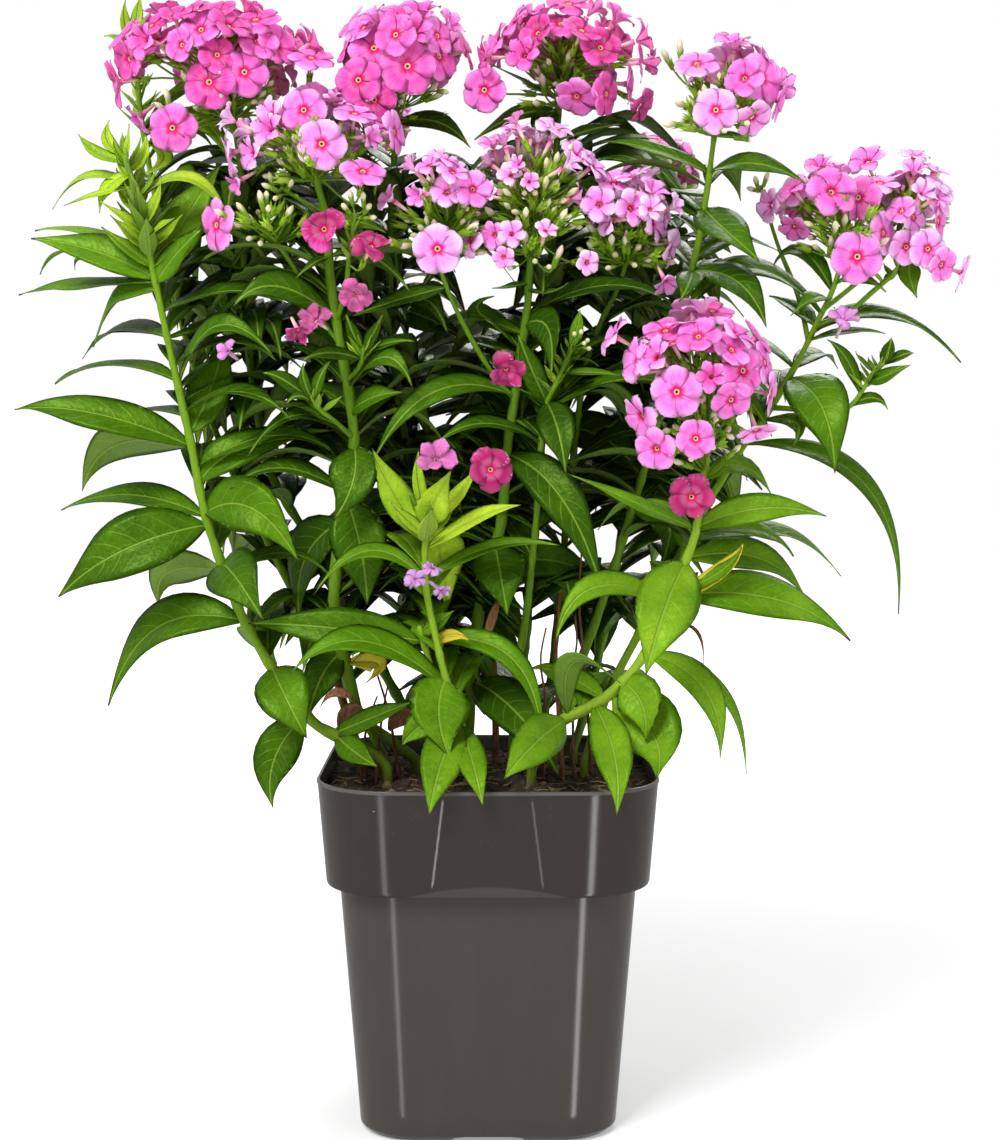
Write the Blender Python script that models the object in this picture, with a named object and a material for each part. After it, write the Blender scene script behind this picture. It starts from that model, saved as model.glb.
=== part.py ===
"""Solid source of a garden phlox in a square nursery pot.

Lengths are millimetres and are scaled to metres when a mesh is made.
The pot stands on z = 0 with its axis at x = y = 0, and the front is -Y.
"""
import math
import random

import bmesh
import bpy
from mathutils import Vector
from mathutils.bvhtree import BVHTree

MM = 0.001
PART_NAME = "potted_phlox"
GAP = 0.3

# Pot: a square pot with round corners, a wide collar and a narrower body.
POT_HEIGHT = 180.0
RIM_HALF = 85.5
RIM_CORNER = 41.0
COLLAR_BOTTOM = 127.0
COLLAR_HALF = 81.0
COLLAR_CORNER = 38.0
BODY_TOP_HALF = 74.5
BODY_TOP_CORNER = 34.0
BODY_BOTTOM_HALF = 65.0
BODY_BOTTOM_CORNER = 28.0
FOOT_HEIGHT = 4.0
FOOT_HALF = 62.5
FOOT_CORNER = 26.0
WALL = 1.5
COLLAR_ROUNDING = 0.8
RIM_ROUNDING = 0.5
FLOOR_TOP = 4.0
CORNER_STEPS = 4
PANEL_TOP = 178.0
PANEL_BOTTOM = 133.0
PANEL_DEPTH = 0.5
NOTCH_WIDTH = 36.0
NOTCH_HEIGHT = 2.4
NOTCH_REACH = 12.0
DRAIN_RADIUS = 4.0
DRAIN_DISTANCE = 44.0

# Soil: a filled mound a little below the rim.
SOIL_EDGE = 171.0
SOIL_MOUND = 5.0
SOIL_MOUND_REACH = 45.0
SOIL_ROUGHNESS = 0.7
STEM_FOOT = 158.0
UPRIGHT = 8.5
STEM_SIDES = 5
STEM_STEP = 46.0

# Leaves and flowers.
BLADE_HALF_THICKNESS = 0.62
BLADE_FOLD = 0.22
RIM_POINTS = 10
TRUMPET_RIM_POINTS = 5
TRUMPET_OPENING = 65.0
PETAL_NOTCH = 0.84
THROAT_RADIUS = 1.9
THROAT_DEPTH = 1.9
TUBE_LENGTH = 13.0
STALK_RADIUS = 0.8
TWIG_RADIUS = 0.5
STALK_TURN = 0.25
CALYX_RADIUS = 1.5
CORE_SIDES = 6
CORE_FOOT = 2.0
CORE_RADII = (3.2, 4.5)
CLEARANCE = 0.5

# The plant is laid out as it is seen from one point in front of the pot.
# A seen place is (across, up, depth): where the point shows over the pot's
# axis, and how far it then lies behind (+) or before (-) that plane.
VIEW_POINT = Vector((6.0, -1000.0, 357.0))


def place(seen):
    across, up, depth = seen
    reach = Vector((across, 0.0, up)) - VIEW_POINT
    return VIEW_POINT + reach * (1.0 + depth / reach.length)


def seen_from_front(point):
    reach = point - VIEW_POINT
    shown = VIEW_POINT + reach * (-VIEW_POINT.y / reach.y)
    return shown.x, shown.z


# Each stem: where it stands in the soil, its radii, and its seen course.
STEMS = {
    "left": ((-52, -18), (2.9, 1.2), [
        (-62, 186, -22), (-81, 194, -25), (-94, 203, -25), (-112, 228, -20), (-128, 256, -18),
        (-140, 288, -18), (-147, 311, -20), (-153, 343, -20), (-159, 372, -20), (-165, 400, -22),
        (-171, 430, -25), (-176, 455, -28), (-182, 480, -30), (-187, 496, -30)]),
    "centre_left": ((-38, 6), (3.3, 1.6), [
        (-50, 190, 2), (-66, 202, -6), (-71, 217, -10), (-76, 237, -12), (-80, 262, -15),
        (-77, 300, -20), (-70, 338, -25), (-70, 358, -28), (-73, 379, -30), (-77, 402, -32),
        (-81, 430, -35), (-83, 460, -38), (-88, 480, -38), (-93, 497, -34)]),
    "young_front": ((-6, -36), (2.2, 1.2), [
        (-12, 192, -37), (-17, 205, -40), (-23, 226, -45), (-29, 252, -48), (-32, 268, -50),
        (-33, 284, -52), (-32, 300, -55), (-30, 312, -56)]),
    "short_front": ((-20, -18), (2.3, 1.3), [
        (-25, 200, -26), (-28, 222, -30), (-34, 243, -34), (-36, 251, -35)]),
    "centre": ((-12, 8), (3.1, 1.5), [
        (-10, 200, 5), (-9, 222, 2), (-7, 240, 0), (-4, 265, -3), (2, 287, -6), (7, 307, -10),
        (10, 345, -16), (13, 365, -18), (17, 394, -22), (20, 414, -26), (21, 432, -28),
        (23, 450, -28), (25, 466, -27), (25, 480, -26)]),
    "centre_right": ((12, -8), (2.2, 1.0), [
        (14, 220, -8), (20, 260, -12), (25, 310, -18), (27, 345, -22), (30, 366, -26),
        (36, 378, -30), (40, 388, -32), (44, 398, -33)]),
    "right_front": ((22, -28), (2.7, 1.5), [
        (28, 192, -33), (38, 201, -38), (52, 208, -44), (62, 214, -48), (72, 224, -50),
        (80, 234, -52), (90, 252, -54), (99, 276, -55), (106, 295, -56), (110, 314, -56),
        (112, 331, -55), (113, 350, -50), (113, 368, -44)]),
    "right": ((34, 14), (2.6, 1.2), [
        (42, 215, 14), (58, 260, 10), (74, 310, 4), (88, 360, 0), (98, 405, -10), (105, 437, -16),
        (109, 456, -20), (112, 476, -22), (115, 500, -22), (118, 520, -18)]),
    "far_right": ((50, -6), (2.6, 1.0), [
        (62, 215, -2), (84, 258, 2), (108, 305, 4), (130, 342, 2), (142, 358, 0), (155, 380, -4),
        (164, 397, -8), (170, 410, -10), (177, 425, -12), (181, 440, -12), (181, 458, -10)]),
    "back_left": ((-30, 28), (2.7, 1.3), [
        (-48, 215, 35), (-72, 260, 38), (-95, 300, 36), (-112, 330, 32), (-121, 375, 26),
        (-125, 425, 18), (-125, 470, 10), (-129, 505, 4), (-132, 524, 2)]),
    "back_centre": ((-14, 34), (2.6, 1.3), [
        (-22, 220, 42), (-32, 280, 45), (-42, 340, 42), (-50, 400, 36), (-50, 450, 30),
        (-48, 490, 24), (-47, 515, 20), (-46, 534, 18)]),
    "back_right": ((14, 30), (2.6, 1.3), [
        (18, 230, 38), (24, 300, 40), (29, 370, 36), (32, 430, 32), (34, 480, 28),
        (36, 515, 26), (37, 540, 24)]),
    "outer_left": ((-56, 20), (2.2, 1.1), [
        (-80, 230, 28), (-112, 290, 34), (-140, 350, 38), (-158, 410, 38), (-168, 460, 36),
        (-176, 505, 32), (-179, 540, 30), (-180, 554, 30)]),
    "middle_right": ((26, 48), (2.2, 1.1), [
        (32, 220, 44), (38, 280, 30), (44, 340, 14), (50, 385, 2), (58, 408, -5), (66, 424, -9),
        (71, 440, -12), (73, 456, -12)]),
    "rear_left": ((-14, 58), (2.5, 1.2), [
        (-16, 220, 74), (-26, 280, 92), (-38, 340, 106), (-50, 400, 114), (-58, 450, 118),
        (-62, 485, 120), (-63, 508, 120)]),
    "rear_right": ((46, 40), (2.4, 1.2), [
        (54, 220, 60), (66, 280, 80), (74, 340, 94), (80, 390, 102), (84, 430, 106),
        (86, 462, 108), (87, 480, 108)]),
}

# Side branches: the stem they leave, how high, their radii and their course.
BRANCHES = [
    ("centre", 369, (1.2, 0.9), [(6, 376, -22), (-4, 391, -26), (-14, 409, -30), (-22, 427, -33),
                                 (-25, 440, -35), (-22, 456, -32), (-18, 466, -28)]),
    ("centre_left", 378, (1.2, 1.0), [(-66, 385, -40), (-64, 396, -42)]),
    ("centre_left", 348, (1.1, 0.9), [(-79, 357, -40), (-87, 363, -46), (-92, 370, -48)]),
    ("centre_left", 408, (1.1, 0.9), [(-73, 425, -44), (-71, 445, -48), (-68, 463, -48)]),
    ("centre_left", 462, (1.1, 0.9), [(-96, 470, -36), (-106, 476, -34)]),
    ("centre_left", 396, (1.1, 0.9), [(-90, 416, -30), (-99, 434, -32), (-109, 449, -36),
                                      (-120, 458, -38)]),
    ("far_right", 364, (1.2, 0.8), [(160, 363, -10), (176, 361, -13), (187, 365, -15),
                                    (192, 372, -16), (198, 381, -17), (206, 389, -18)]),
    ("far_right", 406, (1.2, 1.0), [(185, 413, -4), (198, 424, 0), (210, 434, 4), (219, 441, 6)]),
    ("far_right", 398, (1.1, 0.9), [(159, 421, 6), (149, 445, 12), (143, 463, 16), (139, 477, 18)]),
    ("far_right", 414, (1.1, 0.9), [(198, 436, 12), (209, 452, 16), (210, 468, 16)]),
]

# Leaves by stem: height on the stem, seen middle and tip, width, and how far
# the upper side turns from the sky (0) to the viewer (90); below 0 it turns away.
LEAVES = {
    "left": [
        (194, (-60, 203, -32), (-38, 212, -34), 14, 50),
        (193, (-69, 184, -42), (-58, 177, -50), 14, 75),
        (205, (-112, 181, -30), (-113, 155, -30), 23, 75),
        (230, (-105, 212, -42), (-95, 192, -46), 28, 75),
        (254, (-172, 250, -14), (-198, 209, -16), 28, 50),
        (252, (-120, 243, 6), (-110, 231, 20), 18, -40),
        (283, (-131, 276, -46), (-117, 254, -58), 29, 70),
        (280, (-166, 279, 0), (-171, 261, 6), 22, -55),
        (304, (-190, 290, -32), (-223, 266, -26), 34, 65),
        (308, (-186, 319, -6), (-221, 311, 6), 20, 35),
        (310, (-122, 312, -36), (-98, 284, -42), 29, 60),
        (325, (-125, 344, -20), (-80, 352, -10), 22, 45),
        (344, (-203, 361, -22), (-244, 363, -16), 24, 45),
        (344, (-192, 345, 4), (-210, 321, 10), 24, -50),
        (350, (-142, 376, -8), (-135, 402, 2), 22, 70),
        (360, (-176, 363, 18), (-190, 358, 30), 18, 15),
        (376, (-139, 406, -34), (-110, 390, -40), 15, 25),
        (378, (-195, 386, 4), (-223, 376, 16), 20, 15),
        (400, (-190, 404, 6), (-209, 389, 16), 22, 25),
        (400, (-140, 410, -8), (-120, 431, -4), 10, 20),
        (424, (-190, 419, -16), (-203, 395, -10), 22, 40),
        (428, (-160, 442, -36), (-147, 455, -44), 16, 60),
        (430, (-155, 460, -14), (-136, 488, -2), 26, 65),
        (428, (-212, 426, 0), (-241, 422, 6), 22, 25),
        (430, (-202, 444, -20), (-234, 450, -16), 22, 50),
        (436, (-206, 453, 0), (-232, 454, 8), 12, 20),
        (433, (-210, 445, 8), (-230, 432, 16), 15, 15),
        (426, (-203, 440, 22), (-212, 434, 28), 10, 10),
        (478, (-206, 481, -24), (-223, 465, -20), 10, 30),
        (482, (-194, 476, -32), (-199, 463, -32), 11, 50),
    ],
    "centre_left": [
        (238, (-87, 224, -16), (-94, 203, -18), 20, 60),
        (305, (-95, 286, -8), (-98, 254, -6), 28, 70),
        (318, (-66, 290, -32), (-63, 262, -34), 29, 75),
        (345, (-70, 326, -40), (-80, 306, -42), 26, 70),
        (362, (-60, 369, -42), (-44, 372, -46), 17, 60),
        (374, (-53, 390, -50), (-39, 374, -56), 13, 40),
        (409, (-108, 426, -48), (-131, 416, -54), 17, 50),
        (441, (-60, 441, -48), (-40, 423, -54), 11, 40),
        (460, (-105, 463, -24), (-122, 456, -22), 10, 30),
    ],
    "young_front": [
        (224, (-26, 204, -64), (-20, 181, -76), 31, 80),
        (200, (-25, 178, -84), (-31, 151, -98), 22, 75),
        (198, (-8, 178, -84), (-3, 156, -96), 15, 70),
        (208, (-36, 198, -46), (-45, 188, -52), 16, 60),
        (274, (-62, 290, -44), (-91, 267, -50), 13, 20),
        (275, (2, 292, -48), (37, 293, -58), 12, 25),
        (302, (-24, 284, -34), (-22, 259, -30), 26, 80),
        (303, (-28, 315, -64), (-19, 332, -68), 17, 75),
        (291, (-6, 307, -64), (17, 314, -72), 12, 40),
        (296, (-48, 319, -46), (-60, 343, -48), 17, 60),
    ],
    "short_front": [
        (243, (-82, 250, -34), (-125, 252, -30), 22, 65),
        (243, (11, 235, -48), (28, 187, -62), 14, 45),
        (247, (-26, 253, -42), (-18, 259, -46), 10, 60),
    ],
    "centre": [
        (222, (15, 205, -48), (37, 172, -80), 25, 65),
        (282, (32, 285, 6), (58, 275, 12), 23, 60),
        (292, (6, 279, -34), (10, 256, -42), 29, 75),
        (340, (38, 317, -36), (60, 266, -38), 23, 60),
        (360, (-3, 363, 4), (-22, 360, 12), 18, 40),
        (370, (-28, 372, -38), (-60, 335, -44), 16, 40),
        (390, (-15, 398, 6), (-36, 388, 14), 14, 25),
        (402, (-5, 413, 4), (3, 421, 10), 13, 50),
        (407, (31, 404, -42), (32, 377, -54), 18, 60),
    ],
    "centre_right": [
        (366, (22, 384, -34), (15, 402, -34), 13, 70),
        (366, (36, 352, -44), (40, 330, -50), 20, 75),
    ],
    "right_front": [
        (202, (23, 188, -74), (8, 170, -84), 22, 75),
        (203, (44, 232, -62), (69, 221, -70), 14, -40),
        (212, (66, 182, -80), (67, 151, -98), 20, 75),
        (215, (38, 226, -14), (20, 228, -10), 18, 40),
        (218, (86, 194, -62), (88, 170, -84), 33, 75),
        (222, (80, 210, -62), (82, 190, -66), 24, 70),
        (236, (120, 217, -36), (135, 173, -36), 12, 50),
        (238, (113, 217, -62), (121, 180, -66), 17, 55),
        (263, (55, 271, -60), (35, 243, -68), 16, 40),
        (266, (148, 265, -60), (188, 243, -56), 26, 50),
        (284, (91, 258, -86), (82, 225, -94), 31, 75),
        (286, (140, 286, -34), (165, 266, -34), 24, 55),
        (296, (152, 299, -16), (183, 277, -12), 18, 40),
        (301, (78, 314, -62), (41, 330, -62), 11, 45),
        (302, (141, 312, -66), (175, 308, -68), 17, 55),
        (300, (139, 301, -48), (158, 287, -50), 14, 40),
        (331, (133, 333, -46), (147, 318, -46), 14, 50),
    ],
    "right": [
        (310, (93, 305, 2), (88, 280, 4), 22, 60),
        (434, (128, 428, -44), (143, 405, -54), 20, 50),
        (434, (103, 428, -48), (98, 418, -54), 14, 50),
        (438, (124, 450, 4), (149, 444, 12), 16, 40),
        (460, (95, 469, 0), (80, 474, 8), 12, 40),
        (465, (122, 454, -46), (139, 439, -54), 25, 60),
        (484, (137, 488, -42), (162, 478, -46), 15, 50),
        (483, (85, 495, -22), (57, 499, -20), 14, 35),
    ],
    "far_right": [
        (345, (194, 325, -12), (213, 257, -8), 15, 40),
        (358, (159, 356, -20), (157, 344, -22), 10, 50),
        (380, (172, 364, -40), (179, 330, -48), 29, 65),
        (384, (170, 392, 16), (180, 384, 26), 15, 30),
        (399, (186, 403, -22), (204, 402, -24), 12, 30),
        (402, (205, 412, 4), (243, 387, 8), 15, 30),
        (406, (156, 416, 8), (144, 421, 16), 13, 30),
        (420, (167, 420, -30), (155, 411, -34), 12, 50),
        (424, (160, 444, -2), (145, 435, 4), 13, 30),
    ],
    "back_centre": [
        (415, (-32, 410, 24), (-10, 397, 18), 24, 50),
        (425, (-60, 424, 20), (-72, 410, 16), 14, 40),
        (508, (-26, 509, 12), (-9, 496, 10), 13, 50),
    ],
    "back_right": [
        (352, (60, 348, 8), (85, 318, 2), 24, 55),
        (368, (55, 376, 10), (78, 369, 6), 20, 50),
        (400, (43, 412, 22), (38, 421, 20), 14, 60),
        (500, (52, 505, 14), (68, 508, 10), 10, 50),
        (515, (14, 512, 18), (-7, 500, 14), 12, 50),
        (514, (28, 508, 20), (29, 492, 18), 15, 60),
    ],
}

# Leaves of the side branches, by branch number in the list above.
BRANCH_LEAVES = {
    0: [
        (427, (-46, 419, -34), (-70, 411, -34), 14, 40),
    ],
    1: [
        (389, (-82, 392, -50), (-96, 388, -56), 9, 50),
    ],
    2: [
        (367, (-105, 378, -50), (-116, 382, -52), 9, 60),
    ],
    5: [
        (448, (-104, 457, -38), (-98, 463, -40), 10, 60),
    ],
    6: [
        (377, (206, 381, -24), (217, 386, -26), 10, 60),
    ],
    7: [
        (439, (216, 431, 2), (220, 420, 0), 12, 60),
    ],
}

# Height at which each flowering stem or branch turns into the core of its head.
HEAD_STARTS = {
    "back_left": 510, "back_centre": 511, "centre_left": 482, "branch_5": 451, "back_right": 520,
    "centre": 446, "branch_0": 446, "middle_right": 437, "right": 502, "far_right": 440,
    "branch_9": 448, "right_front": 335, "rear_left": 490, "rear_right": 464,
}

# Flowers by head: the stem or branch they grow from, and for each flower its
# seen face centre, turn to the right and lift of the face in degrees, petal
# reach, and opening angle (90 is flat, 30 is a half-open trumpet).
FLOWERS = {
    "left_top": ("back_left", [
        (-118, 560, -8, -10, 55, 14, 88), (-106, 551, 4, 20, 60, 11, 85), (-90, 541, -6, 15, 58, 13, 85),
        (-124, 534, -24, 8, 8, 13, 90), (-142, 529, -26, -8, 5, 14, 90), (-161, 506, -26, -5, -2, 13, 90),
        (-187, 529, -10, -70, -10, 14, 70), (-168, 549, -8, -45, 40, 13, 80),
        (-152, 563, 4, -50, 50, 12, 75), (-138, 566, 12, 10, 62, 11, 80), (-176, 513, 0, -75, -40, 10, 45),
        (-150, 545, 24, -150, 45, 13, 85), (-126, 545, 34, 170, 40, 13, 85), (-108, 532, 30, 130, 20, 12, 85)]),
    "centre_top": ("back_centre", [
        (-49, 558, -2, 5, 30, 13, 88), (-34, 561, 8, 20, 55, 11, 80), (-58, 546, -12, -5, 20, 14, 90),
        (-66, 530, -18, -12, 5, 13, 90), (-41, 537, -22, 5, 10, 15, 90), (-58, 520, -18, 0, -5, 12, 88),
        (-25, 542, -8, 45, 10, 13, 88), (-12, 545, 10, 78, 20, 12, 80), (-69, 558, 14, -65, 35, 11, 80),
        (-30, 553, 20, 60, 50, 11, 80), (-45, 553, 38, 170, 45, 13, 85), (-26, 538, 40, 140, 15, 13, 85),
        (-62, 540, 40, -150, 20, 13, 85)]),
    "left_middle": ("centre_left", [
        (-94, 515, -52, -6, 8, 12, 90), (-85, 498, -58, 5, 0, 13, 90), (-109, 512, -44, -40, 10, 10, 45),
        (-130, 494, -34, -80, -10, 12, 60), (-118, 493, -38, -50, -5, 10, 40), (-126, 480, -34, -60, -30, 8, 30),
        (-64, 484, -60, 15, 45, 12, 85), (-48, 504, -40, 72, 5, 12, 80), (-68, 513, -44, 20, 60, 12, 80),
        (-58, 505, -24, 60, 50, 10, 60), (-88, 520, -14, 170, 40, 12, 85), (-105, 505, -12, -140, 15, 12, 85)]),
    "side": ("branch_5", [(-139, 457, -42, -52, 0, 14, 88)]),
    "right_top": ("back_right", [
        (37, 558, 6, 0, 48, 14, 88), (41, 568, 16, 10, 60, 13, 85), (18, 557, 14, -60, 20, 13, 70),
        (6, 548, 12, -70, 20, 12, 60), (1, 541, 6, -78, -5, 12, 55), (-2, 525, -6, -10, -5, 12, 85),
        (60, 523, -8, 55, -5, 12, 88), (45, 522, -10, -20, -45, 12, 80), (59, 547, 10, 72, 15, 14, 85),
        (70, 528, 6, 80, -5, 12, 70), (77, 518, 8, 60, -30, 10, 60), (50, 548, 38, 150, 35, 13, 85),
        (24, 545, 40, -150, 25, 13, 85), (60, 532, 34, 120, 0, 12, 85)]),
    "centre_upper": ("centre", [
        (3, 495, -28, -25, 55, 9, 35), (15, 501, -28, -5, 70, 10, 40), (33, 504, -26, 25, 60, 11, 60),
        (44, 491, -30, 40, 45, 10, 45), (52, 486, -28, 55, 35, 10, 55), (12, 481, -44, -15, 30, 8, 40),
        (4, 452, -44, -30, -5, 8, 50), (12, 452, -48, 0, 10, 8, 40), (8, 441, -50, -5, -15, 6, 60),
        (29, 453, -46, 15, 40, 7, 40), (50, 438, -48, 25, -5, 7, 55), (-8, 450, -42, -60, 5, 10, 65),
        (22, 500, 4, 150, 60, 10, 60), (8, 488, 2, -140, 40, 10, 60)]),
    "centre_side": ("branch_0", [
        (-26, 445, -58, 0, 0, 13, 90), (-21, 473, -48, -8, 15, 9, 55), (-8, 475, -50, 10, 10, 10, 62),
        (-26, 488, -34, -20, 50, 8, 40), (-48, 469, -44, -60, 30, 9, 35), (-19, 484, -38, 0, 40, 8, 40)]),
    "right_middle": ("middle_right", [
        (57, 467, -36, -10, 10, 10, 50), (64, 477, -28, 5, 50, 10, 55), (72, 465, -34, 25, 10, 11, 45),
        (79, 473, -22, 45, 40, 10, 50), (83, 458, -24, 60, 5, 11, 55), (92, 446, -20, 70, -15, 11, 60),
        (90, 430, -28, 30, -50, 9, 40), (70, 470, 14, 160, 30, 11, 70)]),
    "right_high": ("right", [
        (106, 538, -26, -10, 45, 12, 85), (139, 531, -28, 25, 10, 14, 90), (116, 515, -44, 0, 2, 12, 90),
        (125, 546, -8, 30, 60, 12, 55), (134, 512, -34, 35, -40, 11, 60), (147, 520, -18, 75, -20, 12, 75),
        (122, 538, 4, 160, 40, 13, 85), (140, 525, 6, 120, 10, 12, 85)]),
    "far_right": ("far_right", [
        (189, 441, -34, 0, 0, 14, 90), (172, 486, -4, 0, 58, 12, 85), (189, 471, -16, 20, -20, 13, 70),
        (157, 474, -6, -40, 20, 10, 75), (146, 467, -4, -60, 0, 10, 50), (157, 457, -8, -30, -45, 9, 55),
        (176, 470, 14, 160, 30, 12, 85)]),
    "far_right_outer": ("branch_9", [
        (202, 453, -10, 45, 0, 12, 85), (200, 478, -6, 0, 60, 11, 80), (194, 488, 6, -30, 40, 11, 50),
        (217, 461, -6, 40, 5, 10, 80), (225, 445, -14, 15, -5, 11, 88), (232, 437, -10, 35, -20, 10, 80),
        (242, 433, 0, 72, -20, 11, 75), (229, 472, 2, 50, 25, 13, 85), (230, 459, 2, 60, 0, 12, 80),
        (217, 491, 6, 20, 65, 9, 60), (214, 446, -8, 5, -15, 10, 80), (214, 470, 30, 160, 20, 12, 85)]),
    "right_low": ("right_front", [
        (97, 372, -92, -5, 4, 13, 90), (131, 383, -84, 30, 8, 13, 88), (107, 348, -92, 2, -2, 10, 88),
        (87, 343, -84, -25, -15, 11, 65), (142, 387, -72, 60, 8, 11, 85), (125, 368, -84, 20, -30, 11, 80),
        (108, 399, -72, 0, 55, 13, 85), (91, 403, -68, -20, 55, 12, 80), (115, 413, -52, 10, 65, 12, 80),
        (80, 360, -76, -60, -20, 12, 60), (78, 388, -72, -60, 15, 12, 60), (66, 400, -66, -80, 30, 11, 60),
        (145, 371, -66, 70, -10, 12, 80), (138, 353, -74, 30, -60, 11, 70), (128, 401, -56, 40, 60, 12, 85),
        (105, 412, -32, 170, 55, 13, 85), (132, 392, -30, 130, 25, 13, 85)]),
    "rear_left": ("rear_left", [
        (-60, 528, 112, 0, 70, 13, 88), (-76, 520, 112, -70, 35, 13, 85), (-48, 520, 114, 60, 40, 13, 85),
        (-62, 520, 136, 170, 45, 14, 88), (-50, 506, 136, 150, 10, 14, 88),
        (-76, 506, 136, -150, 10, 14, 88)]),
    "rear_right": ("rear_right", [
        (88, 500, 104, 10, 70, 13, 88), (74, 492, 108, -80, 35, 13, 85), (100, 492, 108, 70, 35, 13, 85),
        (86, 494, 124, 175, 45, 14, 88), (98, 480, 124, 150, 10, 14, 88),
        (75, 479, 124, -150, 10, 14, 88)]),
}

# Closed buds on green shoots: seen tip, turn and lift of the tip, and length.
GREEN_BUDS = {
    "branch_8": [(136, 482, 12, -30, 50, 8), (143, 484, 14, 30, 60, 8)],
    "centre_right": [(48, 404, -40, 10, 50, 5), (52, 399, -38, 40, 20, 5), (44, 403, -38, -20, 50, 5)],
    "outer_left": [(-186, 545, 22, -40, 20, 7), (-173, 550, 24, 30, 40, 7)],
}

# Single low flowers that lean on a stem.
STRAY_FLOWERS = [
    ("centre", (9, 384, -52, 10, -30, 11, 50)), ("centre", (1, 332, -52, 5, 10, 12, 88)),
    ("right_front", (105, 318, -78, 0, 0, 12, 88)), ("branch_3", (-60, 446, -62, 30, 40, 11, 55)),
]

# Old brown stalks in the soil: footing, radius, course.
OLD_STALKS = {
    "left": ((-66, 2), 2.6, [(-74, 205, 4), (-79, 225, 2), (-78, 250, 0), (-74, 274, -2)]),
    "middle": ((4, 14), 2.0, [(3, 225, 16), (2, 245, 14), (3, 262, 12)]),
    "right": ((38, -14), 1.4, [(36, 215, -4), (35, 240, 4), (37, 268, 8)]),
}

# Rule-grown leaves keep to the foliage as seen and leave its clear windows open.
OUTLINE_LEFT = [(170, -70), (200, -85), (230, -110), (260, -125), (300, -145), (350, -155),
                (400, -168), (450, -172), (500, -165), (540, -140), (600, -120)]
OUTLINE_RIGHT = [(170, 65), (200, 80), (230, 88), (260, 110), (300, 138), (350, 150),
                 (400, 160), (450, 165), (480, 130), (520, 100), (540, 60), (600, 40)]
WINDOWS = [(-40, 225, 9), (-62, 258, 5), (-66, 224, 6), (-78, 215, 8), (26, 257, 13), (15, 238, 12),
           (28, 238, 9), (40, 244, 11), (15, 212, 6), (70, 292, 10), (70, 245, 5), (104, 240, 9),
           (-100, 315, 9), (-83, 320, 8), (32, 297, 13), (47, 294, 6), (25, 345, 6), (56, 358, 8),
           (45, 342, 6), (-32, 400, 6), (-2, 425, 11), (60, 410, 7), (-25, 364, 5), (-90, 433, 5),
           (-112, 278, 6), (145, 398, 10), (-15, 508, 12), (12, 510, 9), (44, 200, 9)]


def course_of(footing, seen_course):
    """Smooth centre line of a stem, from its foot in the soil to its top."""
    x, y = footing
    upright = [Vector((x, y, STEM_FOOT)), Vector((x, y, SOIL_EDGE + UPRIGHT))]
    return upright + [place(seen) for seen in seen_course]


def standing_line(points, steps):
    """Centre line that stays upright in the soil and bends only above it."""
    return [points[0]] + smooth_course(points[1:], steps)


def stem_courses():
    """Straight-sided centre lines, split where a head starts, with their radii."""
    courses = {}
    cores = {}

    def add(name, points, radii):
        upper = []
        if name in HEAD_STARTS:
            points, upper = split_course(points, HEAD_STARTS[name])
        if name in STEMS:
            line = standing_line(points, stem_steps(points))
        else:
            line = smooth_course(points, stem_steps(points))
        courses[name] = (line, radii)
        if upper:
            ahead = (line[-1] - line[-2]).normalized()
            foot = line[-1] + ahead * GAP
            cores[name] = [foot, foot + ahead * CORE_FOOT] + smooth_course(upper, 2)[1:]

    for name, (footing, radii, seen_course) in STEMS.items():
        add(name, course_of(footing, seen_course), radii)
    for number, (parent, height, radii, seen_course) in enumerate(BRANCHES):
        start = point_at_height(courses[parent][0], height)
        add("branch_%d" % number, [start] + [place(seen) for seen in seen_course], radii)
    return courses, cores


def point_at_height(points, seen_height):
    """Point of a course that shows at the given height; its end if it never does."""
    for low, high in zip(points, points[1:]):
        low_up = seen_from_front(low)[1]
        high_up = seen_from_front(high)[1]
        if low_up <= seen_height <= high_up and high_up > low_up:
            return low.lerp(high, (seen_height - low_up) / (high_up - low_up))
    return points[-1].copy()


def node_of(grower):
    """Leafy stem that carries a stem or branch."""
    if grower.startswith("branch_"):
        return BRANCHES[int(grower.split("_")[1])][0]
    return grower


def direction(turn, lift):
    turn = math.radians(turn)
    lift = math.radians(lift)
    return Vector((math.sin(turn) * math.cos(lift), -math.cos(turn) * math.cos(lift), math.sin(lift)))


def curve_point(leaf, t):
    """Point at t of the bow from the leaf's root through its middle to its tip."""
    root, middle, tip = leaf["line"]
    control = middle * 2.0 - (root + tip) * 0.5
    return root * (1 - t) ** 2 + control * (2 * t * (1 - t)) + tip * t ** 2


def blade_width(t):
    """Share of the full width at t: a narrow foot, a broad middle and a drawn-out tip."""
    body = max(0.0, math.sin(math.pi * t ** 0.74)) ** 1.1
    return body * (1.0 - 0.3 * max(0.0, (t - 0.6) / 0.4))


def blade_frames(leaf, stations):
    """Centre, side and normal at each station, carried along without twist."""
    facing = math.radians(leaf["facing"])
    normal = Vector((0.0, -math.sin(facing), math.cos(facing)))
    frames = []
    for t in stations:
        ahead = curve_point(leaf, min(1.0, t + 0.02)) - curve_point(leaf, max(0.0, t - 0.02))
        ahead.normalize()
        normal = normal - ahead * normal.dot(ahead)
        if normal.length < 1e-4:
            normal = ahead.orthogonal()
        normal.normalize()
        frames.append((curve_point(leaf, t), ahead.cross(normal), normal.copy()))
    return frames


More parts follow.
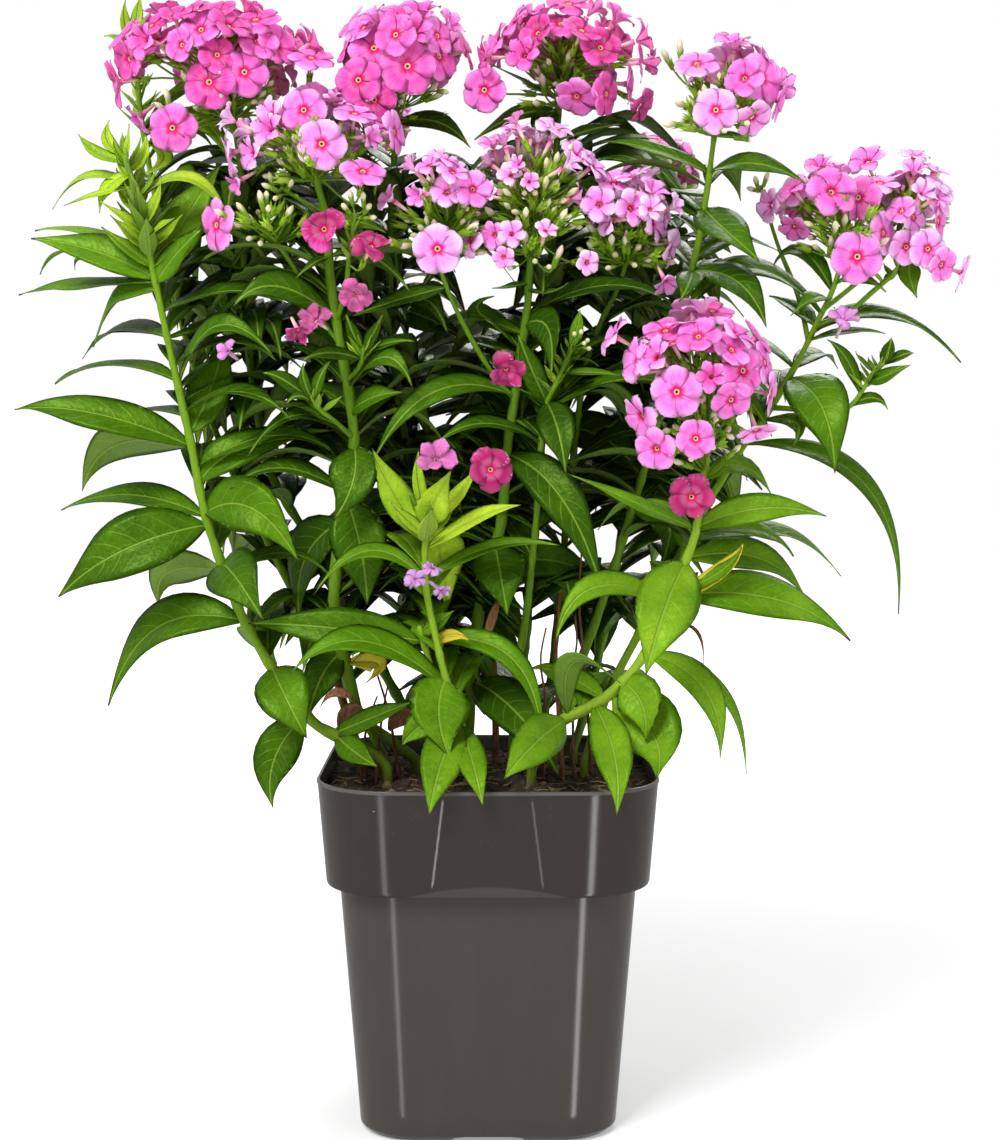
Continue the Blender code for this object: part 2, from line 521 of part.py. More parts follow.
def leaf_piece(leaf, stations, extra=0.0, from_root=True):
    """Closed blade: lens-shaped stations between a pointed foot and a pointed tip."""
    half = BLADE_HALF_THICKNESS + extra
    frames = blade_frames(leaf, stations)
    points = [curve_point(leaf, 0.0 if from_root else stations[0] - 0.05)]
    for t, (centre, side, normal) in zip(stations, frames):
        reach = leaf["width"] * 0.5 * blade_width(t) + extra
        lift = normal * (reach * BLADE_FOLD)
        points += [centre - side * reach + lift, centre + normal * half,
                   centre + side * reach + lift, centre - normal * half]
    points.append(curve_point(leaf, 1.0))
    return points, ring_faces(len(stations), 4)


def ring_faces(rings, sides):
    """Triangles of a closed body: first point, rings of points, last point."""
    faces = []
    for k in range(sides):
        faces.append((0, 1 + k, 1 + (k + 1) % sides))
    for ring in range(rings - 1):
        low = 1 + ring * sides
        high = low + sides
        for k in range(sides):
            n = (k + 1) % sides
            if k % 2:
                faces += [(low + k, high + k, low + n), (low + n, high + k, high + n)]
            else:
                faces += [(low + k, high + n, low + n), (low + k, high + k, high + n)]
    low = 1 + (rings - 1) * sides
    last = low + sides
    for k in range(sides):
        faces.append((low + (k + 1) % sides, low + k, last))
    return faces


def smooth_course(points, steps):
    """Points of the course at even distances, rounded by Catmull-Rom curves."""
    dense = []
    for i in range(len(points) - 1):
        before = points[max(0, i - 1)]
        here = points[i]
        there = points[i + 1]
        after = points[min(len(points) - 1, i + 2)]
        for k in range(6):
            t = k / 6.0
            dense.append(0.5 * (2 * here + (there - before) * t
                                + (2 * before - 5 * here + 4 * there - after) * t ** 2
                                + (3 * here - before - 3 * there + after) * t ** 3))
    dense.append(points[-1])
    lengths = [0.0]
    for a, b in zip(dense, dense[1:]):
        lengths.append(lengths[-1] + (b - a).length)
    result = []
    k = 0
    for step in range(steps + 1):
        want = lengths[-1] * step / steps
        while k < len(dense) - 2 and lengths[k + 1] < want:
            k += 1
        span = lengths[k + 1] - lengths[k]
        result.append(dense[k].lerp(dense[k + 1], (want - lengths[k]) / span))
    return result


def tube_piece(points, radii, sides, extra=0.0):
    """Closed tapering tube along points."""
    first, last = radii
    ahead = (points[1] - points[0]).normalized()
    across = Vector((1.0, 0.0, 0.0))
    made = [points[0].copy()]
    for i, point in enumerate(points):
        ahead = (points[min(i + 1, len(points) - 1)] - points[max(i - 1, 0)]).normalized()
        across = (across - ahead * across.dot(ahead)).normalized()
        other = ahead.cross(across)
        radius = first + (last - first) * i / (len(points) - 1) + extra
        for k in range(sides):
            angle = math.tau * k / sides
            made.append(point + across * (radius * math.cos(angle)) + other * (radius * math.sin(angle)))
    made.append(points[-1].copy())
    return made, ring_faces(len(points), sides)


def stem_steps(points):
    length = sum((b - a).length for a, b in zip(points, points[1:]))
    return max(2, round(length / STEM_STEP))


def flower_axes(facing):
    across = facing.cross(Vector((0.0, 0.0, 1.0)))
    if across.length < 0.05:
        across = Vector((1.0, 0.0, 0.0))
    across.normalize()
    return across, facing.cross(across).normalized()


def flower_piece(flower, extra=0.0):
    """Closed flower: five round petals, a sunk throat and a slim stalk to its seat."""
    facing = flower["facing"]
    across, other = flower_axes(facing)
    opening = math.radians(flower["opening"])
    throat = flower["centre"]
    half_open = flower["opening"] <= TRUMPET_OPENING
    hub = TRUMPET_RIM_POINTS if half_open else RIM_POINTS
    notch = 1.0 if half_open else PETAL_NOTCH
    points = []
    for k in range(hub):
        reach = flower["reach"] * (1.0, notch)[k % 2] + extra
        angle = math.radians(flower["spin"]) + math.tau * k / hub
        ray = across * math.cos(angle) + other * math.sin(angle)
        points.append(throat + facing * (reach * math.cos(opening)) + ray * (reach * math.sin(opening)))
    points.append(throat + facing * (extra - 0.2))
    points += small_ring(throat - facing * (THROAT_DEPTH + extra), facing, THROAT_RADIUS + extra)
    points += small_ring(flower["seat"], flower["seat_axis"], STALK_RADIUS + extra)
    faces = []
    for k in range(hub):
        n = (k + 1) % hub
        here = hub + 1 + round(3.0 * k / hub) % 3
        following = hub + 1 + round(3.0 * (k + 1) / hub) % 3
        faces += [(k, n, hub), (n, k, here)]
        if following != here:
            faces.append((n, here, following))
    for k in range(3):
        m = (k + 1) % 3
        faces += [(hub + 1 + k, hub + 4 + k, hub + 1 + m), (hub + 1 + m, hub + 4 + k, hub + 4 + m)]
    faces.append((hub + 4, hub + 6, hub + 5))
    return points, faces


def small_ring(centre, axis, radius):
    """Three points round an axis."""
    across, other = flower_axes(axis)
    ring = []
    for k in range(3):
        angle = math.tau * k / 3.0
        ring.append(centre + across * (radius * math.cos(angle)) + other * (radius * math.sin(angle)))
    return ring


def bud_piece(bud, extra=0.0):
    """Closed bud on its stalk: pointed at the tip, three-sided."""
    points = [bud["seat"].copy()]
    points += small_ring(bud["seat"], bud["ahead"], TWIG_RADIUS + extra)
    points += small_ring(bud["calyx"], bud["facing"], CALYX_RADIUS + extra)
    points.append(bud["calyx"] + bud["facing"] * bud["length"])
    return points, ring_faces(2, 3)


class Crowd:
    """Pieces already placed, to keep later ones of other nodes clear of them."""

    def __init__(self):
        self.pieces = []

    def add(self, node, shape):
        points, faces = shape
        low = Vector([min(p[i] for p in points) for i in range(3)])
        high = Vector([max(p[i] for p in points) for i in range(3)])
        self.pieces.append((node, BVHTree.FromPolygons(points, faces), low, high))

    def is_clear(self, node, shape):
        points, faces = shape
        low = [min(p[i] for p in points) for i in range(3)]
        high = [max(p[i] for p in points) for i in range(3)]
        tree = None
        for other, other_tree, other_low, other_high in self.pieces:
            if other == node:
                continue
            if any(low[i] > other_high[i] or high[i] < other_low[i] for i in range(3)):
                continue
            if tree is None:
                tree = BVHTree.FromPolygons(points, faces)
            if tree.overlap(other_tree):
                return False
        return True


LEAF_STATIONS = (0.14, 0.36, 0.62, 0.85)
SHORT_LEAF_STATIONS = (0.2, 0.5, 0.8)
SMALL_LEAF_STATIONS = (0.28, 0.68)
LONG_LEAF = 64.0
SHORT_LEAF = 40.0
SHIFTS = (0, -7, 7, -14, 14, -21, 21, -28, 28, -36, 36, -46, 46)


def stations_for(leaf):
    """More cross sections for longer leaves."""
    root, middle, tip = leaf["line"]
    length = (tip - root).length
    if length > LONG_LEAF:
        return LEAF_STATIONS
    return SHORT_LEAF_STATIONS if length > SHORT_LEAF else SMALL_LEAF_STATIONS


def listed_leaf(points, entry, shift):
    height, middle, tip, width, facing = entry
    across, up, depth = middle
    middle = place((across, up, depth + 0.55 * shift))
    across, up, depth = tip
    tip = place((across, up, depth + shift))
    return {"line": (point_at_height(points, height), middle, tip), "width": width, "facing": facing}


def limit_at(limits, up):
    for (low, a), (high, b) in zip(limits, limits[1:]):
        if low <= up <= high:
            return a + (b - a) * (up - low) / (high - low)
    return limits[0][1] if up < limits[0][0] else limits[-1][1]


def stays_hidden(leaf):
    """True when a rule-grown leaf keeps to the foliage as it is seen."""
    for t in (0.35, 0.6, 0.8, 1.0):
        across, up = seen_from_front(curve_point(leaf, t))
        if not limit_at(OUTLINE_LEFT, up) <= across <= limit_at(OUTLINE_RIGHT, up):
            return False
        if any(math.hypot(across - x, up - z) < r + 4.0 for x, z, r in WINDOWS):
            return False
    return True


def grown_leaf(rng, root, azimuth, length):
    out = Vector((math.cos(azimuth), math.sin(azimuth), 0.0))
    rise = rng.uniform(0.12, 0.3)
    droop = rng.uniform(-0.25, 0.12)
    middle = root + out * (0.5 * length) + Vector((0, 0, rise * length))
    tip = root + out * (0.92 * length) + Vector((0, 0, droop * length))
    facing = 0.0 if out.y > 0 else 20.0
    return {"line": (root, middle, tip), "width": length * rng.uniform(0.24, 0.3), "facing": facing}


def place_stems(crowd, courses, cores):
    """Green tubes up to where a head starts, and the cores of the heads above that."""
    greens = []
    for name, (line, radii) in courses.items():
        node = node_of(name)
        if not crowd.is_clear(node, tube_piece(line, radii, STEM_SIDES, CLEARANCE)):
            print("crossing stem", name)
        shape = tube_piece(line, radii, STEM_SIDES)
        crowd.add(node, shape)
        greens.append((node, shape))
    for name, line in cores.items():
        core = tube_piece(line, core_radii(name), CORE_SIDES)
        if not crowd.is_clear("head_" + name, core):
            print("crossing core", name)
        crowd.add("head_" + name, core)
        cores[name] = (line, core)
    return greens


def core_radii(name):
    thin = name == "branch_5"
    return (1.6, 1.6) if thin else CORE_RADII


def split_course(points, seen_height):
    """Course up to the given height, and from there on."""
    joint = point_at_height(points, seen_height)
    upper_start = next(i for i, p in enumerate(points) if seen_from_front(p)[1] > seen_height)
    return points[:upper_start] + [joint], [joint] + points[upper_start:]


def place_flowers(crowd, cores, rng):
    """Flowers of each head, by head."""
    heads = {}
    for head, (grower, entries) in FLOWERS.items():
        node = "head_" + grower
        members = [cores[grower][1]]
        for number, entry in enumerate(entries):
            flower = fit_flower(crowd, node, entry, cores[grower][0][1:], rng.uniform(0, 72))
            if flower is None:
                print("no room for flower", head, number)
                continue
            members.append(flower_piece(flower))
        heads[head] = members
    return heads


def fit_flower(crowd, node, entry, core_line, spin):
    across, up, depth, turn, lift, reach, opening = entry
    for shift in (0, -5, 5, -10, 10, -16, 16, -24, 24):
        centre = place((across, up, depth + shift))
        facing = direction(turn, lift)
        flower = {"centre": centre, "facing": facing, "reach": reach, "opening": opening, "spin": spin}
        for drop in (10, 0, 20):
            seat = nearest_on(core_line, centre - facing * TUBE_LENGTH, drop)
            flower["seat"] = seat
            flower["seat_axis"] = (centre - seat).normalized()
            if flower["seat_axis"].dot(facing) < STALK_TURN:
                continue
            if crowd.is_clear(node, flower_piece(flower, CLEARANCE)):
                crowd.add(node, flower_piece(flower))
                return flower
    return None


def fit_bud(crowd, node, entry, line):
    across, up, depth, turn, lift, length = entry
    facing = direction(turn, lift)
    calyx = place((across, up, depth)) - facing * length
    for drop in (10, 0, 20, 30):
        seat = nearest_on(line, calyx, drop)
        bud = {"seat": seat, "ahead": (calyx - seat).normalized(), "calyx": calyx, "facing": facing,
               "length": length}
        if crowd.is_clear(node, bud_piece(bud, CLEARANCE)):
            crowd.add(node, bud_piece(bud))
            return [bud_piece(bud)]
    print("no room for bud", node, entry)
    return []


def nearest_on(line, target, drop):
    """Point of a line nearest to a place somewhat below the target."""
    wanted = target - Vector((0, 0, drop))
    best = None
    for low, high in zip(line, line[1:]):
        span = high - low
        share = max(0.12, min(0.9, (wanted - low).dot(span) / span.length_squared))
        point = low + span * share
        if best is None or (point - wanted).length < (best - wanted).length:
            best = point
    return best


def place_green_buds(crowd, courses):
    """Closed buds on stems and branches that bear no open flowers."""
    made = []
    for grower, entries in GREEN_BUDS.items():
        points = courses[grower][0]
        for entry in entries:
            for shape in fit_bud(crowd, node_of(grower), entry, points[-3:]):
                made.append((node_of(grower), shape))
    return made


def place_stray_flowers(crowd, courses, rng):
    """Single flowers that lean on a stem, their foot an even gap off its side."""
    made = []
    for number, (grower, entry) in enumerate(STRAY_FLOWERS):
        node = "flower_single_%d" % (number + 1)
        line, radii = courses[grower]
        tube = tube_piece(line, radii, STEM_SIDES)
        tree = BVHTree.FromPolygons(*tube)
        across, up, depth, turn, lift, reach, opening = entry
        centre = place((across, up, depth))
        facing = direction(turn, lift)
        touch, normal, index, distance = tree.find_nearest(centre - facing * TUBE_LENGTH)
        outward = (centre - touch).normalized()
        normal = normal if normal.dot(outward) > 0 else -normal
        flower = {"centre": centre, "facing": facing, "reach": reach, "opening": opening,
                  "spin": rng.uniform(0, 72), "seat": touch + normal * GAP, "seat_axis": normal}
        if not crowd.is_clear(node, flower_piece(flower)):
            print("no room for single flower", number)
            continue
        crowd.add(node, flower_piece(flower))
        made.append((node, flower_piece(flower)))
    return made


def place_leaves(crowd, courses, rng):
    """Listed leaves first, then rule-grown ones on the sides turned from the viewer."""
    placed = []
    listed = [(name, entry) for name, entries in LEAVES.items() for entry in entries]
    listed += [("branch_%d" % n, entry) for n, entries in BRANCH_LEAVES.items() for entry in entries]
    for name, entry in listed:
        points = courses[name][0]
        tries = [listed_leaf(points, entry, shift) for shift in SHIFTS]
        keep_first_clear(crowd, node_of(name), tries, placed, "leaf on %s at %d" % (name, entry[0]))
    for name in STEMS:
        grow_hidden_leaves(crowd, name, courses[name][0], rng, placed)
    return placed


def grow_hidden_leaves(crowd, name, points, rng, placed):
    top = seen_from_front(points[-1])[1]
    azimuth = rng.uniform(0, math.pi)
    height = 205.0 + rng.uniform(0, 15)
    rear = name.startswith("rear")
    while height < top - (18 if rear else 35):
        root = point_at_height(points, height)
        length = rng.uniform(62, 88) * (1.0 - 0.35 * max(0.0, (height - 380) / 180))
        for side in (0.0, math.pi):
            angle = azimuth + side
            tries = []
            if math.sin(angle) > 0.1 or rear:
                for turn in (0, 15, -15, 30, -30):
                    leaf = grown_leaf(rng, root, angle + math.radians(turn), length)
                    if stays_hidden(leaf):
                        tries.append(leaf)
            if tries:
                keep_first_clear(crowd, name, tries, placed, "")
        azimuth += math.pi / 2 + rng.uniform(-0.2, 0.2)
        height += rng.uniform(66, 84)


def keep_first_clear(crowd, node, tries, placed, label):
    for leaf in tries:
        stations = stations_for(leaf)
        if crowd.is_clear(node, leaf_piece(leaf, stations, CLEARANCE)):
            crowd.add(node, leaf_piece(leaf, stations))
            placed.append((node, leaf))
            return
    if label:
        print("no room for", label)


def rounded_square(half, corner, height):
    points = []
    inset = half - corner
    for quarter in range(4):
        turn = math.pi / 2 * quarter
        centre_x = inset * (1 if quarter in (0, 3) else -1)
        centre_y = inset * (1 if quarter in (0, 1) else -1)
        for step in range(CORNER_STEPS + 1):
            angle = turn + math.pi / 2 * step / CORNER_STEPS
            points.append(Vector((centre_x + corner * math.cos(angle),
                                  centre_y + corner * math.sin(angle), height)))
    return points


def ring_body(rings, bottom, top):
    """Closed body from rings of equal count, with flat fans at both ends."""
    sides = len(rings[0])
    points = [bottom] + [p for ring in rings for p in ring] + [top]
    return points, ring_faces(len(rings), sides)


def pot_shape():
    """Pot turned outside in: foot, body, collar and rim, then the inner face back down."""
    outside = [(0.0, FOOT_HALF, FOOT_CORNER), (FOOT_HEIGHT, BODY_BOTTOM_HALF, BODY_BOTTOM_CORNER),
               (COLLAR_BOTTOM, BODY_TOP_HALF, BODY_TOP_CORNER),
               (COLLAR_BOTTOM, COLLAR_HALF - COLLAR_ROUNDING, COLLAR_CORNER - COLLAR_ROUNDING),
               (COLLAR_BOTTOM + COLLAR_ROUNDING, COLLAR_HALF, COLLAR_CORNER),
               (POT_HEIGHT - RIM_ROUNDING, RIM_HALF, RIM_CORNER),
               (POT_HEIGHT, RIM_HALF - RIM_ROUNDING, RIM_CORNER - RIM_ROUNDING)]
    inside = [(POT_HEIGHT, RIM_HALF, RIM_CORNER), (COLLAR_BOTTOM + WALL, COLLAR_HALF, COLLAR_CORNER),
              (COLLAR_BOTTOM + WALL, BODY_TOP_HALF, BODY_TOP_CORNER),
              (FLOOR_TOP, BODY_BOTTOM_HALF, BODY_BOTTOM_CORNER)]
    rings = [rounded_square(half, corner, z) for z, half, corner in outside]
    rings += [rounded_square(half - WALL, corner - WALL, z) for z, half, corner in inside]
    return ring_body(rings, Vector((0, 0, 0)), Vector((0, 0, FLOOR_TOP)))


def soil_height(x, y):
    mound = SOIL_MOUND * math.exp(-(x * x + y * y) / SOIL_MOUND_REACH ** 2)
    ripple = SOIL_ROUGHNESS * math.sin(x * 0.21 + 1.3) * math.cos(y * 0.17 - 0.4)
    return SOIL_EDGE + mound + ripple


def soil_shape():
    """Soil that follows the pot's inside at an even gap, with a mounded top."""
    inset = WALL + GAP
    step = COLLAR_BOTTOM + WALL + GAP
    top_half = COLLAR_HALF + (RIM_HALF - COLLAR_HALF) * (SOIL_EDGE - COLLAR_BOTTOM) / (POT_HEIGHT - COLLAR_BOTTOM)
    levels = [(FLOOR_TOP + GAP, BODY_BOTTOM_HALF, BODY_BOTTOM_CORNER), (step, BODY_TOP_HALF, BODY_TOP_CORNER),
              (step, COLLAR_HALF, COLLAR_CORNER), (SOIL_EDGE - 1.0, top_half, RIM_CORNER - 0.5)]
    rings = [rounded_square(half - inset, corner - inset, z) for z, half, corner in levels]
    edge = rings[-1]
    for share in (0.7, 0.35):
        rings.append([Vector((p.x * share, p.y * share, soil_height(p.x * share, p.y * share))) for p in edge])
    return ring_body(rings, Vector((0, 0, FLOOR_TOP + GAP)), Vector((0, 0, soil_height(0, 0))))


def clear_scene():
    for thing in list(bpy.data.objects):
        bpy.data.objects.remove(thing, do_unlink=True)


def new_collection(name):
    collection = bpy.data.collections.new(name)
    bpy.context.scene.collection.children.link(collection)
    return collection


def make_object(name, shape, collection):
    points, faces = shape
    mesh = bpy.data.meshes.new(name)
    mesh.from_pydata([p * MM for p in points], [], faces)
    cleaner = bmesh.new()
    cleaner.from_mesh(mesh)
    bmesh.ops.recalc_face_normals(cleaner, faces=cleaner.faces)
    cleaner.to_mesh(mesh)
    cleaner.free()
    thing = bpy.data.objects.new(name, mesh)
    collection.objects.link(thing)
    return thing


def apply_modifiers(thing):
    bpy.context.view_layer.update()
    graph = bpy.context.evaluated_depsgraph_get()
    mesh = bpy.data.meshes.new_from_object(thing.evaluated_get(graph))
    thing.modifiers.clear()
    thing.data = mesh


def combine(thing, pieces, operation):
    """One Boolean of the object with a collection of pieces, applied at once."""
    if not pieces:
        return
    holder = new_collection(thing.name + "_pieces")
    for number, shape in enumerate(pieces):
        make_object("%s_piece_%d" % (thing.name, number), shape, holder)
    boolean = thing.modifiers.new("join", "BOOLEAN")
    boolean.operand_type = "COLLECTION"
    boolean.collection = holder
    boolean.operation = operation
    boolean.solver = "MANIFOLD"
    apply_modifiers(thing)
    for piece in list(holder.objects):
        bpy.data.objects.remove(piece, do_unlink=True)
    bpy.data.collections.remove(holder)


def material(name, colour, roughness):
    made = bpy.data.materials.new(name)
    made.use_nodes = True
    shader = made.node_tree.nodes["Principled BSDF"]
    shader.inputs["Base Color"].default_value = (*colour, 1.0)
    shader.inputs["Roughness"].default_value = roughness
    return made


def smooth_shaded(thing, angle):
    thing.data.shade_smooth()
    thing.data.set_sharp_from_angle(angle=math.radians(angle))


def pot_cutters():
    """Low arched notches in the four sides of the foot, and the drain holes."""
    cutters = []
    for quarter in range(4):
        turn = math.pi / 2 * quarter
        out = Vector((math.cos(turn), math.sin(turn), 0.0))
        side = Vector((-out.y, out.x, 0.0))
        profile = [(-0.5, -1.0), (-0.42, 0.75), (-0.25, 1.0), (0.25, 1.0), (0.42, 0.75), (0.5, -1.0)]
        points = []
        for distance in (FOOT_HALF - NOTCH_REACH, FOOT_HALF + 8.0):
            for share, height in profile:
                points.append(out * distance + side * (share * NOTCH_WIDTH)
                              + Vector((0, 0, height * NOTCH_HEIGHT)))
        count = len(profile)
        faces = [tuple(range(count)), tuple(range(2 * count - 1, count - 1, -1))]
        for k in range(count):
            n = (k + 1) % count
            faces.append((k, k + count, n + count, n))
        cutters.append((points, faces))
        corner = (out + side).normalized() * DRAIN_DISTANCE
        low = corner + Vector((0, 0, -2.0))
        high = corner + Vector((0, 0, FLOOR_TOP + 2.0))
        cutters.append(tube_piece([low, high], (DRAIN_RADIUS, DRAIN_RADIUS), 8))
    return cutters


def panel_cutter():
    """Shallow trapezoid recess in the collar's front face."""
    slope = (RIM_HALF - COLLAR_HALF) / (POT_HEIGHT - COLLAR_BOTTOM)
    outline = [(-22.0, PANEL_TOP), (22.0, PANEL_TOP), (28.0, PANEL_BOTTOM), (14.0, PANEL_BOTTOM + 3.0),
               (0.0, PANEL_BOTTOM + 4.0), (-14.0, PANEL_BOTTOM + 3.0), (-28.0, PANEL_BOTTOM)]
    points = []
    for sink in (PANEL_DEPTH, -4.0):
        for x, z in outline:
            face = COLLAR_HALF + slope * (z - COLLAR_BOTTOM)
            points.append(Vector((x, -(face - sink), z)))
    count = len(outline)
    faces = [tuple(range(count)), tuple(range(2 * count - 1, count - 1, -1))]
    for k in range(count):
        n = (k + 1) % count
        faces.append((k, k + count, n + count, n))
    return points, faces


def build_pot(collection, slots):
    pot = make_object("pot", pot_shape(), collection)
    combine(pot, pot_cutters() + [panel_cutter()], "DIFFERENCE")
    smooth_shaded(pot, 35)
    pot.data.materials.append(slots["pot"])


def hole_piece(footing, radius):
    """Plain hole a stem stands in, an even gap wider than the stem."""
    x, y = footing
    wider = radius + GAP / math.cos(math.pi / STEM_SIDES)
    low = Vector((x, y, STEM_FOOT - GAP))
    return tube_piece([low, Vector((x, y, SOIL_EDGE + 12.0))], (wider, wider), STEM_SIDES)


def build_soil(collection, slots):
    soil = make_object("soil", soil_shape(), collection)
    holes = [hole_piece(footing, radii[0]) for footing, radii, course in STEMS.values()]
    holes += [hole_piece(footing, radius) for footing, radius, course in OLD_STALKS.values()]
    combine(soil, holes, "DIFFERENCE")
    soil.data.materials.append(slots["soil"])


def build_old_stalks(crowd, collection, slots):
    for name, (footing, radius, course) in OLD_STALKS.items():
        points = standing_line(course_of(footing, course), 3)
        shape = tube_piece(points, (radius, radius * 0.8), STEM_SIDES)
        node = "old_stalk_" + name
        if not crowd.is_clear(node, tube_piece(points, (radius, radius * 0.8), STEM_SIDES, CLEARANCE)):
            print("crossing old stalk", name)
        crowd.add(node, shape)
        stalk = make_object(node, shape, collection)
        stalk.data.materials.append(slots["dry_stalk"])


def keep_main_body(thing):
    """Drops loose scraps and fills sealed hollows left by a join."""
    mesh = bmesh.new()
    mesh.from_mesh(thing.data)
    bodies = []
    seen = set()
    for face in mesh.faces:
        if face in seen:
            continue
        seen.add(face)
        body = [face]
        for member in body:
            for edge in member.edges:
                for neighbour in edge.link_faces:
                    if neighbour not in seen:
                        seen.add(neighbour)
                        body.append(neighbour)
        bodies.append(body)
    bodies.sort(key=len, reverse=True)
    for body in bodies[1:]:
        print(thing.name, "drops a body of", len(body), "faces")
        bmesh.ops.delete(mesh, geom=body, context="FACES")
    mesh.to_mesh(thing.data)
    mesh.free()


def build_node(name, shapes, collection, slot):
    thing = make_object(name, shapes[0], collection)
    combine(thing, shapes[1:], "UNION")
    keep_main_body(thing)
    thing.data.materials.append(slot)
    return thing


def build():
    clear_scene()
    parts = new_collection(PART_NAME)
    slots = {
        "pot": material("pot", (0.07, 0.062, 0.058), 0.38),
        "soil": material("soil", (0.035, 0.022, 0.015), 0.95),
        "dry_stalk": material("dry_stalk", (0.2, 0.09, 0.035), 0.8),
        "leaf": material("leaf", (0.13, 0.33, 0.03), 0.5),
        "petal": material("petal", (0.85, 0.2, 0.62), 0.6),
    }
    rng = random.Random(11)
    crowd = Crowd()
    crowd.add("pot", pot_shape())
    build_pot(parts, slots)
    build_soil(parts, slots)
    courses, cores = stem_courses()
    stems = place_stems(crowd, courses, cores)
    build_old_stalks(crowd, parts, slots)
    crowd.add("soil", soil_shape())
    heads = place_flowers(crowd, cores, rng)
    strays = place_stray_flowers(crowd, courses, rng)
    buds = place_green_buds(crowd, courses)
    leaves = place_leaves(crowd, courses, rng)
    for stem in STEMS:
        shapes = [shape for node, shape in stems + buds if node == stem]
        shapes += [leaf_piece(leaf, stations_for(leaf)) for node, leaf in leaves if node == stem]
        build_node("stem_" + stem, shapes, parts, slots["leaf"])
    for head, shapes in heads.items():
        build_node("flowers_" + head, shapes, parts, slots["petal"])
    for name, shape in strays:
        build_node(name, [shape], parts, slots["petal"])
    total = 0
    for thing in parts.objects:
        thing.data.calc_loop_triangles()
        total += len(thing.data.loop_triangles)
        print(thing.name, len(thing.data.loop_triangles))
    print("triangles", total, "objects", len(parts.objects), "leaves", len(leaves))


build()
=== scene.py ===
"""Looks of a garden phlox in a square nursery pot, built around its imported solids.

Lengths are millimetres and are scaled to metres when a mesh is made.
The pot stands on z = 0 with its axis at x = y = 0, and the front is -Y.
The plant's layout is the same as in the solids. Added to it here are small,
filling and backing leaves, tufts of young leaves, more flowers in the heads,
buds, calyces, fallen flowers, twigs and soil crumbs.
"""

import math
import random

import bmesh
import bpy
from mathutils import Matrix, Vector, noise
from mathutils.bvhtree import BVHTree


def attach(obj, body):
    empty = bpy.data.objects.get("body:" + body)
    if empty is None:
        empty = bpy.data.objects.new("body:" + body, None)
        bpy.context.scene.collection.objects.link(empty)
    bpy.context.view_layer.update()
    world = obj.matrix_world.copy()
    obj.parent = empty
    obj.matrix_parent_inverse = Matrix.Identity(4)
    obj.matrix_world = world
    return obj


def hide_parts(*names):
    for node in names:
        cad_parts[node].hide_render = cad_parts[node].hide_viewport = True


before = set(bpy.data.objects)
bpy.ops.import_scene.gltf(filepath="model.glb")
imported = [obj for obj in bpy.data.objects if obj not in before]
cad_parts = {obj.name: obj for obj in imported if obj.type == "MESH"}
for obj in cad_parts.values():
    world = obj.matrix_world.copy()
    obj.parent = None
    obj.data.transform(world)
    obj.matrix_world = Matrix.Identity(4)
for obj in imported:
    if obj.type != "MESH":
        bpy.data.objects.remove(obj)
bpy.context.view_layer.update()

MM = 0.001

# Even gap that the solids keep between neighbouring pieces.
GAP = 0.3

# Pot: a square pot with round corners, a wide collar and a narrower body.
POT_HEIGHT = 180.0
RIM_HALF = 85.5
RIM_CORNER = 41.0
COLLAR_BOTTOM = 127.0
COLLAR_HALF = 81.0
COLLAR_CORNER = 38.0
BODY_TOP_HALF = 74.5
BODY_TOP_CORNER = 34.0
BODY_BOTTOM_HALF = 65.0
BODY_BOTTOM_CORNER = 28.0
FOOT_HEIGHT = 4.0
FOOT_HALF = 62.5
FOOT_CORNER = 26.0
WALL = 1.5
COLLAR_ROUNDING = 0.8
RIM_ROUNDING = 0.5
FLOOR_TOP = 4.0
CORNER_STEPS = 4
PANEL_TOP = 178.0
PANEL_BOTTOM = 129.6
PANEL_DEPTH = 0.5
NOTCH_WIDTH = 36.0
NOTCH_HEIGHT = 2.4
NOTCH_REACH = 12.0
DRAIN_RADIUS = 4.0
DRAIN_DISTANCE = 44.0

# Soil: a filled mound a little below the rim.
SOIL_EDGE = 171.0
SOIL_MOUND = 5.0
SOIL_MOUND_REACH = 45.0
SOIL_ROUGHNESS = 0.7
STEM_FOOT = 158.0
UPRIGHT = 8.5
STEM_SIDES = 5
STEM_STEP = 46.0

# Leaves and flowers.
BLADE_HALF_THICKNESS = 0.62
BLADE_FOLD = 0.22
RIM_POINTS = 10
TRUMPET_RIM_POINTS = 5
TRUMPET_OPENING = 65.0
PETAL_NOTCH = 0.84
THROAT_RADIUS = 1.9
THROAT_DEPTH = 1.9
TUBE_LENGTH = 13.0
STALK_RADIUS = 0.8
TWIG_RADIUS = 0.5
STALK_TURN = 0.25
PETALS = 5
PETAL_TURN = 360 / PETALS
CALYX_RADIUS = 1.5
CORE_SIDES = 6
CORE_FOOT = 2.0
CORE_RADII = (3.2, 4.5)
THIN_CORE_RADII = (1.6, 1.6)
CLEARANCE = 0.5

# The plant is laid out as it is seen from one point in front of the pot.
# A seen place is (across, up, depth): where the point shows over the pot's
# axis, and how far it then lies behind (+) or before (-) that plane.
VIEW_POINT = Vector((6.0, -1000.0, 357.0))


def place(seen):
    """Point in space of a seen place."""
    across, up, depth = seen
    reach = Vector((across, 0.0, up)) - VIEW_POINT
    return VIEW_POINT + reach * (1.0 + depth / reach.length)


def seen_from_front(point):
    """Where a point in space shows over the pot's axis: across and up."""
    reach = point - VIEW_POINT
    shown = VIEW_POINT + reach * (-VIEW_POINT.y / reach.y)
    return shown.x, shown.z


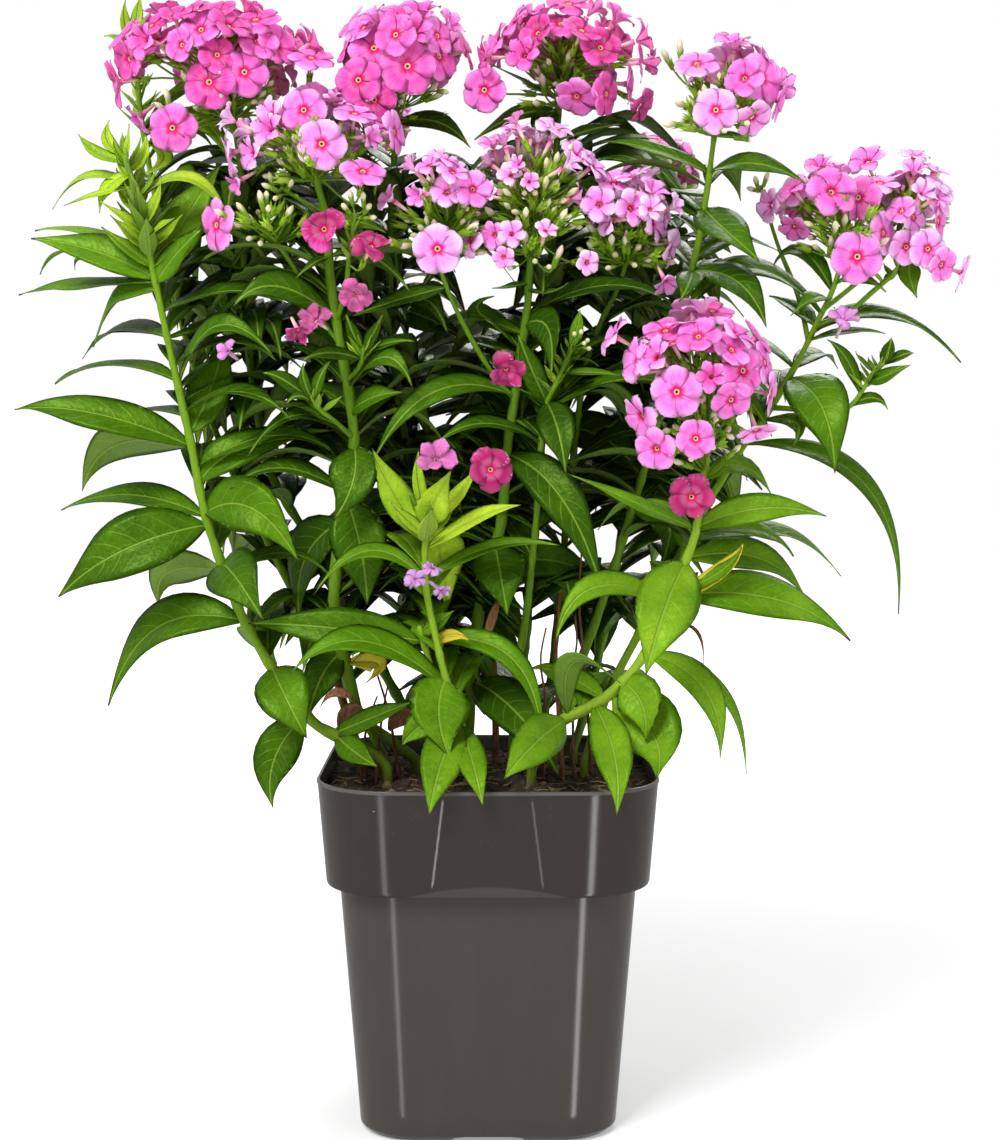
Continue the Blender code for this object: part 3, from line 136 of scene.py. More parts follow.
# Each stem: where it stands in the soil, its radii, and its seen course.
STEMS = {
    "left": ((-52, -18), (2.9, 1.2), [
        (-62, 186, -22), (-81, 194, -25), (-94, 203, -25), (-112, 228, -20), (-128, 256, -18),
        (-140, 288, -18), (-147, 311, -20), (-153, 343, -20), (-159, 372, -20), (-165, 400, -22),
        (-171, 430, -25), (-176, 455, -28), (-182, 480, -30), (-187, 496, -30)]),
    "centre_left": ((-38, 6), (3.3, 1.6), [
        (-50, 190, 2), (-66, 202, -6), (-71, 217, -10), (-76, 237, -12), (-80, 262, -15),
        (-77, 300, -20), (-70, 338, -25), (-70, 358, -28), (-73, 379, -30), (-77, 402, -32),
        (-81, 430, -35), (-83, 460, -38), (-88, 480, -38), (-93, 497, -34)]),
    "young_front": ((-6, -36), (2.2, 1.2), [
        (-12, 192, -37), (-17, 205, -40), (-23, 226, -45), (-29, 252, -48), (-32, 268, -50),
        (-33, 284, -52), (-32, 300, -55), (-30, 312, -56)]),
    "short_front": ((-20, -18), (2.3, 1.3), [
        (-25, 200, -26), (-28, 222, -30), (-34, 243, -34), (-36, 251, -35)]),
    "centre": ((-12, 8), (3.1, 1.5), [
        (-10, 200, 5), (-9, 222, 2), (-7, 240, 0), (-4, 265, -3), (2, 287, -6), (7, 307, -10),
        (10, 345, -16), (13, 365, -18), (17, 394, -22), (20, 414, -26), (21, 432, -28),
        (23, 450, -28), (25, 466, -27), (25, 480, -26)]),
    "centre_right": ((12, -8), (2.2, 1.0), [
        (14, 220, -8), (20, 260, -12), (25, 310, -18), (27, 345, -22), (30, 366, -26),
        (36, 378, -30), (40, 388, -32), (44, 398, -33)]),
    "right_front": ((22, -28), (2.7, 1.5), [
        (28, 192, -33), (38, 201, -38), (52, 208, -44), (62, 214, -48), (72, 224, -50),
        (80, 234, -52), (90, 252, -54), (99, 276, -55), (106, 295, -56), (110, 314, -56),
        (112, 331, -55), (113, 350, -50), (113, 368, -44)]),
    "right": ((34, 14), (2.6, 1.2), [
        (42, 215, 14), (58, 260, 10), (74, 310, 4), (88, 360, 0), (98, 405, -10), (105, 437, -16),
        (109, 456, -20), (112, 476, -22), (115, 500, -22), (118, 520, -18)]),
    "far_right": ((50, -6), (2.6, 1.0), [
        (62, 215, -2), (84, 258, 2), (108, 305, 4), (130, 342, 2), (142, 358, 0), (155, 380, -4),
        (164, 397, -8), (170, 410, -10), (177, 425, -12), (181, 440, -12), (181, 458, -10)]),
    "back_left": ((-30, 28), (2.7, 1.3), [
        (-48, 215, 35), (-72, 260, 38), (-95, 300, 36), (-112, 330, 32), (-121, 375, 26),
        (-125, 425, 18), (-125, 470, 10), (-129, 505, 4), (-132, 524, 2)]),
    "back_centre": ((-14, 34), (2.6, 1.3), [
        (-22, 220, 42), (-32, 280, 45), (-42, 340, 42), (-50, 400, 36), (-50, 450, 30),
        (-48, 490, 24), (-47, 515, 20), (-46, 534, 18)]),
    "back_right": ((14, 30), (2.6, 1.3), [
        (18, 230, 38), (24, 300, 40), (29, 370, 36), (32, 430, 32), (34, 480, 28),
        (36, 515, 26), (37, 540, 24)]),
    "outer_left": ((-56, 20), (2.2, 1.1), [
        (-80, 230, 28), (-112, 290, 34), (-140, 350, 38), (-158, 410, 38), (-168, 460, 36),
        (-176, 505, 32), (-179, 540, 30), (-180, 554, 30)]),
    "middle_right": ((26, 48), (2.2, 1.1), [
        (32, 220, 44), (38, 280, 30), (44, 340, 14), (50, 385, 2), (58, 408, -5), (66, 424, -9),
        (71, 440, -12), (73, 456, -12)]),
    "rear_left": ((-14, 58), (2.5, 1.2), [
        (-16, 220, 74), (-26, 280, 92), (-38, 340, 106), (-50, 400, 114), (-58, 450, 118),
        (-62, 485, 120), (-63, 508, 120)]),
    "rear_right": ((46, 40), (2.4, 1.2), [
        (54, 220, 60), (66, 280, 80), (74, 340, 94), (80, 390, 102), (84, 430, 106),
        (86, 462, 108), (87, 480, 108)]),
}

# Side branches: the stem they leave, how high, their radii and their course.
BRANCHES = [
    ("centre", 369, (1.2, 0.9), [(6, 376, -22), (-4, 391, -26), (-14, 409, -30), (-22, 427, -33),
                                 (-25, 440, -35), (-22, 456, -32), (-18, 466, -28)]),
    ("centre_left", 378, (1.2, 1.0), [(-66, 385, -40), (-64, 396, -42)]),
    ("centre_left", 348, (1.1, 0.9), [(-79, 357, -40), (-87, 363, -46), (-92, 370, -48)]),
    ("centre_left", 408, (1.1, 0.9), [(-73, 425, -44), (-71, 445, -48), (-68, 463, -48)]),
    ("centre_left", 462, (1.1, 0.9), [(-96, 470, -36), (-106, 476, -34)]),
    ("centre_left", 396, (1.1, 0.9), [(-90, 416, -30), (-99, 434, -32), (-109, 449, -36),
                                      (-120, 458, -38)]),
    ("far_right", 364, (1.2, 0.8), [(160, 363, -10), (176, 361, -13), (187, 365, -15),
                                    (192, 372, -16), (198, 381, -17), (206, 389, -18)]),
    ("far_right", 406, (1.2, 1.0), [(185, 413, -4), (198, 424, 0), (210, 434, 4), (219, 441, 6)]),
    ("far_right", 398, (1.1, 0.9), [(159, 421, 6), (149, 445, 12), (143, 463, 16), (139, 477, 18)]),
    ("far_right", 414, (1.1, 0.9), [(198, 436, 12), (209, 452, 16), (210, 468, 16)]),
]

# Leaves by stem: height on the stem, seen middle and tip, width, and how far
# the upper side turns from the sky (0) to the viewer (90); below 0 it turns away.
LEAVES = {
    "left": [
        (194, (-60, 203, -32), (-38, 212, -34), 14, 50),
        (193, (-69, 184, -42), (-58, 177, -50), 14, 75),
        (205, (-112, 181, -30), (-113, 155, -30), 23, 75),
        (230, (-105, 212, -42), (-95, 192, -46), 28, 75),
        (254, (-172, 250, -14), (-198, 209, -16), 28, 50),
        (252, (-120, 243, 6), (-110, 231, 20), 18, -40),
        (283, (-131, 276, -46), (-117, 254, -58), 29, 70),
        (280, (-166, 279, 0), (-171, 261, 6), 22, -55),
        (304, (-190, 290, -32), (-223, 266, -26), 34, 65),
        (308, (-186, 319, -6), (-221, 311, 6), 20, 35),
        (310, (-122, 312, -36), (-98, 284, -42), 29, 60),
        (325, (-125, 344, -20), (-80, 352, -10), 22, 45),
        (344, (-203, 361, -22), (-244, 363, -16), 24, 45),
        (344, (-192, 345, 4), (-210, 321, 10), 24, -50),
        (350, (-142, 376, -8), (-135, 402, 2), 22, 70),
        (360, (-176, 363, 18), (-190, 358, 30), 18, 15),
        (376, (-139, 406, -34), (-110, 390, -40), 15, 25),
        (378, (-195, 386, 4), (-223, 376, 16), 20, 15),
        (400, (-190, 404, 6), (-209, 389, 16), 22, 25),
        (400, (-140, 410, -8), (-120, 431, -4), 10, 20),
        (424, (-190, 419, -16), (-203, 395, -10), 22, 40),
        (428, (-160, 442, -36), (-147, 455, -44), 16, 60),
        (430, (-155, 460, -14), (-136, 488, -2), 26, 65),
        (428, (-212, 426, 0), (-241, 422, 6), 22, 25),
        (430, (-202, 444, -20), (-234, 450, -16), 22, 50),
        (436, (-206, 453, 0), (-232, 454, 8), 12, 20),
        (433, (-210, 445, 8), (-230, 432, 16), 15, 15),
        (426, (-203, 440, 22), (-212, 434, 28), 10, 10),
        (478, (-206, 481, -24), (-223, 465, -20), 10, 30),
        (482, (-194, 476, -32), (-199, 463, -32), 11, 50),
    ],
    "centre_left": [
        (238, (-87, 224, -16), (-94, 203, -18), 20, 60),
        (305, (-95, 286, -8), (-98, 254, -6), 28, 70),
        (318, (-66, 290, -32), (-63, 262, -34), 29, 75),
        (345, (-70, 326, -40), (-80, 306, -42), 26, 70),
        (362, (-60, 369, -42), (-44, 372, -46), 17, 60),
        (374, (-53, 390, -50), (-39, 374, -56), 13, 40),
        (409, (-108, 426, -48), (-131, 416, -54), 17, 50),
        (441, (-60, 441, -48), (-40, 423, -54), 11, 40),
        (460, (-105, 463, -24), (-122, 456, -22), 10, 30),
    ],
    "young_front": [
        (224, (-26, 204, -64), (-20, 181, -76), 31, 80),
        (200, (-25, 178, -84), (-31, 151, -98), 22, 75),
        (198, (-8, 178, -84), (-3, 156, -96), 15, 70),
        (208, (-36, 198, -46), (-45, 188, -52), 16, 60),
        (274, (-62, 290, -44), (-91, 267, -50), 13, 20),
        (275, (2, 292, -48), (37, 293, -58), 12, 25),
        (302, (-24, 284, -34), (-22, 259, -30), 26, 80),
        (303, (-28, 315, -64), (-19, 332, -68), 17, 75),
        (291, (-6, 307, -64), (17, 314, -72), 12, 40),
        (296, (-48, 319, -46), (-60, 343, -48), 17, 60),
    ],
    "short_front": [
        (243, (-82, 250, -34), (-125, 252, -30), 22, 65),
        (243, (11, 235, -48), (28, 187, -62), 14, 45),
        (247, (-26, 253, -42), (-18, 259, -46), 10, 60),
    ],
    "centre": [
        (222, (15, 205, -48), (37, 172, -80), 25, 65),
        (282, (32, 285, 6), (58, 275, 12), 23, 60),
        (292, (6, 279, -34), (10, 256, -42), 29, 75),
        (340, (38, 317, -36), (60, 266, -38), 23, 60),
        (360, (-3, 363, 4), (-22, 360, 12), 18, 40),
        (370, (-28, 372, -38), (-60, 335, -44), 16, 40),
        (390, (-15, 398, 6), (-36, 388, 14), 14, 25),
        (402, (-5, 413, 4), (3, 421, 10), 13, 50),
        (407, (31, 404, -42), (32, 377, -54), 18, 60),
    ],
    "centre_right": [
        (366, (22, 384, -34), (15, 402, -34), 13, 70),
        (366, (36, 352, -44), (40, 330, -50), 20, 75),
    ],
    "right_front": [
        (202, (23, 188, -74), (8, 170, -84), 22, 75),
        (203, (44, 232, -62), (69, 221, -70), 14, -40),
        (212, (66, 182, -80), (67, 151, -98), 20, 75),
        (215, (38, 226, -14), (20, 228, -10), 18, 40),
        (218, (86, 194, -62), (88, 170, -84), 33, 75),
        (222, (80, 210, -62), (82, 190, -66), 24, 70),
        (236, (120, 217, -36), (135, 173, -36), 12, 50),
        (238, (113, 217, -62), (121, 180, -66), 17, 55),
        (263, (55, 271, -60), (35, 243, -68), 16, 40),
        (266, (148, 265, -60), (188, 243, -56), 26, 50),
        (284, (91, 258, -86), (82, 225, -94), 31, 75),
        (286, (140, 286, -34), (165, 266, -34), 24, 55),
        (296, (152, 299, -16), (183, 277, -12), 18, 40),
        (301, (78, 314, -62), (41, 330, -62), 11, 45),
        (302, (141, 312, -66), (175, 308, -68), 17, 55),
        (300, (139, 301, -48), (158, 287, -50), 14, 40),
        (331, (133, 333, -46), (147, 318, -46), 14, 50),
    ],
    "right": [
        (310, (93, 305, 2), (88, 280, 4), 22, 60),
        (434, (128, 428, -44), (143, 405, -54), 20, 50),
        (434, (103, 428, -48), (98, 418, -54), 14, 50),
        (438, (124, 450, 4), (149, 444, 12), 16, 40),
        (460, (95, 469, 0), (80, 474, 8), 12, 40),
        (465, (122, 454, -46), (139, 439, -54), 25, 60),
        (484, (137, 488, -42), (162, 478, -46), 15, 50),
        (483, (85, 495, -22), (57, 499, -20), 14, 35),
    ],
    "far_right": [
        (345, (194, 325, -12), (213, 257, -8), 15, 40),
        (358, (159, 356, -20), (157, 344, -22), 10, 50),
        (380, (172, 364, -40), (179, 330, -48), 29, 65),
        (384, (170, 392, 16), (180, 384, 26), 15, 30),
        (399, (186, 403, -22), (204, 402, -24), 12, 30),
        (402, (205, 412, 4), (243, 387, 8), 15, 30),
        (406, (156, 416, 8), (144, 421, 16), 13, 30),
        (420, (167, 420, -30), (155, 411, -34), 12, 50),
        (424, (160, 444, -2), (145, 435, 4), 13, 30),
    ],
    "back_centre": [
        (415, (-32, 410, 24), (-10, 397, 18), 24, 50),
        (425, (-60, 424, 20), (-72, 410, 16), 14, 40),
        (508, (-26, 509, 12), (-9, 496, 10), 13, 50),
    ],
    "back_right": [
        (352, (60, 348, 8), (85, 318, 2), 24, 55),
        (368, (55, 376, 10), (78, 369, 6), 20, 50),
        (400, (43, 412, 22), (38, 421, 20), 14, 60),
        (500, (52, 505, 14), (68, 508, 10), 10, 50),
        (515, (14, 512, 18), (-7, 500, 14), 12, 50),
        (514, (28, 508, 20), (29, 492, 18), 15, 60),
    ],
}

# Leaves of the side branches, by branch number in the list above.
BRANCH_LEAVES = {
    0: [
        (427, (-46, 419, -34), (-70, 411, -34), 14, 40),
    ],
    1: [
        (389, (-82, 392, -50), (-96, 388, -56), 9, 50),
    ],
    2: [
        (367, (-105, 378, -50), (-116, 382, -52), 9, 60),
    ],
    5: [
        (448, (-104, 457, -38), (-98, 463, -40), 10, 60),
    ],
    6: [
        (377, (206, 381, -24), (217, 386, -26), 10, 60),
    ],
    7: [
        (439, (216, 431, 2), (220, 420, 0), 12, 60),
    ],
}

# Height at which each flowering stem or branch turns into the core of its head.
HEAD_STARTS = {
    "back_left": 510, "back_centre": 511, "centre_left": 482, "branch_5": 451, "back_right": 520,
    "centre": 446, "branch_0": 446, "middle_right": 437, "right": 502, "far_right": 440,
    "branch_9": 448, "right_front": 335, "rear_left": 490, "rear_right": 464,
}

# Flowers by head: the stem or branch they grow from, and for each flower its
# seen face centre, turn to the right and lift of the face in degrees, petal
# reach, and opening angle (90 is flat, 30 is a half-open trumpet).
FLOWERS = {
    "left_top": ("back_left", [
        (-118, 560, -8, -10, 55, 14, 88), (-106, 551, 4, 20, 60, 11, 85), (-90, 541, -6, 15, 58, 13, 85),
        (-124, 534, -24, 8, 8, 13, 90), (-142, 529, -26, -8, 5, 14, 90), (-161, 506, -26, -5, -2, 13, 90),
        (-187, 529, -10, -70, -10, 14, 70), (-168, 549, -8, -45, 40, 13, 80),
        (-152, 563, 4, -50, 50, 12, 75), (-138, 566, 12, 10, 62, 11, 80), (-176, 513, 0, -75, -40, 10, 45),
        (-150, 545, 24, -150, 45, 13, 85), (-126, 545, 34, 170, 40, 13, 85),
        (-108, 532, 30, 130, 20, 12, 85)]),
    "centre_top": ("back_centre", [
        (-49, 558, -2, 5, 30, 13, 88), (-34, 561, 8, 20, 55, 11, 80), (-58, 546, -12, -5, 20, 14, 90),
        (-66, 530, -18, -12, 5, 13, 90), (-41, 537, -22, 5, 10, 15, 90), (-58, 520, -18, 0, -5, 12, 88),
        (-25, 542, -8, 45, 10, 13, 88), (-12, 545, 10, 78, 20, 12, 80), (-69, 558, 14, -65, 35, 11, 80),
        (-30, 553, 20, 60, 50, 11, 80), (-45, 553, 38, 170, 45, 13, 85), (-26, 538, 40, 140, 15, 13, 85),
        (-62, 540, 40, -150, 20, 13, 85)]),
    "left_middle": ("centre_left", [
        (-94, 515, -52, -6, 8, 12, 90), (-85, 498, -58, 5, 0, 13, 90), (-109, 512, -44, -40, 10, 10, 45),
        (-130, 494, -34, -80, -10, 12, 60), (-118, 493, -38, -50, -5, 10, 40),
        (-126, 480, -34, -60, -30, 8, 30), (-64, 484, -60, 15, 45, 12, 85), (-48, 504, -40, 72, 5, 12, 80),
        (-68, 513, -44, 20, 60, 12, 80), (-58, 505, -24, 60, 50, 10, 60),
        (-88, 520, -14, 170, 40, 12, 85), (-105, 505, -12, -140, 15, 12, 85)]),
    "side": ("branch_5", [(-139, 457, -42, -52, 0, 14, 88)]),
    "right_top": ("back_right", [
        (37, 558, 6, 0, 48, 14, 88), (41, 568, 16, 10, 60, 13, 85), (18, 557, 14, -60, 20, 13, 70),
        (6, 548, 12, -70, 20, 12, 60), (1, 541, 6, -78, -5, 12, 55), (-2, 525, -6, -10, -5, 12, 85),
        (60, 523, -8, 55, -5, 12, 88), (45, 522, -10, -20, -45, 12, 80), (59, 547, 10, 72, 15, 14, 85),
        (70, 528, 6, 80, -5, 12, 70), (77, 518, 8, 60, -30, 10, 60), (50, 548, 38, 150, 35, 13, 85),
        (24, 545, 40, -150, 25, 13, 85), (60, 532, 34, 120, 0, 12, 85)]),
    "centre_upper": ("centre", [
        (3, 495, -28, -25, 55, 9, 35), (15, 501, -28, -5, 70, 10, 40), (33, 504, -26, 25, 60, 11, 60),
        (44, 491, -30, 40, 45, 10, 45), (52, 486, -28, 55, 35, 10, 55), (12, 481, -44, -15, 30, 8, 40),
        (4, 452, -44, -30, -5, 8, 50), (12, 452, -48, 0, 10, 8, 40), (8, 441, -50, -5, -15, 6, 60),
        (29, 453, -46, 15, 40, 7, 40), (50, 438, -48, 25, -5, 7, 55), (-8, 450, -42, -60, 5, 10, 65),
        (22, 500, 4, 150, 60, 10, 60), (8, 488, 2, -140, 40, 10, 60)]),
    "centre_side": ("branch_0", [
        (-26, 445, -58, 0, 0, 13, 90), (-21, 473, -48, -8, 15, 9, 55), (-8, 475, -50, 10, 10, 10, 62),
        (-26, 488, -34, -20, 50, 8, 40), (-48, 469, -44, -60, 30, 9, 35), (-19, 484, -38, 0, 40, 8, 40)]),
    "right_middle": ("middle_right", [
        (57, 467, -36, -10, 10, 10, 50), (64, 477, -28, 5, 50, 10, 55), (72, 465, -34, 25, 10, 11, 45),
        (79, 473, -22, 45, 40, 10, 50), (83, 458, -24, 60, 5, 11, 55), (92, 446, -20, 70, -15, 11, 60),
        (90, 430, -28, 30, -50, 9, 40), (70, 470, 14, 160, 30, 11, 70)]),
    "right_high": ("right", [
        (106, 538, -26, -10, 45, 12, 85), (139, 531, -28, 25, 10, 14, 90), (116, 515, -44, 0, 2, 12, 90),
        (125, 546, -8, 30, 60, 12, 55), (134, 512, -34, 35, -40, 11, 60), (147, 520, -18, 75, -20, 12, 75),
        (122, 538, 4, 160, 40, 13, 85), (140, 525, 6, 120, 10, 12, 85)]),
    "far_right": ("far_right", [
        (189, 441, -34, 0, 0, 14, 90), (172, 486, -4, 0, 58, 12, 85), (189, 471, -16, 20, -20, 13, 70),
        (157, 474, -6, -40, 20, 10, 75), (146, 467, -4, -60, 0, 10, 50), (157, 457, -8, -30, -45, 9, 55),
        (176, 470, 14, 160, 30, 12, 85)]),
    "far_right_outer": ("branch_9", [
        (202, 453, -10, 45, 0, 12, 85), (200, 478, -6, 0, 60, 11, 80), (194, 488, 6, -30, 40, 11, 50),
        (217, 461, -6, 40, 5, 10, 80), (225, 445, -14, 15, -5, 11, 88), (232, 437, -10, 35, -20, 10, 80),
        (242, 433, 0, 72, -20, 11, 75), (229, 472, 2, 50, 25, 13, 85), (230, 459, 2, 60, 0, 12, 80),
        (217, 491, 6, 20, 65, 9, 60), (214, 446, -8, 5, -15, 10, 80), (214, 470, 30, 160, 20, 12, 85)]),
    "right_low": ("right_front", [
        (97, 372, -92, -5, 4, 13, 90), (131, 383, -84, 30, 8, 13, 88), (107, 348, -92, 2, -2, 10, 88),
        (87, 343, -84, -25, -15, 11, 65), (142, 387, -72, 60, 8, 11, 85), (125, 368, -84, 20, -30, 11, 80),
        (108, 399, -72, 0, 55, 13, 85), (91, 403, -68, -20, 55, 12, 80), (115, 413, -52, 10, 65, 12, 80),
        (80, 360, -76, -60, -20, 12, 60), (78, 388, -72, -60, 15, 12, 60), (66, 400, -66, -80, 30, 11, 60),
        (145, 371, -66, 70, -10, 12, 80), (138, 353, -74, 30, -60, 11, 70), (128, 401, -56, 40, 60, 12, 85),
        (105, 412, -32, 170, 55, 13, 85), (132, 392, -30, 130, 25, 13, 85)]),
    "rear_left": ("rear_left", [
        (-60, 528, 112, 0, 70, 13, 88), (-76, 520, 112, -70, 35, 13, 85), (-48, 520, 114, 60, 40, 13, 85),
        (-62, 520, 136, 170, 45, 14, 88), (-50, 506, 136, 150, 10, 14, 88),
        (-76, 506, 136, -150, 10, 14, 88)]),
    "rear_right": ("rear_right", [
        (88, 500, 104, 10, 70, 13, 88), (74, 492, 108, -80, 35, 13, 85), (100, 492, 108, 70, 35, 13, 85),
        (86, 494, 124, 175, 45, 14, 88), (98, 480, 124, 150, 10, 14, 88),
        (75, 479, 124, -150, 10, 14, 88)]),
}

# Closed buds by stem or branch: seen tip, turn and lift of the tip, and length.
HEAD_BUDS = {
    "back_left": [(-164, 526, -16, -10, 60, 13), (-148, 550, -10, -20, 60, 12),
        (-156, 535, -12, -30, 50, 11), (-134, 552, 0, 10, 65, 12), (-113, 541, -10, 30, 50, 10),
        (-170, 519, -12, -50, 30, 12)],
    "back_centre": [(-44, 519, -10, 10, -10, 9), (-20, 524, -8, 40, -10, 9),
        (-33, 524, -14, 20, -20, 8), (-50, 566, 14, -20, 80, 8)],
    "centre_left": [(-100, 502, -50, -20, 20, 12), (-104, 496, -46, -40, 10, 11),
        (-80, 507, -46, 20, 50, 9), (-76, 490, -52, 30, 10, 9), (-96, 507, -48, -20, 30, 10)],
    "branch_5": [(-131, 458, -40, -50, 10, 10), (-124, 450, -42, -30, -10, 8),
        (-117, 447, -44, 0, -20, 9), (-124, 463, -36, -40, 40, 11)],
    "back_right": [(42, 545, 4, 20, 45, 12), (30, 541, 2, -20, 30, 9), (46, 552, 14, 30, 60, 12),
        (33, 528, 4, -30, -10, 8), (24, 531, 12, -60, 10, 10)],
    "centre": [(4, 474, -44, -40, 10, 8), (24, 474, -48, 0, 10, 8), (30, 482, -44, 10, 40, 13),
        (18, 474, -46, -10, 10, 7), (36, 480, -40, 40, 30, 12), (38, 447, -46, 30, 50, 13),
        (19, 454, -46, 0, 50, 12), (24, 439, -48, 0, 0, 8), (10, 435, -46, -30, -10, 7),
        (40, 470, -42, 40, 10, 8), (46, 476, -34, 60, 30, 12), (32, 436, -46, 20, 0, 7)],
    "branch_0": [(-10, 466, -44, 30, 10, 8), (-36, 457, -46, -30, 20, 9), (-28, 460, -46, -5, 40, 9),
        (-46, 446, -46, -50, -10, 12), (-4, 463, -38, 50, 0, 8), (-40, 452, -42, -50, 0, 8)],
    "middle_right": [(64, 443, -24, -20, 10, 11), (78, 447, -24, 20, 20, 9), (70, 452, -28, 0, 50, 10),
        (84, 439, -20, 50, -10, 9), (60, 435, -22, -40, -10, 8), (76, 436, -24, 20, -20, 9)],
    "right": [(88, 546, -10, -40, 40, 13), (97, 551, -6, -20, 70, 12), (95, 519, -26, -50, 10, 12),
        (96, 508, -24, -60, -20, 9), (133, 503, -26, 40, -30, 9), (128, 517, -34, 30, 10, 10),
        (104, 506, -30, -30, -20, 8)],
    "far_right": [(158, 461, -10, -30, 30, 8), (168, 474, -10, 0, 60, 8), (176, 462, -14, 20, 20, 9),
        (176, 452, -22, 0, 50, 11), (164, 451, -12, -30, 0, 8)],
    "branch_9": [(208, 484, 10, -10, 70, 9), (216, 481, 12, 30, 60, 9), (222, 470, 4, 50, 20, 9)],
    "right_front": [(113, 375, -84, 5, 10, 11), (112, 396, -72, 0, 50, 9), (90, 352, -76, -40, 0, 9),
        (104, 337, -82, -20, -10, 8), (117, 343, -82, 20, -10, 9), (127, 348, -76, 40, -20, 9),
        (118, 358, -82, 10, 0, 8), (93, 336, -78, -30, -30, 8), (134, 350, -70, 50, -30, 9)],
}

# Buds on green shoots, and how many of each shoot's buds the solids have.
SHOOT_BUDS = {
    "branch_3": [(-75, 468, -56, -30, 30, 8), (-60, 468, -56, 30, 30, 8), (-64, 474, -54, 0, 60, 8),
        (-71, 475, -52, -20, 60, 8), (-57, 461, -54, 60, 0, 7)],
    "branch_4": [(-112, 484, -36, -20, 60, 9), (-104, 486, -36, 20, 60, 9),
        (-116, 478, -38, -60, 20, 9), (-100, 480, -44, 20, 20, 12), (-110, 470, -40, -30, -20, 7)],
    "branch_8": [(136, 482, 12, -30, 50, 8), (143, 484, 14, 30, 60, 8), (132, 476, 14, -60, 10, 8)],
    "centre_right": [(48, 404, -40, 10, 50, 5), (52, 399, -38, 40, 20, 5), (44, 403, -38, -20, 50, 5),
        (53, 394, -36, 50, -10, 5), (50, 397, -42, 20, 0, 5)],
    "outer_left": [(-186, 545, 22, -40, 20, 7), (-173, 550, 24, 30, 40, 7)],
}
SOLID_BUDS = {"branch_8": 2, "centre_right": 3, "outer_left": 2}

# Single low flowers that lean on a stem.
STRAY_FLOWERS = [
    ("centre", (9, 384, -52, 10, -30, 11, 50)), ("centre", (1, 332, -52, 5, 10, 12, 88)),
    ("right_front", (105, 318, -78, 0, 0, 12, 88)), ("branch_3", (-60, 446, -62, 30, 40, 11, 55)),
]

# Old brown stalks in the soil: footing, radius, course.
OLD_STALKS = {
    "left": ((-66, 2), 2.6, [(-74, 205, 4), (-79, 225, 2), (-78, 250, 0), (-74, 274, -2)]),
    "middle": ((4, 14), 2.0, [(3, 225, 16), (2, 245, 14), (3, 262, 12)]),
    "right": ((38, -14), 1.4, [(36, 215, -4), (35, 240, 4), (37, 268, 8)]),
}

# Rule-grown leaves keep to the foliage as seen and leave its clear windows open. Outlines give the
# seen height and the place across there, and windows their place across, height and radius.
OUTLINE_LEFT = [(170, -70), (200, -85), (230, -110), (260, -125), (300, -145), (350, -155),
                (400, -168), (450, -172), (500, -165), (540, -140), (600, -120)]
OUTLINE_RIGHT = [(170, 65), (200, 80), (230, 88), (260, 110), (300, 138), (350, 150),
                 (400, 160), (450, 165), (480, 130), (520, 100), (540, 60), (600, 40)]
WINDOWS = [(-40, 225, 9), (-62, 258, 5), (-66, 224, 6), (-78, 215, 8), (26, 257, 13), (15, 238, 12),
           (28, 238, 9), (40, 244, 11), (15, 212, 6), (70, 292, 10), (70, 245, 5), (104, 240, 9),
           (-100, 315, 9), (-83, 320, 8), (32, 297, 13), (47, 294, 6), (25, 345, 6), (56, 358, 8),
           (45, 342, 6), (-32, 400, 6), (-2, 425, 11), (60, 410, 7), (-25, 364, 5), (-90, 433, 5),
           (-112, 278, 6), (145, 398, 10), (-15, 508, 12), (12, 510, 9), (44, 200, 9)]

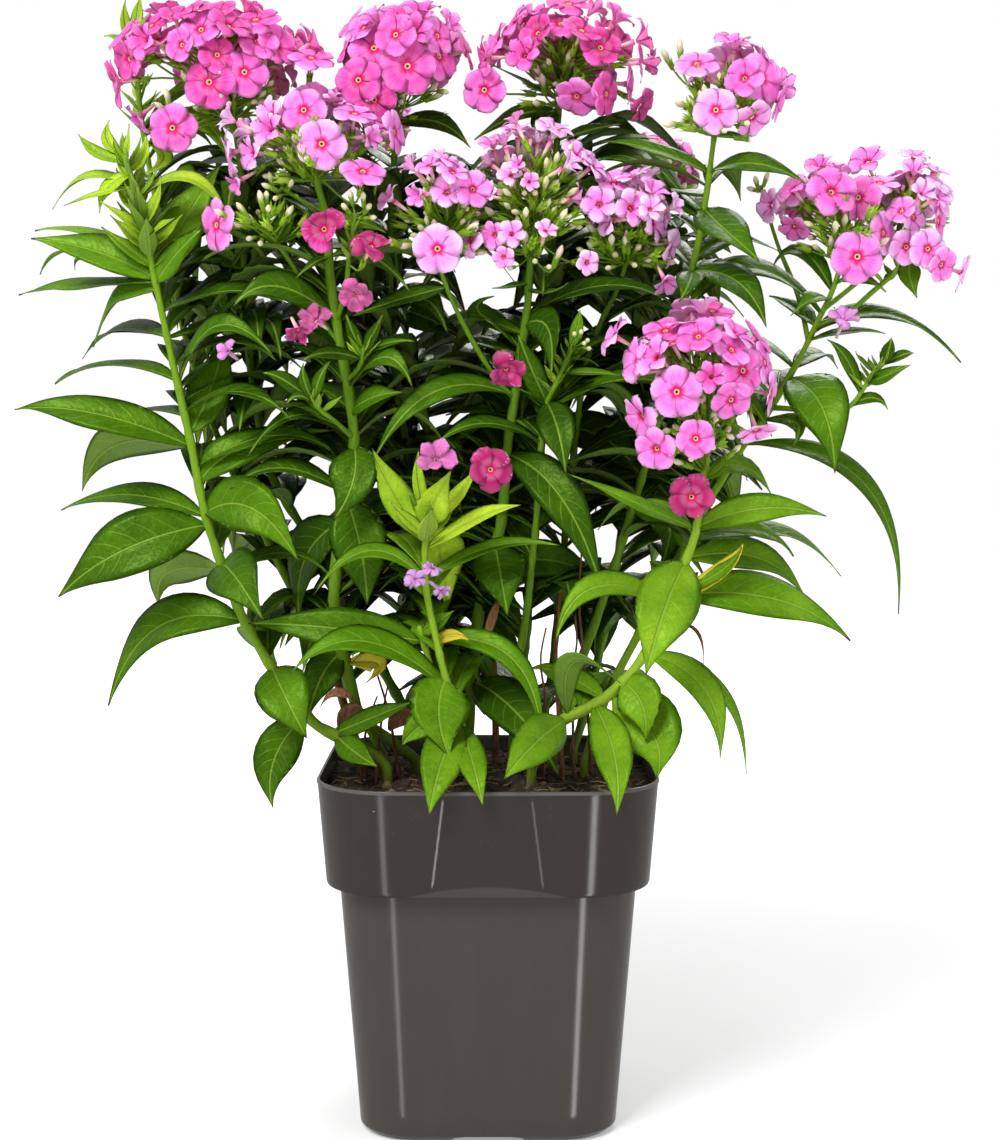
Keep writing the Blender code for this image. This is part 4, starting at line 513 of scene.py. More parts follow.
# Small leaves that only the looks have, listed as the others are.
SMALL_LEAVES = {
    "left": [(452, (-186, 460, -38), (-199, 470, -42), 9, 60),
        (450, (-168, 456, -40), (-160, 461, -44), 8, 60),
        (456, (-170, 469, -36), (-167, 482, -36), 9, 60),
        (460, (-182, 470, -40), (-186, 479, -40), 9, 60),
        (476, (-198, 473, -34), (-217, 467, -30), 8, 30),
        (484, (-176, 492, -28), (-175, 503, -26), 8, 50),
        (488, (-184, 497, -36), (-183, 508, -36), 7, 60),
        (488, (-200, 494, -28), (-209, 503, -26), 8, 50),
        (492, (-194, 500, -24), (-193, 510, -22), 7, 50)],
    "centre_left": [(441, (-89, 438, -46), (-99, 430, -50), 7, 40),
        (458, (-68, 459, -46), (-52, 453, -48), 9, 60), (464, (-92, 467, -46), (-99, 473, -48), 6, 60)],
    "young_front": [(306, (-36, 326, -54), (-36, 342, -54), 7, 50),
        (304, (-16, 319, -56), (-5, 334, -56), 9, 50)],
    "centre": [(428, (12, 426, -34), (2, 425, -36), 6, 40),
        (425, (31, 423, -40), (41, 428, -44), 8, 40), (460, (12, 461, -38), (1, 461, -42), 7, 50)],
    "centre_right": [(382, (54, 382, -44), (69, 380, -50), 8, 40),
        (388, (49, 389, -26), (57, 385, -26), 6, 40), (394, (46, 406, -38), (47, 414, -40), 7, 60)],
    "right_front": [(268, (120, 279, -66), (131, 292, -70), 8, 60),
        (328, (121, 334, -64), (122, 342, -66), 9, 60)],
    "right": [(472, (90, 475, 2), (70, 480, 10), 9, 20),
        (504, (124, 503, -34), (132, 499, -38), 6, 40)],
    "far_right": [(428, (191, 430, -24), (204, 423, -28), 9, 50)],
    "back_right": [(522, (14, 532, 20), (1, 538, 18), 7, 20)],
    "outer_left": [(500, (-165, 491, 24), (-178, 482, 20), 9, 30),
        (540, (-187, 550, 24), (-195, 552, 22), 6, 40), (544, (-175, 556, 24), (-170, 566, 22), 8, 50),
        (546, (-184, 558, 28), (-184, 570, 28), 7, 50), (548, (-178, 562, 34), (-176, 572, 36), 7, 50)],
}
SMALL_BRANCH_LEAVES = {
    1: [(392, (-59, 402, -46), (-54, 412, -46), 7, 60),
        (392, (-70, 403, -44), (-73, 412, -44), 7, 60), (391, (-52, 397, -46), (-38, 398, -50), 7, 40)],
    2: [(367, (-95, 378, -52), (-95, 387, -52), 6, 60),
        (367, (-87, 379, -50), (-81, 388, -50), 6, 60),
        (367, (-98, 370, -54), (-104, 366, -56), 5, 50)],
    6: [(372, (184, 389, -18), (174, 399, -18), 8, 50),
        (382, (192, 388, -22), (189, 393, -24), 5, 50), (385, (206, 394, -20), (207, 400, -20), 7, 60),
        (386, (213, 391, -18), (219, 392, -18), 6, 50), (366, (198, 369, -16), (206, 363, -16), 7, 50)],
}
YELLOW_LEAVES = {
    "centre_left": [(232, (-57, 231, -22), (-64, 221, -24), 12, 60)],
    "short_front": [(240, (-20, 246, -46), (-10, 243, -50), 7, 60)],
    "right_front": [(262, (122, 281, -66), (132, 294, -70), 9, 60)],
}

# Spent flowers caught in the leaves: place, turn, lift, reach, opening, brightness and age.
FALLEN_FLOWERS = [
    (-27, 337, -74, -10, 20, 11, 50, 0.9, 0.5), (-84, 455, -56, -10, 0, 12, 70, 0.9, 0.0),
    (-38, 275, -60, 20, 30, 6, 45, 0.4, 0.7), (-29, 281, -64, -30, 10, 5, 40, 0.4, 0.7),
    (-25, 270, -62, 40, -20, 5, 40, 0.4, 0.7), (-133, 392, -50, -20, 20, 7, 40, 0.5, 0.6),
    (182, 408, -30, 30, 60, 9, 55, 0.5, 0.6), (-68, 422, -58, 10, -10, 9, 50, 1.0, 0.4),
    (-88, 408, -58, -30, 20, 9, 60, 1.0, 0.4), (-98, 404, -58, 30, -40, 8, 50, 1.0, 0.3),
]

# Dry twigs: where they stand in the soil and their seen course.
TWIGS = [
    ((44, -12), [(44, 222, -14), (46, 242, -16), (45, 257, -18)]),
    ((54, -8), [(50, 230, -8), (47, 262, -10), (48, 285, -12), (49, 300, -14)]),
    ((-58, -18), [(-56, 200, -24), (-52, 222, -28)]),
    ((-30, -22), [(-28, 200, -26), (-22, 224, -30)]),
    ((-46, -8), [(-52, 205, -10), (-62, 238, -14)]),
    ((28, -16), [(30, 208, -18), (27, 232, -20), (30, 250, -20)]),
    ((-66, -12), [(-64, 196, -14), (-58, 214, -16)]),
]

# Withered leaves: seen foot, middle and tip, width, facing and brightness.
DRY_LEAVES = [
    ((5, 264, -14), (1, 252, -20), (-3, 237, -18), 5, 60, 0.9),
    ((98, 252, -62), (109, 247, -68), (112, 230, -66), 2, 50, 0.2),
    ((-70, 212, -20), (-80, 216, -22), (-88, 208, -22), 5, 60, 0.6),
    ((-52, 196, -22), (-44, 204, -26), (-36, 198, -26), 10, 60, 0.5),
    ((-78, 196, -14), (-70, 206, -18), (-60, 200, -20), 11, 60, 0.3),
]

# Rule-grown leaves: where they start and end on a stem, their lengths and steps up it, and how
# they get shorter towards its top.
HIDDEN_FOOT = 205.0
HIDDEN_TOP = 35
REAR_TOP = 18
FILL_FOOT = 200.0
FILL_TOP = 25
HIDDEN_LENGTH = (62, 88)
HIDDEN_STEP = (66, 84)
FILL_LENGTH = (56, 90)
FILL_STEP = (11, 17)
BACKING_LENGTH = (55, 88)
SHORTER_FROM = 380
SHORTER_OVER = 180
SHORTER_BY = 0.35

# Rule-grown leaves of the looks alone. A filling leaf's tip lies behind FILL_FRONT, and one that
# finds no free place is still kept, coarser, where its tip lies behind DEEP_LEAF.
LEAF_PAIR_TURNS = (0, 20, -20, 40, -40, 60, -60)
FILL_FRONT = -45.0
DEEP_LEAF = 5.0
BACKING_FRONT = -12.0
BACKING_COUNT = 400
BACKING_TRIES = 6 * BACKING_COUNT
BACKING_WIDENING = 1.35
BACKING_STEMS = ["back_left", "back_centre", "back_right", "rear_left", "rear_right", "middle_right",
                 "centre", "centre_left", "centre_right", "outer_left"]


def course_of(footing, seen_course):
    """Places that a stem passes, from its foot in the soil to its top."""
    x, y = footing
    upright = [Vector((x, y, STEM_FOOT)), Vector((x, y, SOIL_EDGE + UPRIGHT))]
    return upright + [place(seen) for seen in seen_course]


def standing_line(points, steps):
    """Centre line that stays upright in the soil and bends only above it."""
    return [points[0]] + smooth_course(points[1:], steps)


def stem_courses():
    """Coarse centre lines as in the solids, split where a head starts, with their radii."""
    courses = {}
    cores = {}

    def add(name, points, radii):
        upper = []
        if name in HEAD_STARTS:
            points, upper = split_course(points, HEAD_STARTS[name])
        if name in STEMS:
            line = standing_line(points, stem_steps(points))
        else:
            line = smooth_course(points, stem_steps(points))
        courses[name] = (line, radii)
        if upper:
            ahead = (line[-1] - line[-2]).normalized()
            foot = line[-1] + ahead * GAP
            cores[name] = [foot, foot + ahead * CORE_FOOT] + smooth_course(upper, 2)[1:]

    for name, (footing, radii, seen_course) in STEMS.items():
        add(name, course_of(footing, seen_course), radii)
    for number, (parent, height, radii, seen_course) in enumerate(BRANCHES):
        start = point_at_height(courses[parent][0], height)
        add("branch_%d" % number, [start] + [place(seen) for seen in seen_course], radii)
    return courses, cores


def point_at_height(points, seen_height):
    """Point of a course that shows at the given height; its end if it never does."""
    for low, high in zip(points, points[1:]):
        low_up = seen_from_front(low)[1]
        high_up = seen_from_front(high)[1]
        if low_up <= seen_height <= high_up and high_up > low_up:
            return low.lerp(high, (seen_height - low_up) / (high_up - low_up))
    return points[-1].copy()


def node_of(grower):
    """Leafy stem that carries a stem or branch."""
    if grower.startswith("branch_"):
        return BRANCHES[int(grower.split("_")[1])][0]
    return grower


def direction(turn, lift):
    """Direction turned from the front to the right and lifted, both in degrees."""
    turn = math.radians(turn)
    lift = math.radians(lift)
    return Vector((math.sin(turn) * math.cos(lift), -math.cos(turn) * math.cos(lift), math.sin(lift)))


def curve_point(leaf, t):
    """Point at t of the bow from the leaf's root through its middle to its tip."""
    root, middle, tip = leaf["line"]
    control = middle * 2.0 - (root + tip) * 0.5
    return root * (1 - t) ** 2 + control * (2 * t * (1 - t)) + tip * t ** 2


def blade_width(t):
    """Share of the full width at t: a narrow foot, a broad middle and a drawn-out tip."""
    body = max(0.0, math.sin(math.pi * t ** 0.74)) ** 1.1
    return body * (1.0 - 0.3 * max(0.0, (t - 0.6) / 0.4))


def blade_frames(leaf, stations):
    """Centre, side and normal at each station, carried along without twist."""
    facing = math.radians(leaf["facing"])
    normal = Vector((0.0, -math.sin(facing), math.cos(facing)))
    frames = []
    for t in stations:
        ahead = curve_point(leaf, min(1.0, t + 0.02)) - curve_point(leaf, max(0.0, t - 0.02))
        ahead.normalize()
        normal = normal - ahead * normal.dot(ahead)
        if normal.length < 1e-4:
            normal = ahead.orthogonal()
        normal.normalize()
        frames.append((curve_point(leaf, t), ahead.cross(normal), normal.copy()))
    return frames


def leaf_piece(leaf, stations, extra=0.0):
    """Closed blade: lens-shaped stations between a pointed foot and a pointed tip."""
    half = BLADE_HALF_THICKNESS + extra
    frames = blade_frames(leaf, stations)
    points = [curve_point(leaf, 0.0)]
    for t, (centre, side, normal) in zip(stations, frames):
        reach = leaf["width"] * 0.5 * blade_width(t) + extra
        lift = normal * (reach * BLADE_FOLD)
        points += [centre - side * reach + lift, centre + normal * half,
                   centre + side * reach + lift, centre - normal * half]
    points.append(curve_point(leaf, 1.0))
    return points, ring_faces(len(stations), 4)


def ring_faces(rings, sides):
    """Triangles of a closed body: first point, rings of points, last point."""
    faces = []
    for k in range(sides):
        faces.append((0, 1 + k, 1 + (k + 1) % sides))
    for ring in range(rings - 1):
        low = 1 + ring * sides
        high = low + sides
        for k in range(sides):
            n = (k + 1) % sides
            if k % 2:
                faces += [(low + k, high + k, low + n), (low + n, high + k, high + n)]
            else:
                faces += [(low + k, high + n, low + n), (low + k, high + k, high + n)]
    low = 1 + (rings - 1) * sides
    last = low + sides
    for k in range(sides):
        faces.append((low + (k + 1) % sides, low + k, last))
    return faces


def smooth_course(points, steps):
    """Points of the course at even distances, rounded by Catmull-Rom curves."""
    dense = []
    for i in range(len(points) - 1):
        before = points[max(0, i - 1)]
        here = points[i]
        there = points[i + 1]
        after = points[min(len(points) - 1, i + 2)]
        for k in range(6):
            t = k / 6.0
            dense.append(0.5 * (2 * here + (there - before) * t
                                + (2 * before - 5 * here + 4 * there - after) * t ** 2
                                + (3 * here - before - 3 * there + after) * t ** 3))
    dense.append(points[-1])
    lengths = [0.0]
    for a, b in zip(dense, dense[1:]):
        lengths.append(lengths[-1] + (b - a).length)
    result = []
    k = 0
    for step in range(steps + 1):
        want = lengths[-1] * step / steps
        while k < len(dense) - 2 and lengths[k + 1] < want:
            k += 1
        span = lengths[k + 1] - lengths[k]
        result.append(dense[k].lerp(dense[k + 1], (want - lengths[k]) / span))
    return result


def tube_piece(points, radii, sides, extra=0.0):
    """Closed tapering tube along points."""
    first, last = radii
    across = Vector((1.0, 0.0, 0.0))
    made = [points[0].copy()]
    for i, point in enumerate(points):
        ahead = (points[min(i + 1, len(points) - 1)] - points[max(i - 1, 0)]).normalized()
        across = (across - ahead * across.dot(ahead)).normalized()
        other = ahead.cross(across)
        radius = first + (last - first) * i / (len(points) - 1) + extra
        for k in range(sides):
            angle = math.tau * k / sides
            made.append(point + across * (radius * math.cos(angle)) + other * (radius * math.sin(angle)))
    made.append(points[-1].copy())
    return made, ring_faces(len(points), sides)


def stem_steps(points):
    """Number of straight lengths that a stem of the solids is made of."""
    length = sum((b - a).length for a, b in zip(points, points[1:]))
    return max(2, round(length / STEM_STEP))


def flower_axes(facing):
    """Two directions square to each other and to the way a flower faces."""
    across = facing.cross(Vector((0.0, 0.0, 1.0)))
    if across.length < 0.05:
        across = Vector((1.0, 0.0, 0.0))
    across.normalize()
    return across, facing.cross(across).normalized()


def spoke(across, other, angle):
    """Direction at an angle round an axis, between its two square directions."""
    return across * math.cos(angle) + other * math.sin(angle)


def flower_piece(flower, extra=0.0):
    """Closed flower: five round petals, a sunk throat and a slim stalk to its seat."""
    facing = flower["facing"]
    across, other = flower_axes(facing)
    opening = math.radians(flower["opening"])
    throat = flower["centre"]
    half_open = flower["opening"] <= TRUMPET_OPENING
    hub = TRUMPET_RIM_POINTS if half_open else RIM_POINTS
    notch = 1.0 if half_open else PETAL_NOTCH
    points = []
    for k in range(hub):
        reach = flower["reach"] * (1.0, notch)[k % 2] + extra
        angle = math.radians(flower["spin"]) + math.tau * k / hub
        ray = spoke(across, other, angle)
        points.append(throat + facing * (reach * math.cos(opening)) + ray * (reach * math.sin(opening)))
    points.append(throat + facing * (extra - 0.2))
    points += small_ring(throat - facing * (THROAT_DEPTH + extra), facing, THROAT_RADIUS + extra)
    points += small_ring(flower["seat"], flower["seat_axis"], STALK_RADIUS + extra)
    faces = []
    for k in range(hub):
        n = (k + 1) % hub
        here = hub + 1 + round(3.0 * k / hub) % 3
        following = hub + 1 + round(3.0 * (k + 1) / hub) % 3
        faces += [(k, n, hub), (n, k, here)]
        if following != here:
            faces.append((n, here, following))
    for k in range(3):
        m = (k + 1) % 3
        faces += [(hub + 1 + k, hub + 4 + k, hub + 1 + m), (hub + 1 + m, hub + 4 + k, hub + 4 + m)]
    faces.append((hub + 4, hub + 6, hub + 5))
    return points, faces


def small_ring(centre, axis, radius):
    """Three points round an axis."""
    across, other = flower_axes(axis)
    ring = []
    for k in range(3):
        angle = math.tau * k / 3.0
        ring.append(centre + across * (radius * math.cos(angle)) + other * (radius * math.sin(angle)))
    return ring


def bud_piece(bud, extra=0.0):
    """Closed bud on its stalk: pointed at the tip, three-sided."""
    points = [bud["seat"].copy()]
    points += small_ring(bud["seat"], bud["ahead"], TWIG_RADIUS + extra)
    points += small_ring(bud["calyx"], bud["facing"], CALYX_RADIUS + extra)
    points.append(bud["calyx"] + bud["facing"] * bud["length"])
    return points, ring_faces(2, 3)


class Crowd:
    """Pieces already placed, to keep later ones of other nodes clear of them."""

    def __init__(self):
        self.pieces = []

    def add(self, node, shape):
        points, faces = shape
        low = Vector([min(p[i] for p in points) for i in range(3)])
        high = Vector([max(p[i] for p in points) for i in range(3)])
        self.pieces.append((node, BVHTree.FromPolygons(points, faces), low, high))

    def is_clear(self, node, shape):
        points, faces = shape
        low = [min(p[i] for p in points) for i in range(3)]
        high = [max(p[i] for p in points) for i in range(3)]
        tree = None
        for other, other_tree, other_low, other_high in self.pieces:
            if other == node:
                continue
            if any(low[i] > other_high[i] or high[i] < other_low[i] for i in range(3)):
                continue
            if tree is None:
                tree = BVHTree.FromPolygons(points, faces)
            if tree.overlap(other_tree):
                return False
        return True


# Cross sections of the solids' blades, and how far a leaf or flower may move back or forward.
LEAF_STATIONS = (0.14, 0.36, 0.62, 0.85)
SHORT_LEAF_STATIONS = (0.2, 0.5, 0.8)
SMALL_LEAF_STATIONS = (0.28, 0.68)
LONG_LEAF = 64.0
SHORT_LEAF = 40.0
SHIFTS = (0, -7, 7, -14, 14, -21, 21, -28, 28, -36, 36, -46, 46)
FLOWER_SHIFTS = (0, -5, 5, -10, 10, -16, 16, -24, 24)


def stations_for(leaf):
    """More cross sections for longer leaves."""
    length = (leaf["line"][2] - leaf["line"][0]).length
    if length > LONG_LEAF:
        return LEAF_STATIONS
    return SHORT_LEAF_STATIONS if length > SHORT_LEAF else SMALL_LEAF_STATIONS


def listed_entries(by_stem, by_branch):
    """Each listed leaf with the name of the stem or branch it grows on."""
    listed = [(name, entry) for name, entries in by_stem.items() for entry in entries]
    return listed + [("branch_%d" % n, entry) for n, entries in by_branch.items() for entry in entries]


def listed_leaf(points, entry, shift):
    """Leaf of a list entry, its middle and tip moved back by a shift."""
    height, middle, tip, width, facing = entry
    across, up, depth = middle
    middle = place((across, up, depth + 0.55 * shift))
    across, up, depth = tip
    tip = place((across, up, depth + shift))
    return {"line": (point_at_height(points, height), middle, tip), "width": width, "facing": facing}


def limit_at(limits, up):
    """Place across of an outline at a height, straight between its listed points."""
    for (low, a), (high, b) in zip(limits, limits[1:]):
        if low <= up <= high:
            return a + (b - a) * (up - low) / (high - low)
    return limits[0][1] if up < limits[0][0] else limits[-1][1]


def stays_hidden(leaf):
    """True when a rule-grown leaf keeps to the foliage as it is seen."""
    for t in (0.35, 0.6, 0.8, 1.0):
        across, up = seen_from_front(curve_point(leaf, t))
        if not limit_at(OUTLINE_LEFT, up) <= across <= limit_at(OUTLINE_RIGHT, up):
            return False
        if any(math.hypot(across - x, up - z) < r + 4.0 for x, z, r in WINDOWS):
            return False
    return True


def length_share(height):
    """Share of its full length that a rule-grown leaf has at a height on its stem."""
    return 1.0 - SHORTER_BY * max(0.0, (height - SHORTER_FROM) / SHORTER_OVER)


def grown_leaf(rng, root, azimuth, length):
    """Leaf that leaves its stem in a level direction, rises and then droops."""
    out = Vector((math.cos(azimuth), math.sin(azimuth), 0.0))
    rise = rng.uniform(0.12, 0.3)
    droop = rng.uniform(-0.25, 0.12)
    middle = root + out * (0.5 * length) + Vector((0, 0, rise * length))
    tip = root + out * (0.92 * length) + Vector((0, 0, droop * length))
    facing = 0.0 if out.y > 0 else 20.0
    return {"line": (root, middle, tip), "width": length * rng.uniform(0.24, 0.3), "facing": facing}


def place_stems(crowd, courses, cores):
    """Room taken by the stems up to where a head starts, and by the cores of the heads."""
    for name, (line, radii) in courses.items():
        crowd.add(node_of(name), tube_piece(line, radii, STEM_SIDES))
    for name, line in cores.items():
        crowd.add("head_" + name, tube_piece(line, core_radii(name), CORE_SIDES))


def crowd_old_stalks(crowd):
    """Room taken by last year's stalks."""
    for name, (footing, radius, course) in OLD_STALKS.items():
        points = standing_line(course_of(footing, course), 3)
        crowd.add("old_stalk_" + name, tube_piece(points, (radius, radius * 0.8), STEM_SIDES))


def core_radii(name):
    """Radii of a head's core, which is thin where the head is one single flower."""
    return THIN_CORE_RADII if name == "branch_5" else CORE_RADII


def split_course(points, seen_height):
    """Course up to the given height, and from there on."""
    joint = point_at_height(points, seen_height)
    upper_start = next(i for i, p in enumerate(points) if seen_from_front(p)[1] > seen_height)
    return points[:upper_start] + [joint], [joint] + points[upper_start:]


def place_flowers(crowd, cores, rng):
    """Flowers of each head, by head."""
    heads = {}
    for head, (grower, entries) in FLOWERS.items():
        node = "head_" + grower
        members = []
        for entry in entries:
            flower = fit_flower(crowd, node, entry, cores[grower][1:], rng.uniform(0, PETAL_TURN))
            if flower is not None:
                members.append(flower)
        heads[head] = members
    return heads


def fit_flower(crowd, node, entry, core_line, spin):
    """Flower of a list entry at the first depth where it is clear of other nodes, if any."""
    across, up, depth, turn, lift, reach, opening = entry
    for shift in FLOWER_SHIFTS:
        centre = place((across, up, depth + shift))
        facing = direction(turn, lift)
        flower = {"centre": centre, "facing": facing, "reach": reach, "opening": opening, "spin": spin}
        for drop in (10, 0, 20):
            seat = nearest_on(core_line, centre - facing * TUBE_LENGTH, drop)
            flower["seat"] = seat
            flower["seat_axis"] = (centre - seat).normalized()
            if flower["seat_axis"].dot(facing) < STALK_TURN:
                continue
            if crowd.is_clear(node, flower_piece(flower, CLEARANCE)):
                crowd.add(node, flower_piece(flower))
                return flower
    return None


def fit_bud(crowd, node, entry, line):
    """Takes the room of a listed bud, unless every seat for it is too close to another node."""
    across, up, depth, turn, lift, length = entry
    facing = direction(turn, lift)
    calyx = place((across, up, depth)) - facing * length
    for drop in (10, 0, 20, 30):
        seat = nearest_on(line, calyx, drop)
        bud = {"seat": seat, "ahead": (calyx - seat).normalized(), "calyx": calyx, "facing": facing,
               "length": length}
        if crowd.is_clear(node, bud_piece(bud, CLEARANCE)):
            crowd.add(node, bud_piece(bud))
            return


def nearest_on(line, target, drop):
    """Point of a line nearest to a place somewhat below the target."""
    wanted = target - Vector((0, 0, drop))
    best = None
    for low, high in zip(line, line[1:]):
        span = high - low
        share = max(0.12, min(0.9, (wanted - low).dot(span) / span.length_squared))
        point = low + span * share
        if best is None or (point - wanted).length < (best - wanted).length:
            best = point
    return best


def place_green_buds(crowd, courses):
    """Room taken by the closed buds that the solids have on green shoots."""
    for grower, entries in SHOOT_BUDS.items():
        for entry in entries[:SOLID_BUDS.get(grower, 0)]:
            fit_bud(crowd, node_of(grower), entry, courses[grower][0][-3:])


def place_stray_flowers(crowd, courses, rng):
    """Single flowers that lean on a stem, their foot an even gap off its side."""
    made = []
    for number, (grower, entry) in enumerate(STRAY_FLOWERS):
        node = "flower_single_%d" % (number + 1)
        line, radii = courses[grower]
        tree = BVHTree.FromPolygons(*tube_piece(line, radii, STEM_SIDES))
        across, up, depth, turn, lift, reach, opening = entry
        centre = place((across, up, depth))
        facing = direction(turn, lift)
        touch, normal = tree.find_nearest(centre - facing * TUBE_LENGTH)[:2]
        outward = (centre - touch).normalized()
        normal = normal if normal.dot(outward) > 0 else -normal
        flower = {"centre": centre, "facing": facing, "reach": reach, "opening": opening,
                  "spin": rng.uniform(0, PETAL_TURN), "seat": touch + normal * GAP, "seat_axis": normal}
        crowd.add(node, flower_piece(flower))
        made.append((node, flower))
    return made


def place_leaves(crowd, courses, rng):
    """Listed leaves first, then rule-grown ones on the sides turned from the viewer."""
    placed = []
    for name, entry in listed_entries(LEAVES, BRANCH_LEAVES):
        points = courses[name][0]
        tries = [listed_leaf(points, entry, shift) for shift in SHIFTS]
        keep_first_clear(crowd, node_of(name), tries, placed)
    for name in STEMS:
        grow_hidden_leaves(crowd, name, courses[name][0], rng, placed)
    return placed


def grow_hidden_leaves(crowd, name, points, rng, placed):
    """Crossed pairs of leaves up a stem, on its far side or, on a rear stem, all round."""
    top = seen_from_front(points[-1])[1]
    azimuth = rng.uniform(0, math.pi)
    height = HIDDEN_FOOT + rng.uniform(0, 15)
    rear = name.startswith("rear")
    while height < top - (REAR_TOP if rear else HIDDEN_TOP):
        root = point_at_height(points, height)
        length = rng.uniform(*HIDDEN_LENGTH) * length_share(height)
        for side in (0.0, math.pi):
            angle = azimuth + side
            tries = []
            if math.sin(angle) > 0.1 or rear:
                for turn in (0, 15, -15, 30, -30):
                    leaf = grown_leaf(rng, root, angle + math.radians(turn), length)
                    if stays_hidden(leaf):
                        tries.append(leaf)
            if tries:
                keep_first_clear(crowd, name, tries, placed)
        azimuth += math.pi / 2 + rng.uniform(-0.2, 0.2)
        height += rng.uniform(*HIDDEN_STEP)


def keep_first_clear(crowd, node, tries, placed):
    """Places the first of some leaves that is clear of the other nodes."""
    for leaf in tries:
        stations = stations_for(leaf)
        if crowd.is_clear(node, leaf_piece(leaf, stations, CLEARANCE)):
            crowd.add(node, leaf_piece(leaf, stations))
            placed.append((node, leaf))
            return


def rounded_square(half, corner, height):
    """Square with a few points round each corner, as the solids have it."""
    points = []
    inset = half - corner
    for quarter in range(4):
        turn = math.pi / 2 * quarter
        centre_x = inset * (1 if quarter in (0, 3) else -1)
        centre_y = inset * (1 if quarter in (0, 1) else -1)
        for step in range(CORNER_STEPS + 1):
            angle = turn + math.pi / 2 * step / CORNER_STEPS
            points.append(Vector((centre_x + corner * math.cos(angle),
                                  centre_y + corner * math.sin(angle), height)))
    return points


def ring_body(rings, bottom, top):
    """Closed body from rings of equal count, with flat fans at both ends."""
    sides = len(rings[0])
    points = [bottom] + [p for ring in rings for p in ring] + [top]
    return points, ring_faces(len(rings), sides)


def pot_shape():
    """Pot turned outside in: foot, body, collar and rim, then the inner face back down."""
    outside = [(0.0, FOOT_HALF, FOOT_CORNER), (FOOT_HEIGHT, BODY_BOTTOM_HALF, BODY_BOTTOM_CORNER),
               (COLLAR_BOTTOM, BODY_TOP_HALF, BODY_TOP_CORNER),
               (COLLAR_BOTTOM, COLLAR_HALF - COLLAR_ROUNDING, COLLAR_CORNER - COLLAR_ROUNDING),
               (COLLAR_BOTTOM + COLLAR_ROUNDING, COLLAR_HALF, COLLAR_CORNER),
               (POT_HEIGHT - RIM_ROUNDING, RIM_HALF, RIM_CORNER),
               (POT_HEIGHT, RIM_HALF - RIM_ROUNDING, RIM_CORNER - RIM_ROUNDING)]
    inside = [(POT_HEIGHT, RIM_HALF, RIM_CORNER), (COLLAR_BOTTOM + WALL, COLLAR_HALF, COLLAR_CORNER),
              (COLLAR_BOTTOM + WALL, BODY_TOP_HALF, BODY_TOP_CORNER),
              (FLOOR_TOP, BODY_BOTTOM_HALF, BODY_BOTTOM_CORNER)]
    rings = [rounded_square(half, corner, z) for z, half, corner in outside]
    rings += [rounded_square(half - WALL, corner - WALL, z) for z, half, corner in inside]
    return ring_body(rings, Vector((0, 0, 0)), Vector((0, 0, FLOOR_TOP)))


def soil_height(x, y):
    """Height of the soil in the solids: a low mound with slight ripples."""
    mound = SOIL_MOUND * math.exp(-(x * x + y * y) / SOIL_MOUND_REACH ** 2)
    ripple = SOIL_ROUGHNESS * math.sin(x * 0.21 + 1.3) * math.cos(y * 0.17 - 0.4)
    return SOIL_EDGE + mound + ripple


def soil_edge_half():
    """Half width of the pot, measured outside, at the height of the soil's edge."""
    rise = SOIL_EDGE - COLLAR_BOTTOM
    return COLLAR_HALF + (RIM_HALF - COLLAR_HALF) * rise / (POT_HEIGHT - COLLAR_BOTTOM)


def soil_levels(edge_drop):
    """Heights, half widths and corner radii of the soil's sides, an even gap inside the wall."""
    inset = WALL + GAP
    step = COLLAR_BOTTOM + WALL + GAP
    levels = [(FLOOR_TOP + GAP, BODY_BOTTOM_HALF, BODY_BOTTOM_CORNER),
              (step, BODY_TOP_HALF, BODY_TOP_CORNER), (step, COLLAR_HALF, COLLAR_CORNER),
              (SOIL_EDGE - edge_drop, soil_edge_half(), RIM_CORNER - 0.5)]
    return [(z, half - inset, corner - inset) for z, half, corner in levels]


def on_height(p, share, height):
    """Point at a share of the way out from the axis, on a surface given by its height."""
    return Vector((p.x * share, p.y * share, height(p.x * share, p.y * share)))


def soil_shape():
    """Soil that follows the pot's inside at an even gap, with a mounded top."""
    rings = [rounded_square(half, corner, z) for z, half, corner in soil_levels(1.0)]
    edge = rings[-1]
    for share in (0.7, 0.35):
        rings.append([on_height(p, share, soil_height) for p in edge])
    return ring_body(rings, Vector((0, 0, FLOOR_TOP + GAP)), Vector((0, 0, soil_height(0, 0))))


# Place or tint of a point whose material needs none.
PLAIN = (0.0, 0.0, 0.0)


def new_object(name, data):
    """Object of the scene that holds a mesh, a light or a camera."""
    thing = bpy.data.objects.new(name, data)
    bpy.context.scene.collection.objects.link(thing)
    return thing


